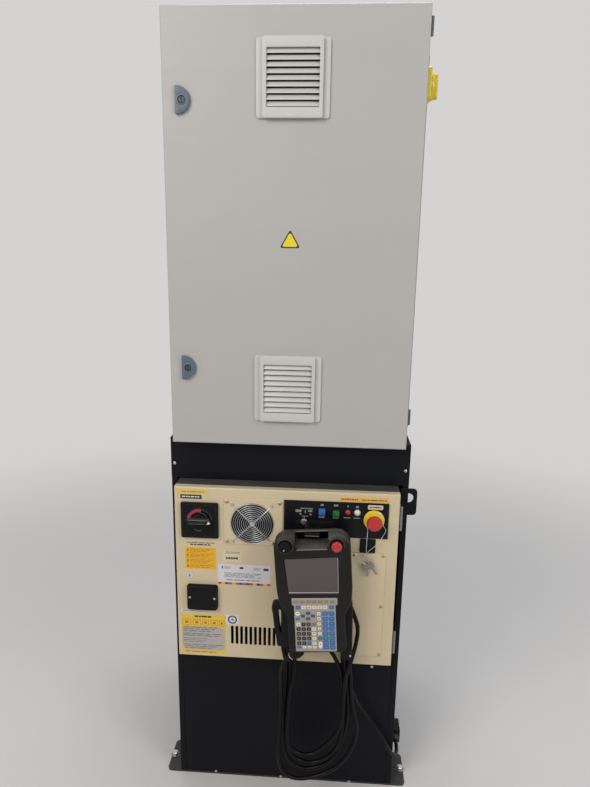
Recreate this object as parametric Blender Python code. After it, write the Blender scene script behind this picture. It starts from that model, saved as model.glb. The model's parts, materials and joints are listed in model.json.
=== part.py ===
"""Robot controller cabinet on a floor stand, with an electrical enclosure on top.

The origin is on the floor at the centre of the stand's footprint. The front faces -Y and +Z is up.
All sizes are in metres.
"""
import math

import bmesh
import bpy
from mathutils import Matrix
from mathutils import Vector

# Clearances
SEAT_GAP = 0.0003
EDGE_GAP = 0.0010
BORE_GAP = 0.0005

# Stand
STAND_DEPTH = 0.500
STAND_SHEET = 0.003
STAND_FLANGE = 0.015
BASE_THICKNESS = 0.005
FOOT_REACH = 0.042
FOOT_LENGTH = 0.115
FOOT_CORNER = 0.012
FOOT_HOLE_RADIUS = 0.006
SHELF_TOP = 0.4495
SHELF_LIP = 0.030
COVER_SHEET = 0.002
UPPER_PANEL_GAP = 0.004
UPPER_PANEL_HEIGHT = 0.111
REAR_FRAME_WIDTH = 0.649
REAR_FRAME_HEIGHT = 0.960
REAR_POST = 0.040
REAR_POST_DEPTH = 0.030

# Lifting lug
LUG_REACH = 0.023
LUG_WIDTH = 0.046
LUG_DROP = 0.078
LUG_HEIGHT = 0.074
LUG_SHEET = 0.004
LUG_CORNER = 0.010
LUG_EYE_RADIUS = 0.013
LUG_EYE_X = 0.0235
LUG_EYE_Z = 0.048

# Controller
CONTROLLER_CENTRE_X = -0.003
CONTROLLER_SIDE_ROOM = 0.024
CONTROLLER_WIDTH = 0.582
CONTROLLER_HEIGHT = 0.496
CONTROLLER_DEPTH = 0.470
CONTROLLER_PROUD = 0.060
CONTROLLER_DOOR_DEPTH = 0.020
CONTROLLER_SHEET = 0.002
CONTROLLER_EDGE_RADIUS = 0.003
SHELL_RIM = 0.012
HINGE_HEIGHT = 0.066
HINGE_INSET = 0.035
HINGE_LEAF = 0.0025
HINGE_LEAF_REACH = 0.040
HINGE_RADIUS = 0.004

# Door cut-outs, each from the door's left edge and from its bottom or top edge
VENT_COUNT = 10
VENT_WIDTH = 0.0072
VENT_HEIGHT = 0.055
VENT_PITCH = 0.0127
VENT_FROM_LEFT = 0.2063
VENT_FROM_BOTTOM = 0.0706
FAN_FROM_LEFT = 0.2043
FAN_FROM_TOP = 0.0944
FAN_DUCT_RADIUS = 0.056

# Operator panel and its pieces, placed from the panel's centre
PANEL_FROM_RIGHT = 0.1615
PANEL_FROM_TOP = 0.0727
PANEL_SIZE = (0.268, 0.097)
PANEL_SHEET = 0.003
PANEL_RIM = 0.008
STOP_PLACE = (0.0970, 0.0037)
STOP_COLLAR_RADIUS = 0.0265
STOP_COLLAR_HEIGHT = 0.004
STOP_NECK_RADIUS = 0.0135
STOP_NECK_HEIGHT = 0.010
STOP_STEM_RADIUS = 0.008
STOP_CAP_RADIUS = 0.020
STOP_CAP_HEIGHT = 0.014
STOP_TRAVEL = 0.004
STOP_CLEARANCE = 0.003
SWITCH_PLACE = (-0.0821, -0.0075)
SWITCH_RADIUS = 0.008
SWITCH_HEIGHT = 0.007
SWITCH_SLOT = 0.0020
RESET_PLACE = (-0.0363, 0.0215)
START_PLACE = (-0.0004, 0.0178)
PUSH_SIZE = 0.017
PUSH_PROUD = 0.007
PUSH_DEPTH = 0.014
RED_LAMP_PLACE = (0.0297, 0.0222)
WHITE_LAMP_PLACE = (0.0539, 0.0221)
LAMP_RADIUS = 0.0085
LAMP_HEIGHT = 0.006

# Breaker, from the door's left and top edges
BREAKER_FROM_LEFT = 0.0667
BREAKER_FROM_TOP = 0.0892
BREAKER_SIZE = 0.098
BREAKER_THICKNESS = 0.008
BREAKER_DIAL_RADIUS = 0.034
BREAKER_DIAL_HEIGHT = 0.005
BREAKER_HUB_RADIUS = 0.021
BREAKER_HUB_HEIGHT = 0.009
BREAKER_LEVER = (0.064, 0.013)
BREAKER_LEVER_HEIGHT = 0.020

# Fan
FAN_PLATE_SIZE = (0.154, 0.128)
FAN_PLATE_SHIFT = (0.0024, 0.0044)
FAN_FRAME = 0.119
FAN_FRAME_DEPTH = 0.025
FAN_HUB_RADIUS = 0.021
FAN_BLADES = 7
FAN_BLADE_SHEET = 0.0016
FAN_BLADE_CHORD = 0.024
FAN_BLADE_PITCH = math.radians(32)
GUARD_RADIUS = 0.0555
GUARD_RINGS = 9
GUARD_PITCH = 0.0055
GUARD_WIRE = 0.0018
GUARD_EAR = 0.074
GUARD_EAR_RADIUS = 0.004
GUARD_SPOKES = (45, 135, 225, 315)

# Covers on the controller door
SOCKET_FROM_LEFT = 0.0700
SOCKET_FROM_BOTTOM = 0.1846
SOCKET_SIZE = (0.083, 0.072)
SOCKET_THICKNESS = 0.014
PORT_SHIFT = 0.0838
PORT_DROP = 0.0215
PORT_SIZE = (0.040, 0.038)
PORT_THICKNESS = 0.006

# Pendant holder
HOLDER_WIDTH = 0.257
HOLDER_FROM_RIGHT = 0.029
HOLDER_FROM_BOTTOM = 0.030
HOLDER_DROP = 0.0428
HOLDER_SHEET = 0.002
HOOK_WIDTH = 0.030
HOOK_SHEET = 0.003
HOOK_LIP = 0.008
HOOK_OFFSET = 0.010
HOOK_JOGGLE = 0.005
HOOK_FOOT = 0.032
HOOK_BEND_DROP = 0.010
COIL_HOOK_WIDTH = 0.036
COIL_HOOK_FOOT = 0.060

# Pendant, in its own frame: X to the right, Z up, front at -Y
HANG_SHIFT = -0.0542
HANG_RISE = 0.0893
PENDANT_TILT = math.radians(4.3)
PENDANT_HEIGHT = 0.340
PENDANT_WIDTH = 0.190
PENDANT_FOOT_WIDTH = 0.148
PENDANT_DEPTH = 0.046
PENDANT_FRONT = 0.092
PENDANT_SHOULDER_RADIUS = 0.034
PENDANT_EDGE = 0.005
PENDANT_SIDE_DRAFT = 0.004
PENDANT_SIDE_RISE = 0.040
PENDANT_FOOT_RADIUS = 0.018
WAIST_TOP_RISE = 0.140
WAIST_BOTTOM_RISE = 0.108
CROWN_HEIGHT = 0.026
CROWN_DEPTH = 0.020
GRIP_DROP = 0.031
GRIP_WIDTH = 0.088
GRIP_HEIGHT = 0.034
GRIP_BAR_SET_BACK = 0.020
SCOOP_HEIGHT = 0.016
SCOOP_DEPTH = 0.018
SCREEN_SHIFT = -0.0044
SCREEN_DROP = 0.1236
SCREEN_SIZE = (0.136, 0.092)
SCREEN_RECESS = 0.002
KEYPAD_WIDTH = 0.114
KEYPAD_FOOT_WIDTH = 0.104
KEYPAD_HEADER = 0.018
KEYPAD_GAP = 0.0147
KEYPAD_RISE = 0.0057
KEYPAD_THICKNESS = 0.002
POD_SHIFT = 0.066
POD_DROP = 0.046
POD_RADIUS = 0.0195
POD_RECESS = 0.003
PENDANT_STOP_RADIUS = 0.013
PENDANT_STOP_HEIGHT = 0.016
PENDANT_SWITCH_RADIUS = 0.015
PENDANT_SWITCH_HEIGHT = 0.010

# Cable
CABLE_DIAMETER = 0.011
CABLE_GAP = 0.0005
COIL_SHIFT = -0.0475
COIL_DROP = 0.092
COIL_BOTTOM = 0.060
COIL_WIDTH = 0.236
COIL_BUNDLE = 0.030
COIL_THICKNESS = 0.032
BOOT_LENGTH = 0.045
BOOT_RADIUS = 0.0105
BOOT_TIP_RADIUS = 0.0075
BOOT_SHIFT = -0.052
BOOT_ANGLE = math.radians(28)
TAIL_START_Z = 0.328
GLAND_PLACE = (-0.175, 0.105)
GLAND_HOOD = (0.030, 0.050, 0.046)
GLAND_OFFSET = 0.016
GLAND_RADIUS = 0.011
GLAND_LENGTH = 0.018

# Keys
TETHER_DIAMETER = 0.0016
TETHER_PASS = 0.0040
TETHER_SPACING = 0.0028
KEY_STANDOFF = 0.008
KEY_RING_RADIUS = 0.013
KEY_RING_WIRE = 0.0018
KEY_RING_SHIFT = -0.0150
KEY_RING_DROP = 0.1060
KEY_LENGTH = 0.045
KEY_RADIUS = 0.0035
KEY_BOW_RADIUS = 0.010

# Enclosure
ENCLOSURE_WIDTH = 0.592
ENCLOSURE_HEIGHT = 1.000
ENCLOSURE_DEPTH = 0.210
ENCLOSURE_OVERHANG = 0.050
ENCLOSURE_LIFT = 0.0015
ENCLOSURE_SHEET = 0.0015
ENCLOSURE_DOOR_DEPTH = 0.020
ENCLOSURE_RIM = 0.015
ENCLOSURE_SIDE_STEP = 0.001
MOUNTING_PLATE_MARGIN = 0.025
MOUNTING_PLATE_SHEET = 0.0025
MOUNTING_BOSS = 0.012
ENCLOSURE_HINGE_RADIUS = 0.004
ENCLOSURE_HINGE_HEIGHT = 0.040
ENCLOSURE_HINGE_INSET = 0.080
LATCH_FROM_LEFT = 0.046
LATCH_FROM_TOP = 0.1934
LATCH_FROM_BOTTOM = 0.1957
LATCH_WIDTH = 0.034
LATCH_HEIGHT = 0.060
LATCH_THICKNESS = 0.007
LOCK_RADIUS = 0.008
LOCK_CAM = (0.034, 0.014)
LOCK_CAM_SHEET = 0.003
FILTER_FAN_SHIFT = 0.0005
FILTER_FAN_FROM_TOP = 0.1493
FILTER_OUTLET_SHIFT = -0.0030
FILTER_OUTLET_FROM_BOTTOM = 0.1490
FILTER_BASE_SIZE = (0.164, 0.165)
FILTER_BASE_THICKNESS = 0.004
FILTER_COVER_WIDTH = 0.134
FILTER_COVER_THICKNESS = 0.008
FILTER_FIELD_SIZE = (0.118, 0.121)
FILTER_SLOTS = 9
FILTER_SLAT = 0.0045
FILTER_HOUSING = 0.126
FILTER_HOUSING_DEPTH = 0.030
FILTER_CUTOUT_GAP = 0.001
ISOLATOR_FROM_FRONT = 0.100
ISOLATOR_FROM_TOP = 0.141
ISOLATOR_SIZE = 0.072
ISOLATOR_BASE_THICKNESS = 0.018
ISOLATOR_KNOB_RADIUS = 0.032
ISOLATOR_KNOB_THICKNESS = 0.008
ISOLATOR_GRIP = (0.056, 0.014)
ISOLATOR_GRIP_HEIGHT = 0.010

# Planes and places worked out from the sizes above
STAND_WIDTH = CONTROLLER_WIDTH + 2 * CONTROLLER_SIDE_ROOM
STAND_FRONT = -STAND_DEPTH / 2
STAND_BACK = STAND_DEPTH / 2
CONTROLLER_DOOR_FRONT = STAND_FRONT - CONTROLLER_PROUD
CONTROLLER_DOOR_BACK = CONTROLLER_DOOR_FRONT + CONTROLLER_DOOR_DEPTH
CONTROLLER_LEFT = CONTROLLER_CENTRE_X - CONTROLLER_WIDTH / 2
CONTROLLER_RIGHT = CONTROLLER_CENTRE_X + CONTROLLER_WIDTH / 2
CONTROLLER_BOTTOM = SHELF_TOP + BORE_GAP
CONTROLLER_TOP = CONTROLLER_BOTTOM + CONTROLLER_HEIGHT
UPPER_PANEL_BOTTOM = CONTROLLER_TOP + UPPER_PANEL_GAP
STAND_HEIGHT = UPPER_PANEL_BOTTOM + UPPER_PANEL_HEIGHT
LUG_LEFT = STAND_WIDTH / 2 - LUG_REACH
LUG_BOTTOM = CONTROLLER_TOP - LUG_DROP
VENT_CENTRE = (CONTROLLER_LEFT + VENT_FROM_LEFT, CONTROLLER_BOTTOM + VENT_FROM_BOTTOM)
FAN_CENTRE = (CONTROLLER_LEFT + FAN_FROM_LEFT, CONTROLLER_TOP - FAN_FROM_TOP)
FAN_PLATE_CENTRE = (FAN_CENTRE[0] + FAN_PLATE_SHIFT[0], FAN_CENTRE[1] + FAN_PLATE_SHIFT[1])
BREAKER_CENTRE = (CONTROLLER_LEFT + BREAKER_FROM_LEFT, CONTROLLER_TOP - BREAKER_FROM_TOP)
SOCKET_CENTRE = (CONTROLLER_LEFT + SOCKET_FROM_LEFT, CONTROLLER_BOTTOM + SOCKET_FROM_BOTTOM)
PANEL_CENTRE = (CONTROLLER_RIGHT - PANEL_FROM_RIGHT, CONTROLLER_TOP - PANEL_FROM_TOP)
PANEL_BOTTOM = PANEL_CENTRE[1] - PANEL_SIZE[1] / 2
STOP_CENTRE = (PANEL_CENTRE[0] + STOP_PLACE[0], PANEL_CENTRE[1] + STOP_PLACE[1])
SWITCH_CENTRE = (PANEL_CENTRE[0] + SWITCH_PLACE[0], PANEL_CENTRE[1] + SWITCH_PLACE[1])
RESET_CENTRE = (PANEL_CENTRE[0] + RESET_PLACE[0], PANEL_CENTRE[1] + RESET_PLACE[1])
START_CENTRE = (PANEL_CENTRE[0] + START_PLACE[0], PANEL_CENTRE[1] + START_PLACE[1])
RED_LAMP_CENTRE = (PANEL_CENTRE[0] + RED_LAMP_PLACE[0], PANEL_CENTRE[1] + RED_LAMP_PLACE[1])
WHITE_LAMP_CENTRE = (PANEL_CENTRE[0] + WHITE_LAMP_PLACE[0], PANEL_CENTRE[1] + WHITE_LAMP_PLACE[1])
PORT_CENTRE = (PANEL_CENTRE[0] + PORT_SHIFT, PANEL_BOTTOM - PORT_DROP)
HOLDER_RIGHT = CONTROLLER_RIGHT - HOLDER_FROM_RIGHT
HOLDER_LEFT = HOLDER_RIGHT - HOLDER_WIDTH
HOLDER_CENTRE_X = (HOLDER_LEFT + HOLDER_RIGHT) / 2
HOLDER_BOTTOM = CONTROLLER_BOTTOM + HOLDER_FROM_BOTTOM
HOLDER_TOP = PANEL_BOTTOM - HOLDER_DROP
COIL_CENTRE_X = HOLDER_CENTRE_X + COIL_SHIFT
COIL_TOP = HOLDER_TOP - COIL_DROP
KEY_RING_CENTRE = (STOP_CENTRE[0] + KEY_RING_SHIFT, STOP_CENTRE[1] - KEY_RING_DROP)
HINGE_X = CONTROLLER_RIGHT + SEAT_GAP + HINGE_LEAF / 2 + HINGE_RADIUS - EDGE_GAP / 2
HINGE_Y = CONTROLLER_DOOR_FRONT + CONTROLLER_DOOR_DEPTH / 2
DOOR_FACE = CONTROLLER_DOOR_FRONT - SEAT_GAP
PANEL_FACE = DOOR_FACE - PANEL_SHEET
ENCLOSURE_FRONT = STAND_FRONT - ENCLOSURE_OVERHANG
ENCLOSURE_BODY_FRONT = ENCLOSURE_FRONT + ENCLOSURE_DOOR_DEPTH + EDGE_GAP
ENCLOSURE_BACK = ENCLOSURE_FRONT + ENCLOSURE_DEPTH
ENCLOSURE_BOTTOM = STAND_HEIGHT + ENCLOSURE_LIFT
ENCLOSURE_HINGE_X = ENCLOSURE_WIDTH / 2 + SEAT_GAP + ENCLOSURE_HINGE_RADIUS
ENCLOSURE_HINGE_Y = ENCLOSURE_FRONT + ENCLOSURE_DOOR_DEPTH
HOLDER_FACE = DOOR_FACE - HOLDER_SHEET
COIL_BACK = HOLDER_FACE - SEAT_GAP * 5
COIL_FRONT = COIL_BACK - COIL_THICKNESS
PENDANT_FACE = CONTROLLER_DOOR_FRONT - PENDANT_FRONT
KEY_PLANE = DOOR_FACE - PORT_THICKNESS - KEY_STANDOFF
PENDANT_BACK = PENDANT_FACE + PENDANT_DEPTH
PENDANT_TOP = PENDANT_HEIGHT / 2
GRIP_CENTRE_Z = PENDANT_TOP - GRIP_DROP
GRIP_TOP = GRIP_CENTRE_Z + GRIP_HEIGHT / 2
GRIP_BOTTOM = GRIP_CENTRE_Z - GRIP_HEIGHT / 2
POD_CENTRE_Z = PENDANT_TOP - POD_DROP
SCREEN_CENTRE = (SCREEN_SHIFT, PENDANT_TOP - SCREEN_DROP)
KEYPAD_TOP = SCREEN_CENTRE[1] - SCREEN_SIZE[1] / 2 - KEYPAD_GAP
KEYPAD_BOTTOM = KEYPAD_RISE - PENDANT_TOP
HANG_POINT = (HOLDER_CENTRE_X + HANG_SHIFT, HOLDER_TOP + HANG_RISE)
PENDANT_CENTRE = (HANG_POINT[0] - HOOK_OFFSET * math.cos(PENDANT_TILT) + GRIP_TOP * math.sin(PENDANT_TILT),
                  HANG_POINT[1] - HOOK_OFFSET * math.sin(PENDANT_TILT) - GRIP_TOP * math.cos(PENDANT_TILT))
FILTER_PLACES = {
    "filter_fan_upper": (FILTER_FAN_SHIFT, ENCLOSURE_BOTTOM + ENCLOSURE_HEIGHT - FILTER_FAN_FROM_TOP),
    "filter_outlet_lower": (FILTER_OUTLET_SHIFT, ENCLOSURE_BOTTOM + FILTER_OUTLET_FROM_BOTTOM)}
LATCH_X = LATCH_FROM_LEFT - ENCLOSURE_WIDTH / 2
LOCK_PLACES = {
    "upper": (LATCH_X, ENCLOSURE_BOTTOM + ENCLOSURE_HEIGHT - LATCH_FROM_TOP),
    "lower": (LATCH_X, ENCLOSURE_BOTTOM + LATCH_FROM_BOTTOM)}

# Looks: colour, roughness, metallic
CREAM_PAINT = ((0.60, 0.47, 0.28), 0.45, 0.0)
DARK_PAINT = ((0.010, 0.012, 0.016), 0.50, 0.0)
SHELL_PAINT = ((0.05, 0.05, 0.05), 0.50, 0.0)
GREY_PAINT = ((0.52, 0.51, 0.50), 0.50, 0.0)
GREY_PLASTIC = ((0.58, 0.57, 0.55), 0.45, 0.0)
SLATE_PLASTIC = ((0.10, 0.13, 0.16), 0.45, 0.0)
BLACK_PLASTIC = ((0.012, 0.012, 0.012), 0.45, 0.0)
RED_PLASTIC = ((0.60, 0.02, 0.03), 0.35, 0.0)
YELLOW_PLASTIC = ((0.80, 0.55, 0.02), 0.40, 0.0)
BLUE_PLASTIC = ((0.02, 0.20, 0.55), 0.35, 0.0)
GREEN_PLASTIC = ((0.02, 0.25, 0.06), 0.35, 0.0)
WHITE_PLASTIC = ((0.75, 0.75, 0.72), 0.35, 0.0)
SCREEN_GLASS = ((0.09, 0.08, 0.08), 0.15, 0.0)
KEYPAD_FILM = ((0.55, 0.54, 0.50), 0.45, 0.0)
CABLE_JACKET = ((0.010, 0.010, 0.010), 0.55, 0.0)
BRIGHT_STEEL = ((0.60, 0.60, 0.58), 0.30, 1.0)
ZINC_PLATE = ((0.55, 0.56, 0.57), 0.40, 1.0)


def clear_scene():
    """Remove every object that the scene starts with."""
    for old in list(bpy.data.objects):
        bpy.data.objects.remove(old, do_unlink=True)


def make_material(name, look):
    """Return a Principled material of one colour, roughness and metallic value."""
    colour, roughness, metallic = look
    material = bpy.data.materials.new(name)
    material.use_nodes = True
    shader = material.node_tree.nodes["Principled BSDF"]
    shader.inputs["Base Color"].default_value = (*colour, 1.0)
    shader.inputs["Roughness"].default_value = roughness
    shader.inputs["Metallic"].default_value = metallic
    return material


def make_piece(name, mesh_builder, look, smooth=False):
    """Turn a bmesh into a named object with a material of its own."""
    bmesh.ops.recalc_face_normals(mesh_builder, faces=mesh_builder.faces)
    mesh = bpy.data.meshes.new(name)
    mesh_builder.to_mesh(mesh)
    mesh_builder.free()
    piece = bpy.data.objects.new(name, mesh)
    bpy.context.scene.collection.objects.link(piece)
    if look is not None:
        mesh.materials.append(make_material(name + "_finish", look))
    if smooth:
        smooth_round_faces(piece)
    return piece


def smooth_round_faces(piece):
    """Shade a round piece smooth and keep its edges sharp."""
    piece.data.shade_smooth()
    piece.data.set_sharp_from_angle(angle=math.radians(40))


def combine(piece, tools, operation):
    """Join or cut a piece with each tool in turn, and remove the tools."""
    for tool in tools:
        change = piece.modifiers.new(operation.lower(), "BOOLEAN")
        change.operation = operation
        change.solver = "EXACT"
        change.object = tool
        settle(piece)
        bpy.data.objects.remove(tool, do_unlink=True)
    return piece


def settle(piece):
    """Replace a piece's mesh by what its modifiers make of it."""
    bpy.context.view_layer.update()
    graph = bpy.context.evaluated_depsgraph_get()
    result = bpy.data.meshes.new_from_object(piece.evaluated_get(graph))
    piece.modifiers.clear()
    piece.data = result
    return piece


def join(piece, *tools):
    """Fuse tools into a piece."""
    return combine(piece, tools, "UNION")


def cut(piece, *tools):
    """Cut tools out of a piece."""
    return combine(piece, tools, "DIFFERENCE")


def box_mesh(low, high):
    """Return a bmesh box between two corners."""
    mesh_builder = bmesh.new()
    bmesh.ops.create_cube(mesh_builder, size=1.0)
    size = Vector(high) - Vector(low)
    middle = (Vector(high) + Vector(low)) / 2
    bmesh.ops.scale(mesh_builder, vec=size, verts=mesh_builder.verts)
    bmesh.ops.translate(mesh_builder, vec=middle, verts=mesh_builder.verts)
    return mesh_builder


def box(name, low, high, look=None):
    """Return a box as a piece, or as a tool when it has no look."""
    return make_piece(name, box_mesh(low, high), look)


def rectangle(centre, size):
    """Return the four corners of a rectangle."""
    half_wide = size[0] / 2
    half_high = size[1] / 2
    return [(centre[0] - half_wide, centre[1] - half_high), (centre[0] + half_wide, centre[1] - half_high),
            (centre[0] + half_wide, centre[1] + half_high), (centre[0] - half_wide, centre[1] + half_high)]


def arc(centre, radius, start, end, steps):
    """Return points along an arc, angles in degrees."""
    points = []
    for step in range(steps + 1):
        angle = math.radians(start + (end - start) * step / steps)
        points.append((centre[0] + radius * math.cos(angle), centre[1] + radius * math.sin(angle)))
    return points


def circle(centre, radius, sides):
    """Return points around a circle."""
    return arc(centre, radius, 0, 360 - 360 / sides, sides - 1)


def rounded_rectangle(centre, size, radius, steps=3):
    """Return the outline of a rectangle with round corners."""
    across = size[0] / 2 - radius
    up = size[1] / 2 - radius
    points = []
    for sign_x, sign_z, start in ((1, -1, -90), (1, 1, 0), (-1, 1, 90), (-1, -1, 180)):
        corner = (centre[0] + sign_x * across, centre[1] + sign_z * up)
        points.extend(arc(corner, radius, start, start + 90, steps))
    return points


def lay_point(point, axis, place):
    """Place a sketch point in the plane square to an axis."""
    if axis == "X":
        return (place, point[0], point[1])
    if axis == "Y":
        return (point[0], place, point[1])
    return (point[0], point[1], place)


def prism(name, outline, axis, start, end, look=None, holes=(), smooth=False):
    """Extrude an outline, with its holes, from start to end along an axis."""
    mesh_builder = bmesh.new()
    edges = []
    for loop in (outline, *holes):
        ring = [mesh_builder.verts.new(lay_point(point, axis, start)) for point in loop]
        for index, vertex in enumerate(ring):
            edges.append(mesh_builder.edges.new((ring[index - 1], vertex)))
    bmesh.ops.triangle_fill(mesh_builder, use_beauty=True, edges=edges)
    if not holes:
        bmesh.ops.dissolve_limit(mesh_builder, angle_limit=0.01, verts=mesh_builder.verts,
                                 edges=mesh_builder.edges)
    grown = bmesh.ops.extrude_face_region(mesh_builder, geom=list(mesh_builder.faces))
    moved = [item for item in grown["geom"] if isinstance(item, bmesh.types.BMVert)]
    travel = Vector(lay_point((0.0, 0.0), axis, end - start))
    bmesh.ops.translate(mesh_builder, vec=travel, verts=moved)
    return make_piece(name, mesh_builder, look, smooth)


def turned(name, profile, centre, look=None, sides=24, axis="Y"):
    """Revolve a profile of (radius, distance) points about an axis through a centre.

    The distance runs along -Y for axis Y, along +X for axis X and along +Z for axis Z.
    """
    mesh_builder = bmesh.new()
    rings = []
    for radius, distance in profile:
        if radius == 0:
            rings.append([mesh_builder.verts.new((0, 0, distance))])
            continue
        rings.append([mesh_builder.verts.new((x, y, distance)) for x, y in circle((0, 0), radius, sides)])
    closed = profile[0][0] != 0
    pairs = list(zip(rings, rings[1:]))
    if closed:
        pairs.append((rings[-1], rings[0]))
    for lower, upper in pairs:
        bridge_rings(mesh_builder, lower, upper, sides)
    turns = {"X": Matrix.Rotation(math.pi / 2, 4, "Y"), "Y": Matrix.Rotation(math.pi / 2, 4, "X"),
             "Z": Matrix.Identity(4)}
    mesh_builder.transform(Matrix.Translation(centre) @ turns[axis])
    return make_piece(name, mesh_builder, look, smooth=True)


def bridge_rings(mesh_builder, lower, upper, sides):
    """Join two rings of a turned piece, either of which may be a single point."""
    for index in range(sides):
        following = (index + 1) % sides
        corners = []
        for ring, order in ((lower, (index, following)), (upper, (following, index))):
            if len(ring) == 1:
                corners.append(ring[0])
            else:
                corners.extend(ring[place] for place in order)
        if len(corners) > 2:
            mesh_builder.faces.new(corners)


def smooth_route(points, spacing):
    """Return points at an even spacing along a smooth curve through the route's own points."""
    dense = []
    padded = [points[0] * 2 - points[1], *points, points[-1] * 2 - points[-2]]
    for index in range(1, len(padded) - 2):
        before, first, second, after = padded[index - 1:index + 3]
        for step in range(24):
            dense.append(spline_point(before, first, second, after, step / 24))
    dense.append(points[-1])
    lengths = [0.0]
    for first, second in zip(dense, dense[1:]):
        lengths.append(lengths[-1] + (second - first).length)
    count = max(2, round(lengths[-1] / spacing))
    route = []
    place = 0
    for step in range(count + 1):
        target = lengths[-1] * step / count
        while place < len(lengths) - 2 and lengths[place + 1] < target:
            place += 1
        share = (target - lengths[place]) / (lengths[place + 1] - lengths[place])
        route.append(dense[place].lerp(dense[place + 1], share))
    return route


def spline_point(before, first, second, after, share):
    """Return a point between first and second on a Catmull-Rom curve."""
    return (first * 2 + (second - before) * share
            + (before * 2 - first * 5 + second * 4 - after) * share ** 2
            + (first * 3 - before - second * 3 + after) * share ** 3) / 2


def tube(name, points, diameter, spacing, look):
    """Return a round tube along a smooth route."""
    route = smooth_route([Vector(point) for point in points], spacing)
    curve = bpy.data.curves.new(name, "CURVE")
    curve.dimensions = "3D"
    curve.bevel_depth = diameter / 2
    curve.bevel_resolution = 2
    curve.use_fill_caps = True
    spline = curve.splines.new("POLY")
    spline.points.add(len(route) - 1)
    for item, place in zip(spline.points, route):
        item.co = (*place, 1.0)
    curve.materials.append(make_material(name + "_finish", look))
    piece = bpy.data.objects.new(name, curve)
    bpy.context.scene.collection.objects.link(piece)
    return piece


def set_origin(piece, place):
    """Move a piece's origin to its joint's axis without moving the piece."""
    piece.data.transform(Matrix.Translation(-Vector(place)))
    piece.location = place


def build_base_plate():
    """Floor plate with an anchor tab at each corner."""
    half_wide = STAND_WIDTH / 2
    reach = half_wide + FOOT_REACH
    front = STAND_FRONT
    tabs = ((front, front + FOOT_LENGTH), (STAND_BACK - FOOT_LENGTH, STAND_BACK))
    right = []
    for low, high in tabs:
        right.append((half_wide, low))
        right.extend(arc((reach - FOOT_CORNER, low + FOOT_CORNER), FOOT_CORNER, -90, 0, 3))
        right.extend(arc((reach - FOOT_CORNER, high - FOOT_CORNER), FOOT_CORNER, 0, 90, 3))
        right.append((half_wide, high))
    left = [(-x, y) for x, y in reversed(right)]
    holes = []
    for low, high in tabs:
        for side in (-1, 1):
            centre = (side * (half_wide + FOOT_REACH / 2), (low + high) / 2)
            holes.append(circle(centre, FOOT_HOLE_RADIUS, 12))
    return prism("base_plate", right + left, "Z", 0.0, BASE_THICKNESS, DARK_PAINT, holes)


def build_stand_side(name, side):
    """Side sheet with a return flange at the front and the rear."""
    outer = STAND_WIDTH / 2
    inner = outer - STAND_SHEET
    flange = outer - STAND_FLANGE
    half_deep = STAND_DEPTH / 2
    behind_flange = half_deep - STAND_SHEET
    profile = [(outer, -half_deep), (outer, half_deep), (flange, half_deep), (flange, behind_flange),
               (inner, behind_flange), (inner, -behind_flange), (flange, -behind_flange),
               (flange, -half_deep)]
    outline = [(side * x, y) for x, y in profile]
    bottom = BASE_THICKNESS + SEAT_GAP
    top = STAND_HEIGHT - STAND_SHEET - SEAT_GAP
    return prism(name, outline, "Z", bottom, top, DARK_PAINT)


def build_stand_top():
    """Flat top sheet that the enclosure stands on."""
    outline = rectangle((0.0, 0.0), (STAND_WIDTH, STAND_DEPTH))
    return prism("stand_top", outline, "Z", STAND_HEIGHT - STAND_SHEET, STAND_HEIGHT, DARK_PAINT)


def build_shelf():
    """Shelf under the controller, with a lip folded down at the front and the rear."""
    front = STAND_FRONT + STAND_SHEET + SEAT_GAP
    back = -front
    under = SHELF_TOP - STAND_SHEET
    foot = SHELF_TOP - SHELF_LIP
    outline = [(front, foot), (front + STAND_SHEET, foot), (front + STAND_SHEET, under),
               (back - STAND_SHEET, under), (back - STAND_SHEET, foot), (back, foot),
               (back, SHELF_TOP), (front, SHELF_TOP)]
    half_wide = STAND_WIDTH / 2 - STAND_SHEET - SEAT_GAP
    return prism("shelf", outline, "X", -half_wide, half_wide, DARK_PAINT)


def build_lower_panel():
    """Cover below the controller, flush between the side flanges."""
    half_wide = STAND_WIDTH / 2 - STAND_FLANGE - EDGE_GAP
    low = (-half_wide, STAND_FRONT, BASE_THICKNESS + EDGE_GAP)
    high = (half_wide, STAND_FRONT + STAND_SHEET, SHELF_TOP - EDGE_GAP)
    return box("lower_panel", low, high, DARK_PAINT)


def build_upper_panel():
    """Cover between the controller and the enclosure, screwed on the side flanges."""
    half_wide = STAND_WIDTH / 2
    back = STAND_FRONT - SEAT_GAP
    low = (-half_wide, back - COVER_SHEET, UPPER_PANEL_BOTTOM)
    return box("upper_panel", low, (half_wide, back, STAND_HEIGHT), DARK_PAINT)


def build_stand_back():
    """Plain rear cover of the stand."""
    half_wide = STAND_WIDTH / 2
    front = STAND_BACK + SEAT_GAP
    low = (-half_wide, front, BASE_THICKNESS + SEAT_GAP)
    return box("stand_back", low, (half_wide, front + COVER_SHEET, STAND_HEIGHT), DARK_PAINT)


def build_rear_frame():
    """Welded frame of two posts and three bars behind the enclosure."""
    bottom = STAND_HEIGHT + SEAT_GAP
    front = ENCLOSURE_BACK + SEAT_GAP
    outline = rectangle((0.0, bottom + REAR_FRAME_HEIGHT / 2), (REAR_FRAME_WIDTH, REAR_FRAME_HEIGHT))
    window_high = (REAR_FRAME_HEIGHT - 3 * REAR_POST) / 2
    window_wide = REAR_FRAME_WIDTH - 2 * REAR_POST
    holes = []
    for row in range(2):
        middle = bottom + REAR_POST + window_high / 2 + row * (window_high + REAR_POST)
        holes.append(rectangle((0.0, middle), (window_wide, window_high)))
    return prism("rear_frame", outline, "Y", front, front + REAR_POST_DEPTH, DARK_PAINT, holes)


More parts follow.
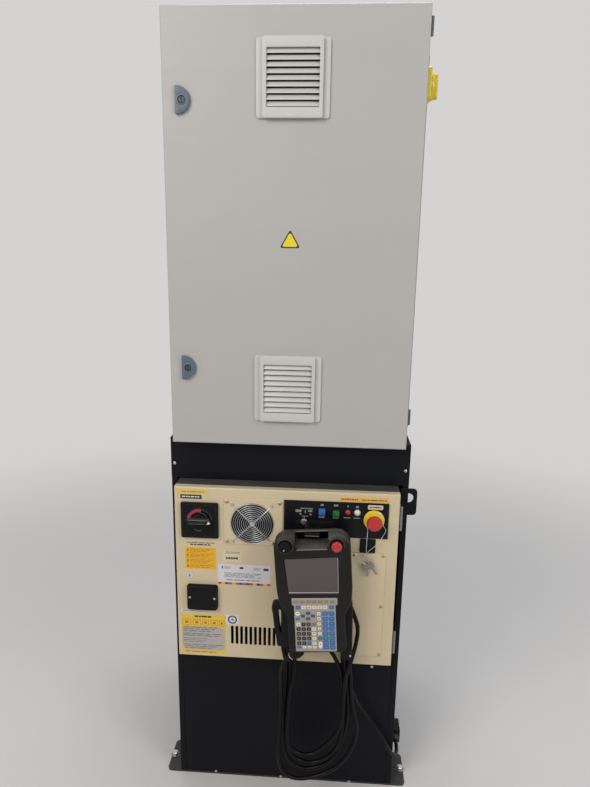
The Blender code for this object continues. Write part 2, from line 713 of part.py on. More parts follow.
def build_lifting_lug():
    """Flat lug with an eye, beside the controller door's upper right corner."""
    centre = (LUG_LEFT + LUG_WIDTH / 2, LUG_BOTTOM + LUG_HEIGHT / 2)
    outline = rounded_rectangle(centre, (LUG_WIDTH, LUG_HEIGHT), LUG_CORNER, 4)
    eye = circle((LUG_LEFT + LUG_EYE_X, LUG_BOTTOM + LUG_EYE_Z), LUG_EYE_RADIUS, 24)
    back = STAND_FRONT - SEAT_GAP
    return prism("lifting_lug", outline, "Y", back - LUG_SHEET, back, DARK_PAINT, [eye])


def build_controller_shell():
    """Sheet housing behind the door, open at the front inside a return rim."""
    front = CONTROLLER_DOOR_BACK + EDGE_GAP
    back = CONTROLLER_DOOR_FRONT + CONTROLLER_DEPTH
    bottom = SHELF_TOP + SEAT_GAP
    low = Vector((CONTROLLER_CENTRE_X - CONTROLLER_WIDTH / 2, front, bottom))
    high = Vector((CONTROLLER_RIGHT, back, CONTROLLER_TOP))
    wall = Vector((CONTROLLER_SHEET, CONTROLLER_SHEET, CONTROLLER_SHEET))
    shell = box("controller_shell", low, high, SHELL_PAINT)
    room = box("room", low + wall, high - wall)
    rim = Vector((SHELL_RIM, 0, SHELL_RIM))
    reach = Vector((0, CONTROLLER_SHEET * 2, 0))
    mouth_high = Vector((high.x, low.y, high.z)) - rim + reach
    mouth = box("mouth", low + rim - reach, mouth_high)
    return cut(shell, room, mouth)


def build_controller_hinge(name, centre_z):
    """Hinge leaf on the shell's side with the barrel at the door's edge."""
    left = CONTROLLER_RIGHT + SEAT_GAP
    low = (left, HINGE_Y, centre_z - HINGE_HEIGHT / 2)
    high = (left + HINGE_LEAF, HINGE_Y + HINGE_LEAF_REACH, centre_z + HINGE_HEIGHT / 2)
    leaf = box(name, low, high, BRIGHT_STEEL)
    profile = [(0, low[2]), (HINGE_RADIUS, low[2]), (HINGE_RADIUS, high[2]), (0, high[2])]
    barrel = turned("barrel", profile, (HINGE_X, HINGE_Y, 0), sides=16, axis="Z")
    return join(leaf, barrel)


def build_controller_door():
    """Folded door pan with the fan, vent, and operator panel cut-outs."""
    centre = (CONTROLLER_CENTRE_X, CONTROLLER_BOTTOM + CONTROLLER_HEIGHT / 2)
    size = (CONTROLLER_WIDTH, CONTROLLER_HEIGHT)
    door = folded_pan("controller_door", centre, size, CONTROLLER_DOOR_FRONT, CONTROLLER_DOOR_DEPTH,
                      CONTROLLER_SHEET, CONTROLLER_EDGE_RADIUS, CREAM_PAINT)
    front = CONTROLLER_DOOR_FRONT - EDGE_GAP
    back = CONTROLLER_DOOR_FRONT + CONTROLLER_SHEET + EDGE_GAP
    duct = prism("duct", circle(FAN_CENTRE, FAN_DUCT_RADIUS, 32), "Y", front, back)
    panel_hole = rectangle(PANEL_CENTRE, (PANEL_SIZE[0] - 2 * PANEL_RIM, PANEL_SIZE[1] - 2 * PANEL_RIM))
    tools = [duct, prism("panel_hole", panel_hole, "Y", front, back)]
    first = VENT_CENTRE[0] - VENT_PITCH * (VENT_COUNT - 1) / 2
    for index in range(VENT_COUNT):
        slot = rectangle((first + index * VENT_PITCH, VENT_CENTRE[1]), (VENT_WIDTH, VENT_HEIGHT))
        tools.append(prism("slot", slot, "Y", front, back))
    return cut(door, *tools)


def folded_pan(name, centre, size, front, depth, sheet, edge_radius, look):
    """Return a door pan: a face with its four sides folded back, open behind."""
    low = (centre[0] - size[0] / 2, front, centre[1] - size[1] / 2)
    high = (centre[0] + size[0] / 2, front + depth, centre[1] + size[1] / 2)
    pan = box(name, low, high, look)
    soften = pan.modifiers.new("fold", "BEVEL")
    soften.width = edge_radius
    soften.segments = 2
    soften.limit_method = "WEIGHT"
    mark_front_edges(pan, front)
    settle(pan)
    inner_low = (low[0] + sheet, front + sheet, low[2] + sheet)
    inner_high = (high[0] - sheet, high[1] + sheet, high[2] - sheet)
    return cut(pan, box("inside", inner_low, inner_high))


def mark_front_edges(pan, front):
    """Give the edges round a pan's front face a bevel weight."""
    weights = pan.data.attributes.new("bevel_weight_edge", "FLOAT", "EDGE")
    for edge in pan.data.edges:
        ends = [pan.data.vertices[index].co.y for index in edge.vertices]
        on_front = all(abs(place - front) < SEAT_GAP for place in ends)
        weights.data[edge.index].value = 1.0 if on_front else 0.0


def build_operator_panel():
    """Black panel sheet with the openings that the push buttons stand in."""
    outline = rectangle(PANEL_CENTRE, PANEL_SIZE)
    hole_size = PUSH_SIZE + 2 * BORE_GAP
    holes = [rectangle(place, (hole_size, hole_size)) for place in (RESET_CENTRE, START_CENTRE)]
    return prism("operator_panel", outline, "Y", PANEL_FACE, DOOR_FACE, BLACK_PLASTIC, holes)


def build_push_button(name, centre, look):
    """Square push button standing in its opening."""
    front = PANEL_FACE - PUSH_PROUD
    outline = rounded_rectangle(centre, (PUSH_SIZE, PUSH_SIZE), 0.002, 2)
    return prism(name, outline, "Y", front, front + PUSH_DEPTH, look)


def build_stop_collar():
    """Yellow disc and neck that the emergency stop's stem slides in."""
    face = PANEL_FACE - SEAT_GAP
    bore = STOP_STEM_RADIUS + BORE_GAP
    profile = [(bore, 0), (STOP_COLLAR_RADIUS, 0), (STOP_COLLAR_RADIUS, STOP_COLLAR_HEIGHT),
               (STOP_NECK_RADIUS, STOP_COLLAR_HEIGHT), (STOP_NECK_RADIUS, STOP_NECK_HEIGHT),
               (bore, STOP_NECK_HEIGHT)]
    return turned("stop_collar", profile, (STOP_CENTRE[0], face, STOP_CENTRE[1]), YELLOW_PLASTIC, 28)


def build_stop_button():
    """Mushroom button on its stem."""
    face = PANEL_FACE - SEAT_GAP
    stem_end = STOP_TRAVEL + BORE_GAP
    under = STOP_NECK_HEIGHT + STOP_TRAVEL + STOP_CLEARANCE
    top = under + STOP_CAP_HEIGHT
    profile = [(0, stem_end), (STOP_STEM_RADIUS, stem_end), (STOP_STEM_RADIUS, under),
               (STOP_CAP_RADIUS * 0.9, under), (STOP_CAP_RADIUS, under + STOP_CAP_HEIGHT * 0.25),
               (STOP_CAP_RADIUS, under + STOP_CAP_HEIGHT * 0.55),
               (STOP_CAP_RADIUS * 0.88, under + STOP_CAP_HEIGHT * 0.82),
               (STOP_CAP_RADIUS * 0.55, top), (0, top)]
    place = (STOP_CENTRE[0], face, STOP_CENTRE[1])
    button = turned("stop_button", profile, place, RED_PLASTIC, 28)
    return button


def build_mode_switch():
    """Key switch barrel with its slot."""
    face = PANEL_FACE - SEAT_GAP
    profile = [(0, 0), (SWITCH_RADIUS, 0), (SWITCH_RADIUS, SWITCH_HEIGHT * 0.8),
               (SWITCH_RADIUS * 0.85, SWITCH_HEIGHT), (0, SWITCH_HEIGHT)]
    barrel = turned("mode_switch", profile, (SWITCH_CENTRE[0], face, SWITCH_CENTRE[1]), BRIGHT_STEEL, 20)
    front = face - SWITCH_HEIGHT
    low = (SWITCH_CENTRE[0] - SWITCH_SLOT / 2, front - EDGE_GAP, SWITCH_CENTRE[1] - SWITCH_RADIUS / 2)
    high = (SWITCH_CENTRE[0] + SWITCH_SLOT / 2, front + SWITCH_SLOT, SWITCH_CENTRE[1] + SWITCH_RADIUS / 2)
    return cut(barrel, box("slot", low, high))


def build_lamp(name, centre, look):
    """Domed indicator lamp on the operator panel."""
    profile = [(0, 0), (LAMP_RADIUS, 0), (LAMP_RADIUS, LAMP_HEIGHT * 0.5),
               (LAMP_RADIUS * 0.7, LAMP_HEIGHT * 0.9), (0, LAMP_HEIGHT)]
    return turned(name, profile, (centre[0], PANEL_FACE - SEAT_GAP, centre[1]), look, 20)


def build_breaker_base():
    """Square escutcheon with a raised dial ring."""
    outline = rounded_rectangle(BREAKER_CENTRE, (BREAKER_SIZE, BREAKER_SIZE), 0.004, 2)
    plate = prism("breaker_base", outline, "Y", DOOR_FACE - BREAKER_THICKNESS, DOOR_FACE, BLACK_PLASTIC)
    sunk = BREAKER_THICKNESS / 2
    face = DOOR_FACE - sunk
    height = BREAKER_DIAL_HEIGHT + sunk
    profile = [(0, 0), (BREAKER_DIAL_RADIUS, 0), (BREAKER_DIAL_RADIUS, height - 0.001),
               (BREAKER_DIAL_RADIUS - 0.002, height), (0, height)]
    dial = turned("dial", profile, (BREAKER_CENTRE[0], face, BREAKER_CENTRE[1]), sides=32)
    return join(plate, dial)


def build_breaker_handle():
    """Turning hub with a horizontal lever."""
    face = DOOR_FACE - BREAKER_THICKNESS - BREAKER_DIAL_HEIGHT - SEAT_GAP
    height = BREAKER_HUB_HEIGHT
    chamfer = height / 3
    profile = [(0, 0), (BREAKER_HUB_RADIUS, 0), (BREAKER_HUB_RADIUS, height - chamfer),
               (BREAKER_HUB_RADIUS - chamfer, height), (0, height)]
    place = (BREAKER_CENTRE[0], face, BREAKER_CENTRE[1])
    hub = turned("breaker_handle", profile, place, BLACK_PLASTIC, 28)
    outline = rounded_rectangle(BREAKER_CENTRE, BREAKER_LEVER, BREAKER_LEVER[1] * 0.45, 3)
    lever = prism("lever", outline, "Y", face - BREAKER_LEVER_HEIGHT, face - height / 3)
    return join(hub, lever)


def build_fan_plate():
    """Plate that closes the fan's cut-out, with its round hole."""
    outline = rectangle(FAN_PLATE_CENTRE, FAN_PLATE_SIZE)
    hole = circle(FAN_CENTRE, FAN_DUCT_RADIUS, 32)
    return prism("fan_plate", outline, "Y", DOOR_FACE - COVER_SHEET, DOOR_FACE, CREAM_PAINT, [hole])


def build_fan_guard():
    """Finger guard: rings on four diagonal spokes that end in screw ears."""
    back = DOOR_FACE - COVER_SHEET - SEAT_GAP
    radii = [GUARD_RADIUS - index * GUARD_PITCH for index in range(GUARD_RINGS)]
    holes = []
    for outer, inner in zip(radii, radii[1:]):
        for turn in GUARD_SPOKES:
            holes.append(guard_gap(turn, inner + GUARD_WIRE / 2, outer - GUARD_WIRE / 2))
    return prism("fan_guard", guard_outline(), "Y", back - GUARD_WIRE, back, BRIGHT_STEEL, holes)


def guard_gap(turn, inner, outer):
    """Return the gap between two rings, from one spoke to the next."""
    outer_trim = math.degrees(math.asin(GUARD_WIRE / outer))
    inner_trim = math.degrees(math.asin(GUARD_WIRE / inner))
    sides = max(3, round(outer / GUARD_RADIUS * 7))
    gap = arc(FAN_CENTRE, outer, turn + outer_trim, turn + 90 - outer_trim, sides)
    return gap + arc(FAN_CENTRE, inner, turn + 90 - inner_trim, turn + inner_trim, sides)


def guard_outline():
    """Return the guard's outer ring with an ear at the end of each spoke."""
    radius = GUARD_RADIUS + GUARD_WIRE / 2
    trim = math.degrees(math.asin(GUARD_WIRE / radius))
    ear_trim = math.degrees(math.asin(GUARD_WIRE / GUARD_EAR_RADIUS))
    outline = []
    for turn in GUARD_SPOKES:
        angle = math.radians(turn)
        ear = (FAN_CENTRE[0] + math.cos(angle) * GUARD_EAR, FAN_CENTRE[1] + math.sin(angle) * GUARD_EAR)
        outline.extend(arc(ear, GUARD_EAR_RADIUS, turn - 180 + ear_trim, turn + 180 - ear_trim, 8))
        outline.extend(arc(FAN_CENTRE, radius, turn + trim, turn + 90 - trim, 7))
    return outline


def bar_between(name, start, end, thickness):
    """Return a square bar from start to end."""
    length = (end - start).length
    half = thickness / 2
    mesh_builder = box_mesh((-half, -half, 0.0), (half, half, length))
    turn = (end - start).to_track_quat("Z", "Y").to_matrix().to_4x4()
    mesh_builder.transform(Matrix.Translation(start) @ turn)
    return make_piece(name, mesh_builder, None)


def build_cooling_fan():
    """Axial fan behind the door sheet: frame, duct, hub on struts, and blades."""
    front = CONTROLLER_DOOR_FRONT + CONTROLLER_SHEET + SEAT_GAP
    back = front + FAN_FRAME_DEPTH
    outline = rounded_rectangle(FAN_CENTRE, (FAN_FRAME, FAN_FRAME), 0.006, 2)
    duct = circle(FAN_CENTRE, FAN_DUCT_RADIUS - EDGE_GAP, 32)
    fan = prism("cooling_fan", outline, "Y", front, back, BLACK_PLASTIC, [duct])
    hub = prism("hub", circle(FAN_CENTRE, FAN_HUB_RADIUS, 20), "Y", front + 0.002, back - 0.001)
    struts = []
    for turn in (20, 140, 260):
        angle = math.radians(turn)
        reach = Vector((math.cos(angle), 0, math.sin(angle)))
        centre = Vector((FAN_CENTRE[0], back - 0.003, FAN_CENTRE[1]))
        struts.append(bar_between("strut", centre, centre + reach * (FAN_DUCT_RADIUS + 0.001), 0.004))
    blades = []
    for index in range(FAN_BLADES):
        blades.append(fan_blade(index * math.tau / FAN_BLADES, (front + back) / 2 - 0.003))
    return join(fan, join(hub, *struts, *blades))


def fan_blade(angle, middle):
    """Return one pitched fan blade from the hub to near the duct."""
    half_sheet = FAN_BLADE_SHEET / 2
    half_chord = FAN_BLADE_CHORD / 2
    low = (FAN_HUB_RADIUS - FAN_BLADE_SHEET * 2, -half_sheet, -half_chord)
    mesh_builder = box_mesh(low, (FAN_DUCT_RADIUS - EDGE_GAP, half_sheet, half_chord))
    pitch = Matrix.Rotation(FAN_BLADE_PITCH, 4, "X")
    around = Matrix.Rotation(angle, 4, "Y")
    place = Matrix.Translation((FAN_CENTRE[0], middle, FAN_CENTRE[1]))
    mesh_builder.transform(place @ around @ pitch)
    return make_piece("blade", mesh_builder, None)


def build_cover(name, centre, size, thickness, look):
    """Return a raised cover with softened front edges."""
    outline = rounded_rectangle(centre, size, 0.004, 2)
    return prism(name, outline, "Y", DOOR_FACE - thickness, DOOR_FACE, look)


def build_pendant_holder():
    """Cream plate with the hooks that carry the pendant and the coiled cable."""
    centre = (HOLDER_CENTRE_X, (HOLDER_BOTTOM + HOLDER_TOP) / 2)
    size = (HOLDER_WIDTH, HOLDER_TOP - HOLDER_BOTTOM)
    plate = prism("pendant_holder", rectangle(centre, size), "Y", HOLDER_FACE, DOOR_FACE, CREAM_PAINT)
    arm_top = HANG_POINT[1] - SEAT_GAP - HOOK_WIDTH / 2 * math.sin(PENDANT_TILT)
    tip = PENDANT_FACE + PENDANT_DEPTH * 0.30
    hook = hook_strip("hook", HANG_POINT[0], HOOK_WIDTH, HOLDER_TOP - HOOK_FOOT, arm_top, tip, HOOK_JOGGLE)
    inside = COIL_WIDTH / 2 - COIL_BUNDLE
    arch = inside - math.sqrt(inside ** 2 - (COIL_HOOK_WIDTH / 2) ** 2)
    coil_arm_top = COIL_TOP - COIL_BUNDLE - arch - EDGE_GAP / 2
    coil_tip = COIL_FRONT - SEAT_GAP - HOOK_SHEET
    coil_hook = hook_strip("coil_hook", COIL_CENTRE_X, COIL_HOOK_WIDTH, coil_arm_top - COIL_HOOK_FOOT,
                           coil_arm_top, coil_tip, 0.0)
    return join(plate, hook, coil_hook)


def hook_strip(name, centre_x, width, foot, arm_top, tip, joggle):
    """Return a bent strip: up from the plate, forward, and a lip turned up.

    The joggle sets the rising part forward, clear of what lies above the plate.
    """
    back = HOLDER_FACE + HOLDER_SHEET / 2
    rise_back = back - joggle
    arm_under = arm_top - HOOK_SHEET
    rise_front = rise_back - HOOK_SHEET - HOLDER_SHEET / 2
    bend = HOLDER_TOP - HOOK_BEND_DROP
    outline = [(back, foot)]
    if joggle:
        outline.extend([(back, bend - joggle), (rise_back, bend)])
    outline.extend([(rise_back, arm_top), (tip + HOOK_SHEET, arm_top),
                    (tip + HOOK_SHEET, arm_top + HOOK_LIP), (tip, arm_top + HOOK_LIP),
                    (tip, arm_under), (rise_front, arm_under)])
    if joggle:
        outer_bend = bend - HOOK_SHEET / 2
        outline.extend([(rise_front, outer_bend), (rise_front + joggle, outer_bend - joggle)])
    outline.append((rise_front + joggle, foot))
    return prism(name, outline, "X", centre_x - width / 2, centre_x + width / 2)


def pendant_point(point):
    """Return the place (x, z) of a point in the pendant's own frame."""
    x, z = point
    cos_tilt = math.cos(PENDANT_TILT)
    sin_tilt = math.sin(PENDANT_TILT)
    return (PENDANT_CENTRE[0] + x * cos_tilt - z * sin_tilt,
            PENDANT_CENTRE[1] + x * sin_tilt + z * cos_tilt)


def hang(piece):
    """Place a piece that was modelled in the pendant's own frame."""
    piece.location = (PENDANT_CENTRE[0], PENDANT_FACE, PENDANT_CENTRE[1])
    piece.rotation_euler = (0.0, -PENDANT_TILT, 0.0)
    return piece


def pendant_outline():
    """Return the housing's front outline: wide shoulders, a waist and a narrower foot."""
    half = PENDANT_WIDTH / 2
    foot = PENDANT_FOOT_WIDTH / 2
    top = PENDANT_TOP
    shoulder = PENDANT_SHOULDER_RADIUS
    corner = PENDANT_FOOT_RADIUS
    waist_top = WAIST_TOP_RISE - top
    right = arc((foot - corner, corner - top), corner, -90, 0, 4)
    right.append((foot, WAIST_BOTTOM_RISE - top))
    right.append((half - PENDANT_SIDE_DRAFT, waist_top))
    right.append((half, waist_top + PENDANT_SIDE_RISE))
    right.extend(arc((half - shoulder, top - shoulder), shoulder, 0, 90, 6))
    left = [(-x, z) for x, z in reversed(right)]
    return right + left


def build_pendant_body():
    """Pendant housing: crowned shoulders with round pods, grip window, scoop and screen recess."""
    body = prism("pendant_body", pendant_outline(), "Y", 0.0, PENDANT_DEPTH, BLACK_PLASTIC)
    soften = body.modifiers.new("soften", "BEVEL")
    soften.width = PENDANT_EDGE
    soften.segments = 2
    soften.limit_method = "ANGLE"
    soften.angle_limit = math.radians(50)
    settle(body)
    beyond = PENDANT_EDGE * 2
    window = rounded_rectangle((0.0, GRIP_CENTRE_Z), (GRIP_WIDTH, GRIP_HEIGHT), GRIP_HEIGHT * 0.3, 3)
    tools = [crown_cutter(), prism("grip", window, "Y", -beyond, PENDANT_DEPTH + beyond), scoop_cutter()]
    notch_low = (-GRIP_WIDTH / 2, -beyond, GRIP_CENTRE_Z)
    tools.append(box("notch", notch_low, (GRIP_WIDTH / 2, GRIP_BAR_SET_BACK, PENDANT_HEIGHT)))
    tools.append(prism("recess", rectangle(SCREEN_CENTRE, SCREEN_SIZE), "Y", -beyond,
                       SCREEN_RECESS + SEAT_GAP))
    for side in (-1, 1):
        pod = circle((side * POD_SHIFT, POD_CENTRE_Z), POD_RADIUS, 24)
        tools.append(prism("pod", pod, "Y", -beyond, POD_RECESS))
    return cut(body, *tools)


def crown_cutter():
    """Return what rounds the housing's top back from its front, as a quarter of an ellipse."""
    low = PENDANT_TOP - CROWN_HEIGHT
    curve = []
    for y, z in arc((0.0, 0.0), 1.0, 180, 90, 6):
        curve.append((CROWN_DEPTH * (1 + y), low + CROWN_HEIGHT * z))
    outline = [(-CROWN_DEPTH, low), *curve, (CROWN_DEPTH, PENDANT_TOP + CROWN_HEIGHT),
               (-CROWN_DEPTH, PENDANT_TOP + CROWN_HEIGHT)]
    return prism("crown", outline, "X", -PENDANT_WIDTH, PENDANT_WIDTH)


def scoop_cutter():
    """Return the slope that leads from the housing's face up into the grip window."""
    lip = GRIP_BOTTOM - SCOOP_HEIGHT
    outline = [(-SCOOP_DEPTH, lip - SCOOP_HEIGHT), (0.0, lip), (SCOOP_DEPTH, GRIP_BOTTOM + BORE_GAP),
               (-SCOOP_DEPTH, GRIP_BOTTOM + BORE_GAP)]
    half = GRIP_WIDTH / 2 - PENDANT_EDGE
    return prism("scoop", outline, "X", -half, half)


def build_pendant_screen():
    """Screen glass in its recess."""
    size = (SCREEN_SIZE[0] - 2 * SEAT_GAP, SCREEN_SIZE[1] - 2 * SEAT_GAP)
    outline = rectangle(SCREEN_CENTRE, size)
    return prism("pendant_screen", outline, "Y", SCREEN_RECESS / 4, SCREEN_RECESS, SCREEN_GLASS)


def build_pendant_keypad():
    """Keypad on the housing's lower front: a wide header over a narrower field."""
    wide = KEYPAD_WIDTH / 2
    narrow = KEYPAD_FOOT_WIDTH / 2
    corner = (wide - narrow) / 2
    step = KEYPAD_TOP - KEYPAD_HEADER
    right = arc((narrow - corner, KEYPAD_BOTTOM + corner), corner, -90, 0, 2)
    right.extend([(narrow, step - corner), (wide, step)])
    right.extend(arc((wide - corner / 2, KEYPAD_TOP - corner / 2), corner / 2, 0, 90, 2))
    outline = right + [(-x, z) for x, z in reversed(right)]
    return prism("pendant_keypad", outline, "Y", -SEAT_GAP - KEYPAD_THICKNESS, -SEAT_GAP, KEYPAD_FILM)


def build_pendant_stop():
    """Red stop button in the right pod."""
    radius = PENDANT_STOP_RADIUS
    profile = [(0, 0), (radius * 0.7, 0), (radius * 0.7, PENDANT_STOP_HEIGHT * 0.4),
               (radius, PENDANT_STOP_HEIGHT * 0.45), (radius, PENDANT_STOP_HEIGHT * 0.8),
               (radius * 0.8, PENDANT_STOP_HEIGHT), (0, PENDANT_STOP_HEIGHT)]
    place = (POD_SHIFT, POD_RECESS - SEAT_GAP, POD_CENTRE_Z)
    return turned("pendant_stop", profile, place, RED_PLASTIC, 24)


def build_pendant_switch():
    """Rotary enable switch in the left pod."""
    radius = PENDANT_SWITCH_RADIUS
    profile = [(0, 0), (radius, 0), (radius * 0.9, PENDANT_SWITCH_HEIGHT), (0, PENDANT_SWITCH_HEIGHT)]
    place = (-POD_SHIFT, POD_RECESS - SEAT_GAP, POD_CENTRE_Z)
    return turned("pendant_switch", profile, place, BLACK_PLASTIC, 20)


def boot_axis():
    """Return the strain relief's start and its direction, in the cabinet's frame."""
    start_x, start_z = pendant_point((BOOT_SHIFT, -PENDANT_TOP - SEAT_GAP))
    start = Vector((start_x, (PENDANT_FACE + PENDANT_BACK) / 2, start_z))
    direction = Vector((-math.sin(BOOT_ANGLE), 0.0, -math.cos(BOOT_ANGLE)))
    return start, direction


def build_strain_relief():
    """Tapered boot where the cable leaves the pendant."""
    start, direction = boot_axis()
    profile = [(0, 0), (BOOT_RADIUS, 0), (BOOT_RADIUS, BOOT_LENGTH * 0.3), (BOOT_TIP_RADIUS, BOOT_LENGTH),
               (0, BOOT_LENGTH)]
    boot = turned("strain_relief", profile, (0, 0, 0), BLACK_PLASTIC, 16, axis="Z")
    lowered = start + direction * (BOOT_RADIUS * math.tan(BOOT_ANGLE))
    turn = direction.to_track_quat("Z", "Y").to_matrix().to_4x4()
    boot.data.transform(Matrix.Translation(lowered) @ turn)
    return boot


def boot_tip():
    """Return the point where the cable leaves the boot."""
    start, direction = boot_axis()
    return start + direction * (BOOT_RADIUS * math.tan(BOOT_ANGLE) + BOOT_LENGTH + SEAT_GAP)


def coil_outline(inset):
    """Return the hanging coil's outline, drawn in by an inset."""
    radius = COIL_WIDTH / 2 - inset
    top = (COIL_CENTRE_X, COIL_TOP - COIL_WIDTH / 2)
    bottom = (COIL_CENTRE_X, COIL_BOTTOM + COIL_WIDTH / 2)
    return arc(top, radius, 0, 180, 14) + arc(bottom, radius, 180, 360, 14)


def build_cable_coil():
    """Outer shape of the cable's hanging loops."""
    return prism("pendant_cable_coil", coil_outline(0.0), "Y", COIL_FRONT, COIL_BACK, CABLE_JACKET,
                 [coil_outline(COIL_BUNDLE)])


def build_cable_drop():
    """Cable from the pendant's boot to the coil's front."""
    direction = boot_axis()[1]
    tip = boot_tip()
    landing = COIL_FRONT - CABLE_GAP
    coil_x = COIL_CENTRE_X - COIL_WIDTH / 2 + COIL_BUNDLE / 2
    end_z = tip.z - 0.125
    points = [tip, tip + direction * 0.012, tip + direction * 0.030,
              (coil_x - 0.008, tip.y - 0.006, tip.z - 0.066),
              (coil_x - 0.002, landing - 0.048, end_z + 0.016),
              (coil_x, landing - 0.030, end_z + 0.001), (coil_x, landing - 0.014, end_z),
              (coil_x, landing, end_z)]
    return tube("pendant_cable_drop", points, CABLE_DIAMETER, CABLE_DIAMETER * 2, CABLE_JACKET)


def gland_tip():
    """Return the centre of the gland's open end, which faces the front."""
    return Vector((STAND_WIDTH / 2 + GLAND_OFFSET, GLAND_PLACE[0] - GLAND_LENGTH, GLAND_PLACE[1]))


def build_cable_gland():
    """Cable entry hood on the stand's right side, with its gland facing the front."""
    wall = STAND_WIDTH / 2 + SEAT_GAP
    front = GLAND_PLACE[0]
    low = (wall, front, GLAND_PLACE[1] - GLAND_HOOD[2] / 2)
    hood = box("cable_gland", low, (wall + GLAND_HOOD[0], front + GLAND_HOOD[1], low[2] + GLAND_HOOD[2]),
               BLACK_PLASTIC)
    soften = hood.modifiers.new("soften", "BEVEL")
    soften.width = 0.003
    soften.segments = 1
    settle(hood)
    root = GLAND_HOOD[1] / 4
    radius = GLAND_RADIUS
    length = GLAND_LENGTH + root
    profile = [(0, 0), (radius, 0), (radius, length * 0.6), (radius * 0.75, length), (0, length)]
    place = (STAND_WIDTH / 2 + GLAND_OFFSET, front + root, GLAND_PLACE[1])
    return join(hood, turned("nozzle", profile, place, sides=16))


def build_cable_tail():
    """Cable from the coil's lower right, round the stand's corner and into the gland."""
    tip = gland_tip()
    coil_x = COIL_CENTRE_X + COIL_WIDTH / 2 - COIL_BUNDLE / 2
    start = COIL_BACK + CABLE_GAP
    points = [(coil_x, start, TAIL_START_Z), (coil_x, start + 0.013, TAIL_START_Z),
              (coil_x, start + 0.026, TAIL_START_Z), (coil_x + 0.018, STAND_FRONT - 0.030, 0.306),
              (coil_x + 0.050, STAND_FRONT - 0.025, 0.264), (coil_x + 0.084, STAND_FRONT - 0.025, 0.204),
              (tip.x - 0.034, STAND_FRONT - 0.026, 0.148), (tip.x - 0.013, STAND_FRONT - 0.014, 0.115),
              (tip.x, tip.y - 0.044, tip.z + 0.001), (tip.x, tip.y - 0.024, tip.z),
              (tip.x, tip.y - CABLE_GAP, tip.z)]
    return tube("pendant_cable_tail", points, CABLE_DIAMETER, CABLE_DIAMETER * 2, CABLE_JACKET)


def build_keys():
    """Split ring with the spare key that hangs on it."""
    centre = (KEY_RING_CENTRE[0], KEY_PLANE, KEY_RING_CENTRE[1])
    ring = ring_solid("keys", centre, KEY_RING_RADIUS, KEY_RING_WIRE)
    angle = math.radians(-52)
    along = Vector((math.cos(angle), 0, math.sin(angle)))
    start = Vector(centre) + along * (KEY_RING_RADIUS - KEY_RING_WIRE)
    bow_centre = (start.x + along.x * KEY_BOW_RADIUS, start.z + along.z * KEY_BOW_RADIUS)
    bow = prism("bow", circle(bow_centre, KEY_BOW_RADIUS, 14), "Y", KEY_PLANE - 0.0016,
                KEY_PLANE + 0.0016)
    shank = bar_between("shank", start + along * KEY_BOW_RADIUS, start + along * KEY_LENGTH, KEY_RADIUS * 2)
    return join(ring, bow, shank)


def ring_solid(name, centre, radius, wire):
    """Return a ring of round wire, square to Y."""
    half = wire / 2
    profile = [(radius + half * math.cos(turn), half * math.sin(turn))
               for turn in (step * math.tau / 8 for step in range(8))]
    return turned(name, profile, centre, BRIGHT_STEEL, 24)


def build_key_tether():
    """Thin wire from the emergency stop's collar, through the key ring and back up to the collar."""
    ring_x = KEY_RING_CENTRE[0]
    ring_top = KEY_RING_CENTRE[1] + KEY_RING_RADIUS
    collar_face = PANEL_FACE - STOP_COLLAR_HEIGHT
    left = Vector((STOP_CENTRE[0] - STOP_COLLAR_RADIUS * 0.60, collar_face - TETHER_DIAMETER,
                   STOP_CENTRE[1] - STOP_COLLAR_RADIUS * 0.60))
    right = Vector((STOP_CENTRE[0] + STOP_COLLAR_RADIUS * 0.80, collar_face - TETHER_DIAMETER,
                    STOP_CENTRE[1] - STOP_COLLAR_RADIUS * 0.20))
    front = KEY_PLANE - TETHER_PASS
    back = KEY_PLANE + TETHER_PASS
    stop_x = STOP_CENTRE[0]
    points = [left, left + Vector((0.0005, -0.0020, -0.012)), (stop_x - 0.0170, front, ring_top + 0.042),
              (ring_x - 0.002, front, ring_top + 0.014), (ring_x - 0.001, front + 0.0006, ring_top + 0.002),
              (ring_x, KEY_PLANE, ring_top - TETHER_PASS), (ring_x + 0.001, back - 0.0006, ring_top + 0.002),
              (ring_x + 0.006, back, ring_top + 0.010), (stop_x + 0.0055, back, ring_top + 0.024),
              (stop_x + 0.0205, back, ring_top + 0.046), (stop_x + 0.0295, front, ring_top + 0.074),
              right + Vector((0.0040, -0.0030, -0.009)), right]
    return tube("key_tether", points, TETHER_DIAMETER, TETHER_SPACING, BRIGHT_STEEL)


def build_enclosure_body():
    """Wall enclosure housing, open at the front inside a return rim."""
    half_wide = ENCLOSURE_WIDTH / 2 - ENCLOSURE_SIDE_STEP
    low = Vector((-half_wide, ENCLOSURE_BODY_FRONT, STAND_HEIGHT + SEAT_GAP))
    high = Vector((half_wide, ENCLOSURE_BACK, ENCLOSURE_BOTTOM + ENCLOSURE_HEIGHT - ENCLOSURE_SIDE_STEP))
    wall = Vector((ENCLOSURE_SHEET, ENCLOSURE_SHEET, ENCLOSURE_SHEET))
    body = box("enclosure_body", low, high, GREY_PAINT)
    room = box("room", low + wall, high - wall)
    rim = Vector((ENCLOSURE_RIM, 0, ENCLOSURE_RIM))
    reach = Vector((0, ENCLOSURE_SHEET * 2, 0))
    mouth_high = Vector((high.x, low.y, high.z)) - rim + reach
    mouth = box("mouth", low + rim - reach, mouth_high)
    return cut(body, room, mouth)


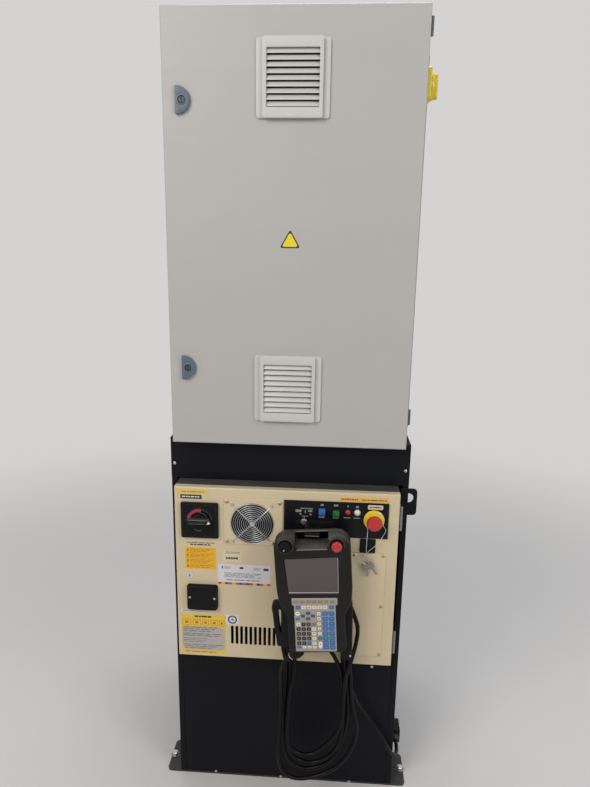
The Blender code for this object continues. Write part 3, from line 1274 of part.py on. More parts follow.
def build_mounting_plate():
    """Zinc plate inside the enclosure, on four bosses against the rear wall."""
    middle = ENCLOSURE_BOTTOM + ENCLOSURE_HEIGHT / 2
    wide = ENCLOSURE_WIDTH - 2 * MOUNTING_PLATE_MARGIN
    high = ENCLOSURE_HEIGHT - 2 * MOUNTING_PLATE_MARGIN
    wall_front = ENCLOSURE_BACK - ENCLOSURE_SHEET - SEAT_GAP
    face = wall_front - MOUNTING_BOSS
    plate = prism("mounting_plate", rectangle((0.0, middle), (wide, high)), "Y", face - MOUNTING_PLATE_SHEET,
                  face, ZINC_PLATE)
    bosses = []
    for side in (-1, 1):
        for end in (-1, 1):
            place = (side * (wide / 2 - MOUNTING_BOSS), middle + end * (high / 2 - MOUNTING_BOSS))
            boss = prism("boss", circle(place, MOUNTING_BOSS / 2, 10), "Y",
                         face - MOUNTING_PLATE_SHEET / 2, wall_front)
            bosses.append(boss)
    return join(plate, *bosses)


def build_enclosure_hinge(name, centre_z):
    """Hinge barrel at the enclosure's right front edge with a leaf on the side wall."""
    side = ENCLOSURE_WIDTH / 2 - ENCLOSURE_SIDE_STEP + SEAT_GAP
    half = ENCLOSURE_HINGE_HEIGHT / 2
    sheet = HINGE_LEAF
    leaf = box(name, (side, ENCLOSURE_HINGE_Y + EDGE_GAP, centre_z - half),
               (side + sheet, ENCLOSURE_HINGE_Y + HINGE_LEAF_REACH, centre_z + half), SLATE_PLASTIC)
    radius = ENCLOSURE_HINGE_RADIUS
    low = centre_z - half
    high = centre_z + half
    profile = [(0, low), (radius, low), (radius, high), (0, high)]
    barrel = turned("barrel", profile, (ENCLOSURE_HINGE_X, ENCLOSURE_HINGE_Y, 0), sides=16, axis="Z")
    return join(leaf, barrel)


def build_enclosure_door():
    """Folded door pan of the enclosure with the cut-outs of filters and locks."""
    centre = (0.0, ENCLOSURE_BOTTOM + ENCLOSURE_HEIGHT / 2)
    door = folded_pan("enclosure_door", centre, (ENCLOSURE_WIDTH, ENCLOSURE_HEIGHT), ENCLOSURE_FRONT,
                      ENCLOSURE_DOOR_DEPTH, ENCLOSURE_SHEET, CONTROLLER_EDGE_RADIUS, GREY_PAINT)
    front = ENCLOSURE_FRONT - EDGE_GAP
    back = ENCLOSURE_FRONT + ENCLOSURE_SHEET + EDGE_GAP
    tools = []
    for place in FILTER_PLACES.values():
        opening = FILTER_HOUSING + 2 * FILTER_CUTOUT_GAP
        tools.append(prism("opening", rectangle(place, (opening, opening)), "Y", front, back))
    for place in LOCK_PLACES.values():
        hole = circle(place, LOCK_RADIUS + BORE_GAP, 20)
        tools.append(prism("lock_hole", hole, "Y", front, back))
    return cut(door, *tools)


def build_latch_plate(name, centre):
    """Half-moon lock housing on the door's face, flat side to the left."""
    left = centre[0] - LATCH_WIDTH * 0.45
    squash = LATCH_WIDTH / (LATCH_HEIGHT / 2)
    round_side = [(left + x * squash, centre[1] + z) for x, z in arc((0, 0), LATCH_HEIGHT / 2, -90, 90, 14)]
    bore = circle(centre, LOCK_RADIUS + BORE_GAP, 20)
    face = ENCLOSURE_FRONT - SEAT_GAP
    return prism(name, round_side, "Y", face - LATCH_THICKNESS, face, SLATE_PLASTIC, [bore])


def build_lock(name, centre):
    """Lock insert through the door with its cam behind the sheet."""
    front = ENCLOSURE_FRONT - SEAT_GAP - LATCH_THICKNESS
    cam_front = ENCLOSURE_FRONT + ENCLOSURE_SHEET + SEAT_GAP
    insert = prism(name, circle(centre, LOCK_RADIUS, 20), "Y", front, cam_front + EDGE_GAP, SLATE_PLASTIC)
    slot = box("slot", (centre[0] - 0.0012, front - EDGE_GAP, centre[1] - 0.005),
               (centre[0] + 0.0012, front + 0.004, centre[1] + 0.005))
    cut(insert, slot)
    size = (LOCK_CAM[1], LOCK_CAM[0])
    middle = (centre[0], centre[1] + LOCK_CAM[0] / 2 - LOCK_CAM[1] / 2)
    cam = prism("cam", rounded_rectangle(middle, size, 0.005, 2), "Y", cam_front,
                cam_front + LOCK_CAM_SHEET)
    return join(insert, cam)


def build_filter(name, centre):
    """Filter unit: base plate, raised louvred cover and the housing behind the door."""
    face = ENCLOSURE_FRONT - SEAT_GAP
    field = rectangle(centre, FILTER_FIELD_SIZE)
    base = prism(name, rounded_rectangle(centre, FILTER_BASE_SIZE, 0.004, 2), "Y",
                 face - FILTER_BASE_THICKNESS, face, GREY_PLASTIC, [field])
    cover_size = (FILTER_COVER_WIDTH, FILTER_BASE_SIZE[1])
    cover = prism("cover", rounded_rectangle(centre, cover_size, 0.003, 2), "Y",
                  face - FILTER_BASE_THICKNESS - FILTER_COVER_THICKNESS, face - FILTER_BASE_THICKNESS / 2,
                  holes=[field])
    housing = prism("housing", rectangle(centre, (FILTER_HOUSING, FILTER_HOUSING)), "Y",
                    face - FILTER_BASE_THICKNESS / 2, face + FILTER_HOUSING_DEPTH, holes=[field])
    slats = []
    pitch = FILTER_FIELD_SIZE[1] / (FILTER_SLOTS + 1)
    for index in range(FILTER_SLOTS + 1):
        slats.append(louvre_slat(centre, centre[1] + FILTER_FIELD_SIZE[1] / 2 - pitch * (index + 0.3), face))
    return join(base, cover, housing, *slats)


def louvre_slat(centre, height, face):
    """Return one sloped slat across the louvre field."""
    front = face - FILTER_BASE_THICKNESS - FILTER_COVER_THICKNESS + 0.001
    back = face - 0.0005
    rise = 0.007
    outline = [(front, height - FILTER_SLAT / 2), (front, height + FILTER_SLAT / 2),
               (back, height + FILTER_SLAT / 2 + rise), (back, height - FILTER_SLAT / 2 + rise + 0.002)]
    outline = [(y, min(z, centre[1] + FILTER_FIELD_SIZE[1] / 2 + 0.002)) for y, z in outline]
    half = FILTER_FIELD_SIZE[0] / 2 + 0.001
    return prism("slat", outline, "X", centre[0] - half, centre[0] + half)


def isolator_centre():
    """Return the isolator's place (y, z) on the enclosure's right side."""
    height = ENCLOSURE_BOTTOM + ENCLOSURE_HEIGHT - ISOLATOR_FROM_TOP
    return (ENCLOSURE_FRONT + ISOLATOR_FROM_FRONT, height)


def build_isolator_base():
    """Yellow base of the isolator on the enclosure's side."""
    centre = isolator_centre()
    start = ENCLOSURE_WIDTH / 2 - ENCLOSURE_SIDE_STEP + SEAT_GAP
    outline = rounded_rectangle(centre, (ISOLATOR_SIZE, ISOLATOR_SIZE), 0.010, 3)
    return prism("isolator_base", outline, "X", start, start + ISOLATOR_BASE_THICKNESS, YELLOW_PLASTIC)


def build_isolator_handle():
    """Turning knob of the isolator with its grip bar."""
    centre = isolator_centre()
    start = ENCLOSURE_WIDTH / 2 - ENCLOSURE_SIDE_STEP + ISOLATOR_BASE_THICKNESS + 2 * SEAT_GAP
    knob_top = start + ISOLATOR_KNOB_THICKNESS
    knob = prism("isolator_handle", circle(centre, ISOLATOR_KNOB_RADIUS, 28), "X", start, knob_top,
                 YELLOW_PLASTIC)
    grip_size = (ISOLATOR_GRIP[1], ISOLATOR_GRIP[0])
    grip = prism("grip", rounded_rectangle(centre, grip_size, 0.005, 2), "X", knob_top - 0.003,
                 knob_top + ISOLATOR_GRIP_HEIGHT)
    return join(knob, grip)


def build_stand():
    """Build every piece of the floor stand."""
    build_base_plate()
    build_stand_side("stand_side_left", -1)
    build_stand_side("stand_side_right", 1)
    build_lower_panel()
    build_upper_panel()
    build_stand_top()
    build_shelf()
    build_stand_back()
    build_rear_frame()
    build_lifting_lug()
    build_cable_gland()


def build_controller():
    """Build the controller's shell, door and all that the door carries."""
    build_controller_shell()
    top_hinge = CONTROLLER_TOP - HINGE_INSET - HINGE_HEIGHT / 2
    build_controller_hinge("controller_hinge_upper", top_hinge)
    build_controller_hinge("controller_hinge_lower", CONTROLLER_BOTTOM + HINGE_INSET + HINGE_HEIGHT / 2)
    door = build_controller_door()
    set_origin(door, (HINGE_X, HINGE_Y, CONTROLLER_BOTTOM))
    build_operator_panel()
    for name, place, look in (("reset_button", RESET_CENTRE, BLUE_PLASTIC),
                              ("start_button", START_CENTRE, GREEN_PLASTIC)):
        set_origin(build_push_button(name, place, look), (place[0], PANEL_FACE, place[1]))
    build_stop_collar()
    set_origin(build_stop_button(), (STOP_CENTRE[0], PANEL_FACE, STOP_CENTRE[1]))
    set_origin(build_mode_switch(), (SWITCH_CENTRE[0], PANEL_FACE, SWITCH_CENTRE[1]))
    build_lamp("red_lamp", RED_LAMP_CENTRE, RED_PLASTIC)
    build_lamp("white_lamp", WHITE_LAMP_CENTRE, WHITE_PLASTIC)
    build_breaker_base()
    set_origin(build_breaker_handle(), (BREAKER_CENTRE[0], DOOR_FACE, BREAKER_CENTRE[1]))
    build_fan_plate()
    build_fan_guard()
    build_cooling_fan()
    build_cover("socket_cover", SOCKET_CENTRE, SOCKET_SIZE, SOCKET_THICKNESS, BLACK_PLASTIC)
    build_cover("port_cover", PORT_CENTRE, PORT_SIZE, PORT_THICKNESS, BLACK_PLASTIC)
    build_pendant_holder()
    build_keys()
    build_key_tether()


def build_pendant():
    """Build the pendant as it hangs, its cable's coil, drop and tail."""
    for piece in (build_pendant_body(), build_pendant_screen(), build_pendant_keypad(),
                  build_pendant_stop(), build_pendant_switch()):
        hang(piece)
    build_strain_relief()
    build_cable_coil()
    build_cable_drop()
    build_cable_tail()


def build_enclosure():
    """Build the electrical enclosure and its door."""
    build_enclosure_body()
    build_mounting_plate()
    build_enclosure_hinge("enclosure_hinge_lower", ENCLOSURE_BOTTOM + ENCLOSURE_HINGE_INSET)
    build_enclosure_hinge("enclosure_hinge_upper",
                          ENCLOSURE_BOTTOM + ENCLOSURE_HEIGHT - ENCLOSURE_HINGE_INSET / 2)
    set_origin(build_enclosure_door(), (ENCLOSURE_HINGE_X, ENCLOSURE_HINGE_Y, ENCLOSURE_BOTTOM))
    for end, place in LOCK_PLACES.items():
        build_latch_plate("latch_plate_" + end, place)
        set_origin(build_lock("lock_" + end, place), (place[0], ENCLOSURE_FRONT, place[1]))
    for name, place in FILTER_PLACES.items():
        build_filter(name, place)
    build_isolator_base()
    centre = isolator_centre()
    set_origin(build_isolator_handle(), (ENCLOSURE_WIDTH / 2, centre[0], centre[1]))


def main():
    """Build the whole cabinet."""
    clear_scene()
    build_stand()
    build_controller()
    build_pendant()
    build_enclosure()


main()
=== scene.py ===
"""Looks of a robot controller cabinet with a hanging pendant and an electrical enclosure on top.

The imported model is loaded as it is, and new pieces are built around it and ride on its bodies.
All sizes are in metres in the cabinet's own frame: the front faces -Y and +Z is up.
"""
from __future__ import annotations

import json
import logging
import math
from collections.abc import Callable
from collections.abc import Iterable
from collections.abc import Sequence
from dataclasses import dataclass
from enum import Enum

import bmesh
import bpy
from mathutils import Matrix
from mathutils import Vector

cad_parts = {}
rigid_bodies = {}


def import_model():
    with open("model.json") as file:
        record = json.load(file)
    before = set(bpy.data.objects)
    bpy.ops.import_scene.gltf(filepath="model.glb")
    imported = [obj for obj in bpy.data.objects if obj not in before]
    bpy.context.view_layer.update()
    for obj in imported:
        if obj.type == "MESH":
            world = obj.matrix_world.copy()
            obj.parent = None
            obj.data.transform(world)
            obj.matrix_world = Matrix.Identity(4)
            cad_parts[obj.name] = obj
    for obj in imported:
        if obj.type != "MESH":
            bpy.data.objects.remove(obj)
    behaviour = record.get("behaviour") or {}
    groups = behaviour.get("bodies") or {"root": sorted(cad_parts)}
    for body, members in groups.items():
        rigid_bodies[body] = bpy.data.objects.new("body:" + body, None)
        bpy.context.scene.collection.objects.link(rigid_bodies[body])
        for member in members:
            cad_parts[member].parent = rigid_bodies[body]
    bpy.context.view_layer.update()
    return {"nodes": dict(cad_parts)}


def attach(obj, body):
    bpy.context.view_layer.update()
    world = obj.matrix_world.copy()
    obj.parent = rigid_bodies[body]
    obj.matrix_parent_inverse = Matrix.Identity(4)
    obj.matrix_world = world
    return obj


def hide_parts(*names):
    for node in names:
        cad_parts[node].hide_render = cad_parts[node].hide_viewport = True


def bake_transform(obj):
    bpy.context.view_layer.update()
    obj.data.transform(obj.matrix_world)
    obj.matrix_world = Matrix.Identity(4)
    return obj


for leftover in list(bpy.data.objects):
    bpy.data.objects.remove(leftover)
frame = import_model()

LOG = logging.getLogger("controller_cabinet")

Colour = tuple[float, float, float]
Place = tuple[float, float, float]
Flat = tuple[float, float]
Outline = list[Flat]
Piece = bpy.types.Object
Tree = bpy.types.NodeTree
Socket = bpy.types.NodeSocket
Sockets = dict[str, Socket]

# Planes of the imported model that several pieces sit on
DOOR_FACE = -0.3100
PLATE_FACE = -0.3123
PANEL_FACE = -0.3133
ENCLOSURE_FACE = -0.3000
STAND_FACE = -0.2500
UPPER_PANEL_FACE = -0.2523

# How deep a piece sits in the plane below it, and how thick or how deep a printed film is
SKIN = 0.0003
INK = 0.0001

# Points of a mesh closer than these are made one
MERGE = 0.000002
WELD = 0.00001

# Edges sharper than these many degrees are bevelled, or stay sharp in the shading
BEVEL_ANGLE = 40.0
SHARP_ANGLE = 35.0
ROUND_ANGLE = 60.0


class Surface(Enum):
    """Kinds of surface, each with a texture of its own."""

    POWDER_COAT = "powder coat"
    MOULDED = "moulded"
    GLOSSY = "glossy"
    BRUSHED = "brushed"
    PRINTED = "printed"
    GLASS = "glass"


@dataclass(frozen=True)
class Finish:
    """One finish: its colour, how rough it is, how it has aged, and the painted light on its edges
    and on its faces that look up.
    """

    name: str
    slot: str
    surface: Surface
    colour: Colour
    roughness: float
    metallic: float = 0.0
    shade: float = 0.06
    # The edge amount and edge colour below lighten the edges: partly real wear, partly a painted
    # highlight on rounded edges.
    wear: float = 0.0
    wear_colour: Colour = (0.55, 0.55, 0.55)
    # The next amount lightens faces that look up: partly settled dust, partly painted light from
    # above.
    dust: float = 0.0
    grain: float = 1.0
    specular: float = 0.5


def printed(name: str, slot: str, colour: Colour, roughness: float = 0.42,
            **aged: float) -> Finish:
    """Return the finish of a printed film or ink."""
    return Finish(name, slot, Surface.PRINTED, colour, roughness, **aged)


def moulded(name: str, slot: str, colour: Colour, roughness: float = 0.40,
            **aged: float | Colour) -> Finish:
    """Return the finish of a moulded plastic."""
    return Finish(name, slot, Surface.MOULDED, colour, roughness, **aged)


def glossy(name: str, slot: str, colour: Colour, roughness: float = 0.30) -> Finish:
    """Return the finish of a glossy plastic."""
    return Finish(name, slot, Surface.GLOSSY, colour, roughness)


@dataclass(frozen=True)
class Finishes:
    """Every finish on the cabinet."""

    cream: Finish = Finish("cream_powder_coat", "cream_paint", Surface.POWDER_COAT,
                           (0.610, 0.510, 0.335), 0.42, wear=0.35, wear_colour=(0.72, 0.62, 0.42))
    dark: Finish = Finish("dark_powder_coat", "dark_paint", Surface.POWDER_COAT,
                          (0.0058, 0.0066, 0.0092), 0.46, shade=0.25, wear=0.30,
                          wear_colour=(0.05, 0.05, 0.055), dust=0.06, specular=0.12)
    shell: Finish = Finish("shell_powder_coat", "shell_paint", Surface.POWDER_COAT,
                           (0.045, 0.045, 0.048), 0.50, shade=0.2, dust=0.15)
    grey: Finish = Finish("grey_powder_coat", "grey_paint", Surface.POWDER_COAT,
                          (0.428, 0.416, 0.405), 0.48, wear=0.25, wear_colour=(0.66, 0.65, 0.64))
    foot: Finish = Finish("worn_foot_coat", "dark_paint", Surface.POWDER_COAT,
                          (0.022, 0.020, 0.020), 0.55, shade=0.3, wear=0.4,
                          wear_colour=(0.12, 0.12, 0.12), dust=0.08)
    grey_plastic: Finish = moulded("grey_moulding", "grey_plastic", (0.545, 0.535, 0.520), 0.42)
    slate: Finish = moulded("slate_moulding", "slate_plastic", (0.095, 0.125, 0.155), 0.42,
                            wear=0.3, wear_colour=(0.25, 0.29, 0.33))
    black: Finish = moulded("black_moulding", "black_plastic", (0.0040, 0.0036, 0.0040),
                            shade=0.2, wear=0.25, wear_colour=(0.035, 0.035, 0.038), specular=0.18)
    panel_black: Finish = printed("panel_film", "black_plastic", (0.0048, 0.0048, 0.0066), 0.38,
                                  shade=0.2, specular=0.2)
    # The charcoal's large dust amount is mostly painted light from above on the pendant's shoulders
    # and scoop, and its light edge colour is partly a painted edge highlight.
    charcoal: Finish = moulded("charcoal_moulding", "black_plastic", (0.0060, 0.0042, 0.0044), 0.44,
                               shade=0.2, wear=0.5, wear_colour=(0.080, 0.070, 0.080), dust=0.36,
                               grain=1.5, specular=0.18)
    # A lighter copy of the housing's black, used as a painted highlight on the pod rims.
    pod_rim_highlight: Finish = moulded("pendant_pod_rim_highlight", "black_plastic", (0.042, 0.038, 0.044), 0.48,
                               shade=0.15, wear=0.4, wear_colour=(0.12, 0.11, 0.12), grain=1.5)
    red: Finish = glossy("red_moulding", "red_plastic", (0.47, 0.013, 0.018))
    yellow: Finish = glossy("yellow_moulding", "yellow_plastic", (0.72, 0.56, 0.012), 0.36)
    blue: Finish = glossy("blue_moulding", "blue_plastic", (0.012, 0.13, 0.42), 0.32)
    green: Finish = glossy("green_moulding", "green_plastic", (0.006, 0.13, 0.022), 0.32)
    white: Finish = glossy("white_moulding", "white_plastic", (0.72, 0.72, 0.70))
    screen: Finish = Finish("screen_glass", "screen_glass", Surface.GLASS,
                            (0.064, 0.052, 0.048), 0.22)
    film: Finish = printed("keypad_film", "keypad_film", (0.350, 0.315, 0.262), 0.45)
    jacket: Finish = moulded("cable_jacket", "cable_jacket", (0.0034, 0.0027, 0.0025), 0.33,
                             shade=0.3, grain=0.7, specular=0.17)
    steel: Finish = Finish("bright_steel", "bright_steel", Surface.BRUSHED,
                           (0.62, 0.61, 0.59), 0.30, metallic=1.0)
    dark_steel: Finish = Finish("dulled_steel", "bright_steel", Surface.BRUSHED,
                                (0.30, 0.29, 0.28), 0.42, metallic=1.0)
    brass: Finish = Finish("passivated_screw", "bright_steel", Surface.BRUSHED,
                           (0.55, 0.47, 0.33), 0.36, metallic=1.0)
    zinc: Finish = Finish("zinc_plate", "zinc_plate", Surface.BRUSHED, (0.52, 0.53, 0.54), 0.42,
                          metallic=1.0)
    paper: Finish = printed("white_print", "white_plastic", (0.66, 0.65, 0.66))
    lilac: Finish = printed("lilac_print", "white_plastic", (0.655, 0.625, 0.655))
    silver_label: Finish = printed("silver_print", "grey_plastic", (0.42, 0.385, 0.36), 0.38)
    amber_label: Finish = printed("amber_print", "yellow_plastic", (0.76, 0.42, 0.010))
    yellow_label: Finish = printed("yellow_print", "yellow_plastic", (0.74, 0.50, 0.045))
    ink: Finish = printed("black_ink", "black_plastic", (0.030, 0.024, 0.022), 0.50)
    soft_ink: Finish = printed("thin_ink", "black_plastic", (0.20, 0.165, 0.13), 0.50)
    white_ink: Finish = printed("white_ink", "white_plastic", (0.50, 0.50, 0.50), 0.45)
    red_ink: Finish = printed("red_ink", "red_plastic", (0.40, 0.030, 0.045))
    green_ink: Finish = printed("green_ink", "green_plastic", (0.010, 0.075, 0.035))
    soft_white: Finish = printed("soft_white_ink", "white_plastic", (0.24, 0.24, 0.25), 0.50)
    brown_ink: Finish = printed("brown_ink", "black_plastic", (0.42, 0.145, 0.012), 0.45)
    plate_ink: Finish = printed("grey_ink", "black_plastic", (0.17, 0.155, 0.15), 0.45)
    navy_ink: Finish = printed("navy_ink", "blue_plastic", (0.016, 0.028, 0.10))
    red_square: Finish = printed("red_square_ink", "red_plastic", (0.52, 0.060, 0.030))
    cream_label: Finish = printed("cream_print", "yellow_plastic", (0.66, 0.56, 0.38))
    amber_strip: Finish = printed("amber_strip_print", "yellow_plastic", (0.78, 0.44, 0.045), 0.40)
    triangle_yellow: Finish = printed("triangle_print", "yellow_plastic", (0.80, 0.62, 0.020))
    # A lighter copy of the housing's black: a painted highlight on the screen frame's sill and
    # right side.
    painted_bezel_highlight: Finish = glossy("screen_edge_painted_highlight", "black_plastic", (0.34, 0.30, 0.32))
    key_beige: Finish = moulded("beige_key", "keypad_film", (0.27, 0.215, 0.140))
    key_light: Finish = moulded("light_key", "keypad_film", (0.66, 0.62, 0.52))
    key_blue: Finish = moulded("blue_key", "blue_plastic", (0.020, 0.135, 0.40), 0.36)
    key_navy: Finish = moulded("navy_key", "blue_plastic", (0.020, 0.035, 0.17), 0.36)
    key_teal: Finish = moulded("teal_key", "blue_plastic", (0.020, 0.17, 0.25), 0.36)
    key_black: Finish = moulded("black_key", "black_plastic", (0.016, 0.014, 0.014), 0.36)
    key_grey: Finish = moulded("grey_key", "keypad_film", (0.22, 0.20, 0.19))
    dark_slate: Finish = moulded("dark_slate_moulding", "slate_plastic", (0.040, 0.060, 0.085))
    filter_mat: Finish = moulded("filter_mat", "grey_plastic", (0.055, 0.052, 0.050), 0.80,
                                 shade=0.3, grain=4.0)
    blue_ink: Finish = printed("blue_ink", "blue_plastic", (0.010, 0.085, 0.26))


FINISH = Finishes()


@dataclass(frozen=True)
class Texture:
    """How one kind of surface is textured: its grain, its streaks and its clear coat."""

    scale: float
    depth: float
    spread: float = 0.07
    streaks: float = 2.0
    coated: bool = False


TEXTURES = {Surface.POWDER_COAT: Texture(900.0, 0.30),
            Surface.MOULDED: Texture(1600.0, 0.22),
            Surface.GLOSSY: Texture(500.0, 0.04, coated=True),
            Surface.BRUSHED: Texture(300.0, 0.06, spread=0.12, streaks=30.0),
            Surface.PRINTED: Texture(260.0, 0.06),
            Surface.GLASS: Texture(120.0, 0.01, spread=0.03, coated=True)}
COAT_WEIGHT = 0.4
COAT_ROUGHNESS = 0.08
PATCH_SCALE = 5.0
SPECK_SCALE = 420.0
GRAIN_HEIGHT = 0.0004
# Colour laid on faces that look up, for settled dust and for painted light from above.
DUST_AND_TOP_LIGHT_COLOUR: Colour = (0.30, 0.28, 0.26)


def put(tree: Tree, kind: str, inputs: dict[str | int, object] | None = None,
        **settings: object) -> bpy.types.Node:
    """Add a shader node to a tree.

    Args:
        tree: The tree that gets the node.
        kind: The node's type, without the "ShaderNode" before it.
        inputs: For each input, the socket that feeds it or its constant.
        **settings: The node's own settings.

    Returns:
        The node.
    """
    node = tree.nodes.new("ShaderNode" + kind)
    for label, value in settings.items():
        setattr(node, label, value)
    for label, value in (inputs or {}).items():
        if isinstance(value, bpy.types.NodeSocket):
            tree.links.new(value, node.inputs[label])
        else:
            node.inputs[label].default_value = value
    return node


def multiply(tree: Tree, first: Socket, second: Socket | float, clamp: bool = False) -> Socket:
    """Return the product of a socket and another socket or a number."""
    return put(tree, "Math", {0: first, 1: second}, operation="MULTIPLY",
               use_clamp=clamp).outputs[0]


def noise(tree: Tree, scale: Socket | float, detail: float = 2.0, roughness: float = 0.5,
          place: Socket | None = None) -> Socket:
    """Return a cloudy value over the piece's own space, or over a given place."""
    vector = place or put(tree, "TexCoord").outputs["Object"]
    return put(tree, "TexNoise", {"Vector": vector, "Scale": scale, "Detail": detail,
                                  "Roughness": roughness}).outputs["Fac"]


def blend_over(tree: Tree, under: Socket, over: Colour, mask: Socket) -> Socket:
    """Return one colour laid over another by a mask."""
    return put(tree, "MixRGB", {"Fac": mask, "Color1": under,
                                "Color2": (*over, 1.0)}).outputs["Color"]


def wire_tone_patches(tree: Tree, given: Sockets) -> Socket:
    """Darken a colour in broad soft patches and fine specks.

    Args:
        tree: The group's tree.
        given: The sockets of the group's inputs.

    Returns:
        The socket that the group puts out.
    """
    patches = multiply(tree, noise(tree, given["Scale"], 5.0, 0.6), noise(tree, SPECK_SCALE))
    share = multiply(tree, multiply(tree, patches, given["Shade"]), 4.0)
    dark = put(tree, "MixRGB", {"Fac": share, "Color1": given["Color"],
                                "Color2": (0.0, 0.0, 0.0, 1.0)}, blend_type="MULTIPLY")
    return put(tree, "MixRGB", {"Fac": 0.6, "Color1": given["Color"],
                                "Color2": dark.outputs["Color"]}).outputs["Color"]


def wire_surface_grain(tree: Tree, given: Sockets) -> Socket:
    """Turn a fine grain into a bumped normal."""
    return put(tree, "Bump", {"Distance": GRAIN_HEIGHT, "Strength": given["Depth"],
                              "Height": noise(tree, given["Scale"], 3.0)}).outputs["Normal"]


def wire_brushed_lines(tree: Tree, given: Sockets) -> Socket:
    """Give streaks as a value between a low and a high one.

    Args:
        tree: The group's tree.
        given: The sockets of the group's inputs.

    Returns:
        The socket that the group puts out.
    """
    place = put(tree, "TexCoord").outputs["Object"]
    drawn_out = put(tree, "Mapping", {"Vector": place, "Scale": (1.0, 1.0, 25.0)})
    streak = noise(tree, given["Scale"], 4.0, place=drawn_out.outputs["Vector"])
    return put(tree, "MapRange", {"Value": streak, "From Min": 0.3, "From Max": 0.7,
                                  "To Min": given["Low"],
                                  "To Max": given["High"]}).outputs["Result"]


def wire_edge_wear(tree: Tree, given: Sockets) -> Socket:
    """Mask rubbed edges, broken up by patches; the mask also carries a painted highlight on rounded
    edges.

    Args:
        tree: The group's tree.
        given: The sockets of the group's inputs.

    Returns:
        The socket that the group puts out.
    """
    bent = put(tree, "Bevel", {"Radius": given["Radius"]}, samples=4).outputs["Normal"]
    flat = put(tree, "NewGeometry").outputs["Normal"]
    across = put(tree, "VectorMath", {0: bent, 1: flat}, operation="DOT_PRODUCT")
    bend = put(tree, "MapRange", {"Value": across.outputs["Value"], "From Min": 0.98,
                                  "From Max": 0.80}).outputs["Result"]
    rubbed = multiply(tree, multiply(tree, bend, noise(tree, 60.0, 4.0)), given["Amount"], True)
    return multiply(tree, rubbed, 2.0, True)


def wire_settled_dust(tree: Tree, given: Sockets) -> Socket:
    """Mask the dust, and the painted light from above, on faces that look up, with a little on the
    upright ones.

    Args:
        tree: The group's tree.
        given: The sockets of the group's inputs.

    Returns:
        The socket that the group puts out.
    """
    normal = put(tree, "NewGeometry").outputs["Normal"]
    upward = put(tree, "SeparateXYZ", {"Vector": normal}).outputs["Z"]
    facing = put(tree, "MapRange", {"Value": upward, "From Min": 0.1, "From Max": 0.9,
                                    "To Min": 0.12}).outputs["Result"]
    return multiply(tree, multiply(tree, facing, noise(tree, 14.0, 6.0)), given["Amount"], True)


@dataclass(frozen=True)
class Effect:
    """A shader effect that materials share: its inputs, its one output and its wiring."""

    name: str
    wiring: Callable[[Tree, Sockets], Socket]
    output: str
    inputs: tuple[tuple[str, object], ...]


TONE_PATCHES = Effect("tone_patches", wire_tone_patches, "Color",
                      (("Color", (0.5, 0.5, 0.5, 1.0)), ("Shade", 0.1), ("Scale", 6.0)))
SURFACE_GRAIN = Effect("surface_grain", wire_surface_grain, "Normal",
                       (("Scale", 600.0), ("Depth", 0.1)))
BRUSHED_LINES = Effect("brushed_lines", wire_brushed_lines, "Value",
                       (("Scale", 30.0), ("Low", 0.25), ("High", 0.45)))
EDGE_WEAR_AND_HIGHLIGHT = Effect("edge_wear", wire_edge_wear, "Mask", (("Radius", 0.0012), ("Amount", 0.3)))
SETTLED_DUST_AND_TOP_LIGHT = Effect("settled_dust", wire_settled_dust, "Mask", (("Amount", 0.2),))
SOCKET_KINDS = {"Color": "NodeSocketColor", "Normal": "NodeSocketVector"}


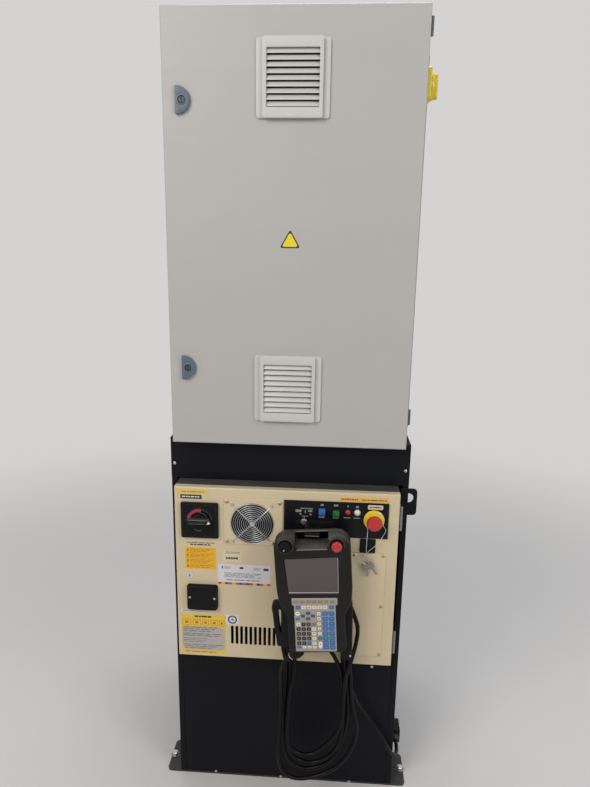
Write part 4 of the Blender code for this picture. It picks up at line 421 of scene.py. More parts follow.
class Workshop:
    """Makes each shared shader effect and each material once."""

    def __init__(self) -> None:
        """Start with no groups and no materials."""
        self.groups: dict[str, Tree] = {}
        self.materials: dict[str, bpy.types.Material] = {}

    def group(self, effect: Effect) -> Tree:
        """Return an effect's node group, made the first time that it is asked for.

        Args:
            effect: The effect.

        Returns:
            The group.
        """
        if effect.name not in self.groups:
            tree = bpy.data.node_groups.new(effect.name, "ShaderNodeTree")
            for label, value in effect.inputs:
                socket = tree.interface.new_socket(
                    name=label, in_out="INPUT",
                    socket_type=SOCKET_KINDS.get(label, "NodeSocketFloat"))
                socket.default_value = value
            tree.interface.new_socket(
                name=effect.output, in_out="OUTPUT",
                socket_type=SOCKET_KINDS.get(effect.output, "NodeSocketFloat"))
            result = effect.wiring(tree, tree.nodes.new("NodeGroupInput").outputs)
            tree.links.new(result, tree.nodes.new("NodeGroupOutput").inputs[effect.output])
            self.groups[effect.name] = tree
        return self.groups[effect.name]

    def use(self, tree: Tree, effect: Effect, **values: object) -> Socket:
        """Place an effect with these values for its inputs, and return its output."""
        node = put(tree, "Group", values, node_tree=self.group(effect))
        return node.outputs[effect.output]

    def material(self, finish: Finish) -> bpy.types.Material:
        """Return a finish's material, made the first time that it is asked for.

        Args:
            finish: The finish.

        Returns:
            The node-based material.
        """
        if finish.name in self.materials:
            return self.materials[finish.name]
        material = bpy.data.materials.new(finish.name)
        material.use_nodes = True
        self.materials[finish.name] = material
        tree = material.node_tree
        shader = tree.nodes["Principled BSDF"]
        shader.inputs["Metallic"].default_value = finish.metallic
        shader.inputs["Specular IOR Level"].default_value = finish.specular
        colour = self.use(tree, TONE_PATCHES, Color=(*finish.colour, 1.0), Shade=finish.shade,
                          Scale=PATCH_SCALE)
        # Lighter edges: partly real wear, partly a painted highlight on rounded edges.
        if finish.wear > 0.0:
            colour = blend_over(tree, colour, finish.wear_colour,
                                self.use(tree, EDGE_WEAR_AND_HIGHLIGHT, Amount=finish.wear * 2))
        # Lighter faces that look up: partly settled dust, partly painted light from above.
        if finish.dust > 0.0:
            colour = blend_over(tree, colour, DUST_AND_TOP_LIGHT_COLOUR,
                                self.use(tree, SETTLED_DUST_AND_TOP_LIGHT, Amount=finish.dust))
        tree.links.new(colour, shader.inputs["Base Color"])
        self.add_texture(tree, shader, finish)
        return material

    def add_texture(self, tree: Tree, shader: bpy.types.Node, finish: Finish) -> None:
        """Give a material the roughness and relief of its kind of surface.

        Args:
            tree: The material's tree.
            shader: Its Principled shader.
            finish: The finish that it stands for.
        """
        texture = TEXTURES[finish.surface]
        grain = self.use(tree, SURFACE_GRAIN, Scale=texture.scale,
                         Depth=texture.depth * finish.grain)
        tree.links.new(grain, shader.inputs["Normal"])
        streaks = self.use(tree, BRUSHED_LINES, Scale=texture.streaks,
                           Low=finish.roughness - texture.spread,
                           High=finish.roughness + texture.spread)
        tree.links.new(streaks, shader.inputs["Roughness"])
        if texture.coated:
            shader.inputs["Coat Weight"].default_value = COAT_WEIGHT
            shader.inputs["Coat Roughness"].default_value = COAT_ROUGHNESS


WORKSHOP = Workshop()


def select_only(*pieces: Piece) -> None:
    """Select nothing but the given pieces, and make the first one active.

    Args:
        *pieces: The pieces.
    """
    if bpy.context.object and bpy.context.object.mode != "OBJECT":
        bpy.ops.object.mode_set(mode="OBJECT")
    bpy.ops.object.select_all(action="DESELECT")
    for piece in pieces:
        piece.select_set(True)
    bpy.context.view_layer.objects.active = pieces[0]


def new_object(name: str, data: bpy.types.ID) -> Piece:
    """Put a new object in the scene.

    Args:
        name: The object's name.
        data: Its mesh, curve, lamp or camera.

    Returns:
        The object.
    """
    piece = bpy.data.objects.new(name, data)
    bpy.context.scene.collection.objects.link(piece)
    return piece


def open_mesh(piece: Piece) -> None:
    """Enter edit mode with the whole of a piece selected.

    Args:
        piece: The piece.
    """
    select_only(piece)
    bpy.ops.object.mode_set(mode="EDIT")
    bpy.ops.mesh.select_all(action="SELECT")


def close_mesh(merge: float = 0.0) -> None:
    """Merge points that are this close, turn every face outward and leave edit mode.

    Args:
        merge: The distance, or 0 where no points are merged.
    """
    bpy.ops.mesh.select_all(action="SELECT")
    if merge > 0.0:
        bpy.ops.mesh.remove_doubles(threshold=merge)
    bpy.ops.mesh.normals_make_consistent(inside=False)
    bpy.ops.object.mode_set(mode="OBJECT")


def settle(piece: Piece) -> Piece:
    """Apply a piece's modifiers and its place.

    Args:
        piece: The piece.

    Returns:
        The same piece, at the origin, unturned and unscaled.
    """
    select_only(piece)
    for modifier in list(piece.modifiers):
        bpy.ops.object.modifier_apply(modifier=modifier.name)
    bpy.ops.object.transform_apply(location=True, rotation=True, scale=True)
    return piece


def round_edges(piece: Piece, width: float, segments: int = 2,
                angle: float = BEVEL_ANGLE) -> None:
    """Add the modifier that bevels the edges sharper than an angle in degrees.

    Args:
        piece: The piece.
        width: The bevel's width.
        segments: How many faces cross each rounded edge.
        angle: The angle.
    """
    rounding = piece.modifiers.new("rounded_edges", "BEVEL")
    rounding.width = width
    rounding.segments = segments
    rounding.limit_method = "ANGLE"
    rounding.angle_limit = math.radians(angle)


def bevel(piece: Piece, width: float, segments: int = 2, angle: float = BEVEL_ANGLE) -> Piece:
    """Round a piece's sharp edges and shade it smooth between them.

    Args:
        piece: The piece.
        width: The bevel's width.
        segments: How many faces cross each rounded edge.
        angle: Edges sharper than this many degrees are rounded.

    Returns:
        The same piece, settled.
    """
    if width > 0.0:
        round_edges(piece, width, segments, angle)
    return smooth(settle(piece))


def smooth(piece: Piece, angle: float = SHARP_ANGLE) -> Piece:
    """Shade a piece smooth except at edges sharper than an angle in degrees.

    Args:
        piece: The piece.
        angle: The angle.

    Returns:
        The same piece.
    """
    select_only(piece)
    bpy.ops.object.shade_smooth_by_angle(angle=math.radians(angle))
    return piece


def edit_edges(piece: Piece, chosen: Callable[[bmesh.types.BMEdge], bool]) -> None:
    """Enter edit mode with the edges selected that pass a test.

    Args:
        piece: The piece.
        chosen: The test that an edge has to pass.
    """
    select_only(piece)
    bpy.ops.object.mode_set(mode="EDIT")
    bpy.ops.mesh.select_mode(type="EDGE")
    bpy.ops.mesh.select_all(action="DESELECT")
    mesh = bmesh.from_edit_mesh(piece.data)
    for edge in mesh.edges:
        edge.select_set(chosen(edge))
    bmesh.update_edit_mesh(piece.data)


def block(name: str, low: Sequence[float], high: Sequence[float], edge: float = 0.0008,
          corner: float = 0.0, axis: int = 1, segments: int = 4) -> Piece:
    """Model a block with softened edges, and with rounded corners about one axis.

    Args:
        name: The piece's name.
        low: Its lowest corner.
        high: Its highest corner.
        edge: Width of the bevel on every edge.
        corner: Radius of the corners round the axis.
        axis: The axis that the rounded corners turn about.
        segments: How many faces a rounded corner has.

    Returns:
        The piece.
    """
    low, high = Vector(low), Vector(high)
    bpy.ops.object.select_all(action="DESELECT")
    bpy.ops.mesh.primitive_cube_add(size=1.0, location=(low + high) / 2)
    piece = bpy.context.object
    piece.name = name
    piece.scale = high - low
    settle(piece)
    if corner > 0.0:
        def runs_along(line: bmesh.types.BMEdge) -> bool:
            """Tell whether an edge runs along the axis."""
            run = [abs(span) for span in line.verts[0].co - line.verts[1].co]
            return run.pop(axis) > max(run)

        edit_edges(piece, runs_along)
        bpy.ops.mesh.bevel(offset=corner, segments=segments, profile=0.5)
        bpy.ops.object.mode_set(mode="OBJECT")
    return bevel(piece, edge, 2)


def from_loops(name: str, loops: Sequence[Sequence[Vector]]) -> Piece:
    """Return an object of closed loops of edges, ready to be filled in edit mode.

    Args:
        name: The object's name.
        loops: The points of each loop, in order.

    Returns:
        The object.
    """
    points: list[Vector] = []
    edges: list[tuple[int, int]] = []
    for loop in loops:
        first = len(points)
        points.extend(loop)
        edges.extend((first + i, first + (i + 1) % len(loop)) for i in range(len(loop)))
    mesh = bpy.data.meshes.new(name)
    mesh.from_pydata(points, edges, [])
    return new_object(name, mesh)


def lay(point: Flat, axis: int, place: float) -> Vector:
    """Place a flat point on a plane across an axis.

    Args:
        point: The flat point.
        axis: The axis that the plane lies across.
        place: Where the plane is on that axis.

    Returns:
        The point in space.
    """
    spot = list(point)
    spot.insert(axis, place)
    return Vector(spot)


def prism(name: str, outline: Outline, start: float, end: float, holes: Sequence[Outline] = (),
          axis: int = 1, edge: float = 0.0, segments: int = 2) -> Piece:
    """Fill an outline and extrude it along an axis.

    Args:
        name: The piece's name.
        outline: The outer outline, as flat points.
        start: Where the prism starts on the axis.
        end: Where it ends.
        holes: Outlines of the holes through it.
        axis: The axis that it is extruded along.
        edge: Width of the bevel on its sharp edges.
        segments: How many faces cross each bevelled edge.

    Returns:
        The piece.
    """
    loops = [[lay(point, axis, start) for point in loop] for loop in (outline, *holes)]
    piece = from_loops(name, loops)
    open_mesh(piece)
    if holes:
        bpy.ops.mesh.fill(use_beauty=True)
    else:
        bpy.ops.mesh.edge_face_add()
    bpy.ops.mesh.select_all(action="SELECT")
    shift = Vector((0.0, 0.0, 0.0))
    shift[axis] = end - start
    bpy.ops.mesh.extrude_region_move(TRANSFORM_OT_translate={"value": shift})
    close_mesh()
    return bevel(piece, edge, segments)


def lathe(name: str, profile: Sequence[Flat], centre: Sequence[float], axis: str = "-Y",
          steps: int = 48, edge: float = 0.0) -> Piece:
    """Spin a profile into a round piece.

    Args:
        name: The piece's name.
        profile: Radius and height of each point, from the piece's foot to its top.
        centre: The place of the foot's centre.
        axis: The direction that the height runs in: Z, -Y or X.
        steps: How many steps the spin has.
        edge: Width of the bevel on its sharp edges.

    Returns:
        The piece.
    """
    mesh = bpy.data.meshes.new(name)
    mesh.from_pydata([(radius, 0.0, height) for radius, height in profile],
                     [(i, i + 1) for i in range(len(profile) - 1)], [])
    piece = new_object(name, mesh)
    open_mesh(piece)
    bpy.ops.mesh.spin(steps=steps, angle=math.tau, center=(0.0, 0.0, 0.0),
                      axis=(0.0, 0.0, 1.0))
    close_mesh(MERGE)
    turns = {"Z": Matrix(), "-Y": Matrix.Rotation(math.pi / 2, 4, "X"),
             "X": Matrix.Rotation(math.pi / 2, 4, "Y")}
    piece.matrix_world = Matrix.Translation(centre) @ turns[axis]
    return bevel(piece, edge, 2)


def wire(name: str, points: Sequence[Sequence[float]], radius: float, closed: bool = False,
         sides: int = 3) -> Piece:
    """Draw a round wire along points.

    Args:
        name: The piece's name.
        points: The wire's centre line.
        radius: Its radius.
        closed: Whether its ends meet.
        sides: The curve's bevel resolution.

    Returns:
        The wire as a mesh.
    """
    curve = bpy.data.curves.new(name, "CURVE")
    curve.dimensions = "3D"
    curve.bevel_depth = radius
    curve.bevel_resolution = sides
    curve.use_fill_caps = not closed
    spline = curve.splines.new("POLY")
    spline.points.add(len(points) - 1)
    for knot, point in zip(spline.points, points):
        knot.co = (*point, 1.0)
    spline.use_cyclic_u = closed
    select_only(new_object(name, curve))
    bpy.ops.object.convert(target="MESH")
    piece = bpy.context.object
    piece.name = name
    open_mesh(piece)
    close_mesh(MERGE)
    return smooth(piece, 50.0)


def duplicate(piece: Piece, name: str, shift: Sequence[float] = (0.0, 0.0, 0.0),
              turn: Matrix | None = None) -> Piece:
    """Copy a piece with a mesh of its own, and move the copy.

    Args:
        piece: The piece to copy.
        name: The copy's name.
        shift: How far the copy moves.
        turn: A turn about the origin that comes before the move.

    Returns:
        The copy.
    """
    copy = piece.copy()
    copy.data = piece.data.copy()
    copy.name = name
    bpy.context.scene.collection.objects.link(copy)
    copy.matrix_world = Matrix.Translation(shift) @ (turn or Matrix())
    return settle(copy)


def repeat(piece: Piece, placings: Iterable[tuple[Sequence[float], Matrix | None]]) -> list[Piece]:
    """Return a copy of a piece for each place and turn, and remove the piece itself.

    Args:
        piece: The piece to copy.
        placings: How far each copy moves and how it turns.

    Returns:
        The copies.
    """
    copies = [duplicate(piece, piece.name, shift, turn) for shift, turn in placings]
    bpy.data.objects.remove(piece)
    return copies


def ring_of(piece: Piece, count: int, centre: Place) -> list[Piece]:
    """Return copies of a piece, turned evenly about an axis that faces the front."""
    return repeat(piece, [(centre, Matrix.Rotation(math.tau * index / count, 4, "Y"))
                          for index in range(count)])


def join(name: str, pieces: Sequence[Piece]) -> Piece:
    """Join pieces into one object that keeps their materials.

    Args:
        name: The joined piece's name.
        pieces: The pieces.

    Returns:
        The joined piece.
    """
    select_only(*pieces)
    bpy.ops.object.join()
    joined = bpy.context.object
    joined.name = name
    return joined


def cut(piece: Piece, *tools: Piece) -> Piece:
    """Cut tools out of a piece and remove them.

    Args:
        piece: The piece that is cut.
        *tools: The shapes to take away.

    Returns:
        The same piece.
    """
    for tool in tools:
        change = piece.modifiers.new("cut", "BOOLEAN")
        change.operation = "DIFFERENCE"
        change.solver = "EXACT"
        change.object = tool
        select_only(piece)
        bpy.ops.object.modifier_apply(modifier=change.name)
        bpy.data.objects.remove(tool)
    return piece


def dress(piece: Piece, finish: Finish) -> Piece:
    """Give a piece one finish.

    Args:
        piece: The piece.
        finish: Its finish.

    Returns:
        The same piece.
    """
    piece.data.materials.clear()
    piece.data.materials.append(WORKSHOP.material(finish))
    return piece


def arc(centre: Flat, radius: float, start: float, end: float, steps: int) -> Outline:
    """Return points on an arc, with its angles in degrees."""
    angles = [math.radians(start + (end - start) * i / steps) for i in range(steps + 1)]
    return [(centre[0] + radius * math.cos(a), centre[1] + radius * math.sin(a)) for a in angles]


def circle(centre: Flat, radius: float, sides: int = 48) -> Outline:
    """Return the points of a circle."""
    return arc(centre, radius, 0.0, 360.0, sides)[:-1]


def rounded(centre: Flat, size: Flat, radius: float, steps: int = 5) -> Outline:
    """Return the outline of a rectangle with rounded corners.

    Args:
        centre: The rectangle's centre.
        size: Its width and height.
        radius: The radius of its corners.
        steps: How many steps each corner has.

    Returns:
        The outline's points, from the right and then up.
    """
    half_x, half_z = size[0] / 2 - radius, size[1] / 2 - radius
    outline: Outline = []
    for sign_x, sign_z, start in ((1, 1, 0), (-1, 1, 90), (-1, -1, 180), (1, -1, 270)):
        corner = (centre[0] + sign_x * half_x, centre[1] + sign_z * half_z)
        outline.extend(arc(corner, radius, start, start + 90, steps))
    return outline


def through(points: Sequence[Sequence[float]], spacing: float) -> list[Vector]:
    """Return evenly spaced points on a smooth curve through the given points.

    Args:
        points: The points that the curve goes through.
        spacing: The distance between the points returned.

    Returns:
        The points, from the first to the last.
    """
    knots = [Vector(point) for point in points]
    fine: list[Vector] = []
    for index in range(len(knots) - 1):
        before = knots[max(index - 1, 0)]
        first, second = knots[index], knots[index + 1]
        after = knots[min(index + 2, len(knots) - 1)]
        gaps = [max((b - a).length ** 0.5, 1e-6)
                for a, b in ((before, first), (first, second), (second, after))]
        start = (second - first) if index == 0 else (
            (first - before) / gaps[0] - (second - before) / (gaps[0] + gaps[1])
            + (second - first) / gaps[1]) * gaps[1]
        end = (second - first) if index == len(knots) - 2 else (
            (second - first) / gaps[1] - (after - first) / (gaps[1] + gaps[2])
            + (after - second) / gaps[2]) * gaps[1]
        for step in range(16):
            t = step / 16
            fine.append((2 * t ** 3 - 3 * t ** 2 + 1) * first + (t ** 3 - 2 * t ** 2 + t) * start
                        + (3 * t ** 2 - 2 * t ** 3) * second + (t ** 3 - t ** 2) * end)
    fine.append(knots[-1])
    lengths = [0.0]
    for first, second in zip(fine, fine[1:]):
        lengths.append(lengths[-1] + (second - first).length)
    count = max(2, round(lengths[-1] / spacing))
    even: list[Vector] = []
    index = 0
    for step in range(count + 1):
        reach = lengths[-1] * step / count
        while index < len(fine) - 2 and lengths[index + 1] < reach:
            index += 1
        share = (reach - lengths[index]) / max(lengths[index + 1] - lengths[index], 1e-9)
        even.append(fine[index].lerp(fine[index + 1], min(max(share, 0.0), 1.0)))
    return even


def cord_mesh(name: str, centres: Sequence[Vector], radius: float, sides: int = 14) -> Piece:
    """Sweep a ring along a cord's centre line into a closed tube.

    Args:
        name: The piece's name.
        centres: The ring centres.
        radius: The cord's radius.
        sides: How many points each ring has.

    Returns:
        The tube.
    """
    tangent = (centres[1] - centres[0]).normalized()
    side = tangent.orthogonal().normalized()
    points: list[Vector] = []
    for index, centre in enumerate(centres):
        ahead = centres[min(index + 1, len(centres) - 1)]
        behind = centres[max(index - 1, 0)]
        tangent = (ahead - behind).normalized()
        side = (side - tangent * side.dot(tangent)).normalized()
        other = tangent.cross(side)
        for turn in range(sides):
            angle = math.tau * turn / sides
            points.append(centre + radius * (math.cos(angle) * side + math.sin(angle) * other))
    faces: list[tuple[int, ...]] = []
    for ring in range(len(centres) - 1):
        for turn in range(sides):
            after = (turn + 1) % sides
            low, high = ring * sides, (ring + 1) * sides
            faces.append((low + turn, low + after, high + after, high + turn))
    last = (len(centres) - 1) * sides
    faces.append(tuple(reversed(range(sides))))
    faces.append(tuple(last + turn for turn in range(sides)))
    mesh = bpy.data.meshes.new(name)
    mesh.from_pydata(points, [], faces)
    piece = new_object(name, mesh)
    open_mesh(piece)
    close_mesh()
    return smooth(piece, ROUND_ANGLE)


@dataclass
class SubAssembly:
    """Pieces that belong together on one body of the cabinet."""

    body: str = "root"

    def add(self, piece: Piece, slot: str, *nodes: str, body: str | None = None) -> Piece:
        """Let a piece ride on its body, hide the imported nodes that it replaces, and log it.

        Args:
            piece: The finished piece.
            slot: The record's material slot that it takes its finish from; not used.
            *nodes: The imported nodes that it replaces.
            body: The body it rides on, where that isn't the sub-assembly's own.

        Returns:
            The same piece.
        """
        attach(piece, body or self.body)
        if nodes:
            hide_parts(*nodes)
        LOG.info("%s on %s, %d faces", piece.name, body or self.body, len(piece.data.polygons))
        return piece

    def coat(self, finish: Finish, *nodes: str, edge: float = 0.0) -> None:
        """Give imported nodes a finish, and round their edges.

        Args:
            finish: The finish.
            *nodes: The nodes' names.
            edge: Width of the rounded edges, or none where it is 0.
        """
        for name in nodes:
            node = frame["nodes"][name]
            for place in node.material_slots:
                place.material = WORKSHOP.material(finish)
            if edge > 0.0:
                node.modifiers.new("weld", "WELD").merge_threshold = WELD
                round_edges(node, edge)


@dataclass(frozen=True)
class Mark:
    """One printed mark on a label: its centre, its size and its ink."""

    centre: Flat
    size: Flat
    ink: Finish


def print_marks(name: str, face: float, marks: Iterable[Mark], lift: float = INK) -> Piece:
    """Model printed marks as thin raised films on a plane that faces the front.

    Args:
        name: The piece's name.
        face: The plane that the marks lie on.
        marks: The marks.
        lift: How thick the ink is.

    Returns:
        The marks as one piece.
    """
    films = []
    for index, mark in enumerate(marks):
        corners = rounded(mark.centre, mark.size, min(mark.size) * 0.18, 2)
        films.append(dress(prism(f"{name}_{index}", corners, face, face - lift), mark.ink))
    return join(name, films)


def text_rows(centre: Flat, size: Flat, rows: int, ink: Finish, fill: float = 0.5,
              words: Sequence[float] = (0.18, 0.30, 0.12, 0.24)) -> list[Mark]:
    """Return plain bars in rows, where a label has lines of small print.

    Args:
        centre: The middle of the block of rows.
        size: Its width and height.
        rows: How many rows it has.
        ink: The bars' ink.
        fill: How much of each row's pitch the bar takes.
        words: Share of the width that each bar takes, in turn.

    Returns:
        The bars.
    """
    marks = []
    pitch = size[1] / rows
    for row in range(rows):
        z = centre[1] + size[1] / 2 - pitch * (row + 0.5)
        x = centre[0] - size[0] / 2
        right = centre[0] + size[0] / 2 - size[0] * 0.12 * (row % 3)
        count = 0
        while x < right - size[0] * 0.04:
            width = min(size[0] * words[(row + count) % len(words)], right - x)
            marks.append(Mark((x + width / 2, z), (width, pitch * fill), ink))
            x += width + size[0] * 0.035
            count += 1
    return marks


def screws(name: str, places: Sequence[Flat], face: float, radius: float, height: float,
           finish: Finish) -> list[Piece]:
    """Model a pan-head screw with a cross recess, and copy it over a plane that faces the front.

    Args:
        name: The screw's name.
        places: The screws' places on the plane.
        face: The plane.
        radius: The head's radius.
        height: The head's height.
        finish: The head's finish.

    Returns:
        The screws.
    """
    profile = [(0.0, 0.0), (radius, 0.0), (radius, height * 0.35), (radius * 0.92, height * 0.7),
               (radius * 0.65, height * 0.95), (0.0, height)]
    head = lathe(name, profile, (0.0, 0.0, 0.0), steps=20)
    slot = block("recess", (-radius * 0.6, -height * 1.5, -radius * 0.12),
                 (radius * 0.6, -height * 0.45, radius * 0.12), edge=0.0)
    turns = [Matrix.Rotation(math.radians(angle), 4, "Y") for angle in (20.0, 110.0)]
    cut(head, *repeat(slot, [((0.0, 0.0, 0.0), turn) for turn in turns]))
    return repeat(dress(smooth(head), finish), [((x, face, z), None) for x, z in places])


@dataclass
class Stage(SubAssembly):
    """The floor, the lights and the camera."""

    camera_place: Place = (0.103, -1.745, 1.533)
    yaw: float = math.radians(3.47)
    pitch: float = math.radians(12.98)
    roll: float = math.radians(-0.91)
    focal_pixels: float = 600.0
    image_height: float = 787.0
    sensor: float = 36.0
    view_end: float = 60.0
    lit_place: Place = (0.0, -0.25, 1.0)
    sky: Colour = (0.96, 0.97, 1.0)
    sky_strength: float = 0.42
    backdrop: Colour = (0.66, 0.65, 0.64)
    floor_colour: Colour = (0.62, 0.61, 0.60)
    floor_roughness: float = 0.75
    floor_size: float = 40.0
    floor_height: float = -0.0002
    fade_start: float = 0.9
    fade_end: float = 3.6

    def build(self) -> None:
        """Lay the floor, hang the lights and set the camera."""
        self.add_floor()
        self.add_world()
        self.add_lights()
        self.add_camera()

    def add_floor(self) -> None:
        """Lay a wide pale floor that fades into the backdrop."""
        bpy.ops.object.select_all(action="DESELECT")
        bpy.ops.mesh.primitive_grid_add(x_subdivisions=20, y_subdivisions=20,
                                        size=self.floor_size,
                                        location=(0.0, 0.0, self.floor_height))
        floor = settle(bpy.context.object)
        floor.name = "floor"
        material = bpy.data.materials.new("pale_floor")
        material.use_nodes = True
        tree = material.node_tree
        shader = tree.nodes["Principled BSDF"]
        shader.inputs["Roughness"].default_value = self.floor_roughness
        tone = WORKSHOP.use(tree, TONE_PATCHES, Color=(*self.floor_colour, 1.0), Shade=0.04,
                            Scale=1.5)
        tree.links.new(tone, shader.inputs["Base Color"])
        place = put(tree, "TexCoord").outputs["Object"]
        away = put(tree, "VectorMath", {0: place}, operation="LENGTH").outputs["Value"]
        fade = put(tree, "MapRange", {"Value": away, "From Min": self.fade_start,
                                      "From Max": self.fade_end}, interpolation_type="SMOOTHSTEP")
        share = multiply(tree, fade.outputs["Result"], self.seen_rays(tree))
        far = put(tree, "Emission", {"Color": (*self.backdrop, 1.0)}).outputs["Emission"]
        mix = put(tree, "MixShader", {"Fac": share, 1: shader.outputs["BSDF"], 2: far})
        tree.links.new(mix.outputs["Shader"], tree.nodes["Material Output"].inputs["Surface"])
        floor.data.materials.append(material)

    @staticmethod
    def seen_rays(tree: Tree) -> Socket:
        """Return a socket that is 1 for camera, glossy and transmission rays.

        Args:
            tree: The tree that gets the nodes.

        Returns:
            The socket.
        """
        rays = put(tree, "LightPath").outputs
        seen = put(tree, "Math", {0: rays["Is Camera Ray"], 1: rays["Is Glossy Ray"]},
                   operation="MAXIMUM").outputs[0]
        return put(tree, "Math", {0: seen, 1: rays["Is Transmission Ray"]},
                   operation="MAXIMUM").outputs[0]

    def add_world(self) -> None:
        """Light the scene softly from all round, with a plain pale background."""
        world = bpy.data.worlds.new("studio")
        bpy.context.scene.world = world
        world.use_nodes = True
        tree = world.node_tree
        tree.nodes.clear()
        soft = put(tree, "Background", {"Color": (*self.sky, 1.0), "Strength": self.sky_strength})
        seen = put(tree, "Background", {"Color": (*self.backdrop, 1.0), "Strength": 1.0})
        mix = put(tree, "MixShader", {"Fac": self.seen_rays(tree), 1: soft.outputs["Background"],
                                      2: seen.outputs["Background"]})
        put(tree, "OutputWorld", {"Surface": mix.outputs["Shader"]})

    def add_lights(self) -> None:
        """Hang three large soft lamps."""
        lamps = (("lamp_front_left", (-1.7, -2.6, 3.0), 1.6, 62.0, (1.0, 0.965, 0.92)),
                 ("lamp_front_right", (2.3, -2.2, 2.4), 1.4, 34.0, (1.0, 0.98, 0.95)),
                 ("lamp_above", (0.2, 0.4, 3.9), 1.8, 46.0, (0.96, 0.97, 1.0)))
        for name, place, size, power, colour in lamps:
            light = bpy.data.lights.new(name, "AREA")
            light.size = size
            light.energy = power
            light.color = colour
            lamp = new_object(name, light)
            lamp.location = place
            aim = Vector(self.lit_place) - Vector(place)
            lamp.rotation_euler = aim.to_track_quat("-Z", "Y").to_euler()

    def add_camera(self) -> None:
        """Set the camera where the photograph was taken from."""
        forward = Vector((-math.sin(self.yaw) * math.cos(self.pitch),
                          math.cos(self.yaw) * math.cos(self.pitch), -math.sin(self.pitch)))
        level = Vector((math.cos(self.yaw), math.sin(self.yaw), 0.0))
        down = forward.cross(level)
        right = math.cos(self.roll) * level + math.sin(self.roll) * down
        lower = -math.sin(self.roll) * level + math.cos(self.roll) * down
        data = bpy.data.cameras.new("camera")
        data.sensor_fit = "VERTICAL"
        data.sensor_height = self.sensor
        data.sensor_width = self.sensor
        data.lens = self.focal_pixels / self.image_height * self.sensor
        data.clip_end = self.view_end
        camera = new_object("camera", data)
        turn = Matrix((right, -lower, -forward)).transposed()
        camera.matrix_world = Matrix.Translation(self.camera_place) @ turn.to_4x4()
        bpy.context.scene.camera = camera
        bpy.context.scene.view_settings.view_transform = "Standard"


@dataclass(frozen=True)
class Stretch:
    """A stretch of the cable: the depths at its two ends, and its points across and up."""

    depths: Flat
    points: tuple[Flat, ...]

    def route(self) -> list[Vector]:
        """Return the points, with the depth changing evenly from one end to the other.

        Returns:
            The points in space.
        """
        first, last = self.depths
        steps = max(len(self.points) - 1, 1)
        return [Vector((x, first + (last - first) * index / steps, z))
                for index, (x, z) in enumerate(self.points)]


# The planes that the hanging loops lie in
FRONT, MIDDLE, REAR = -0.3410, -0.3300, -0.3190


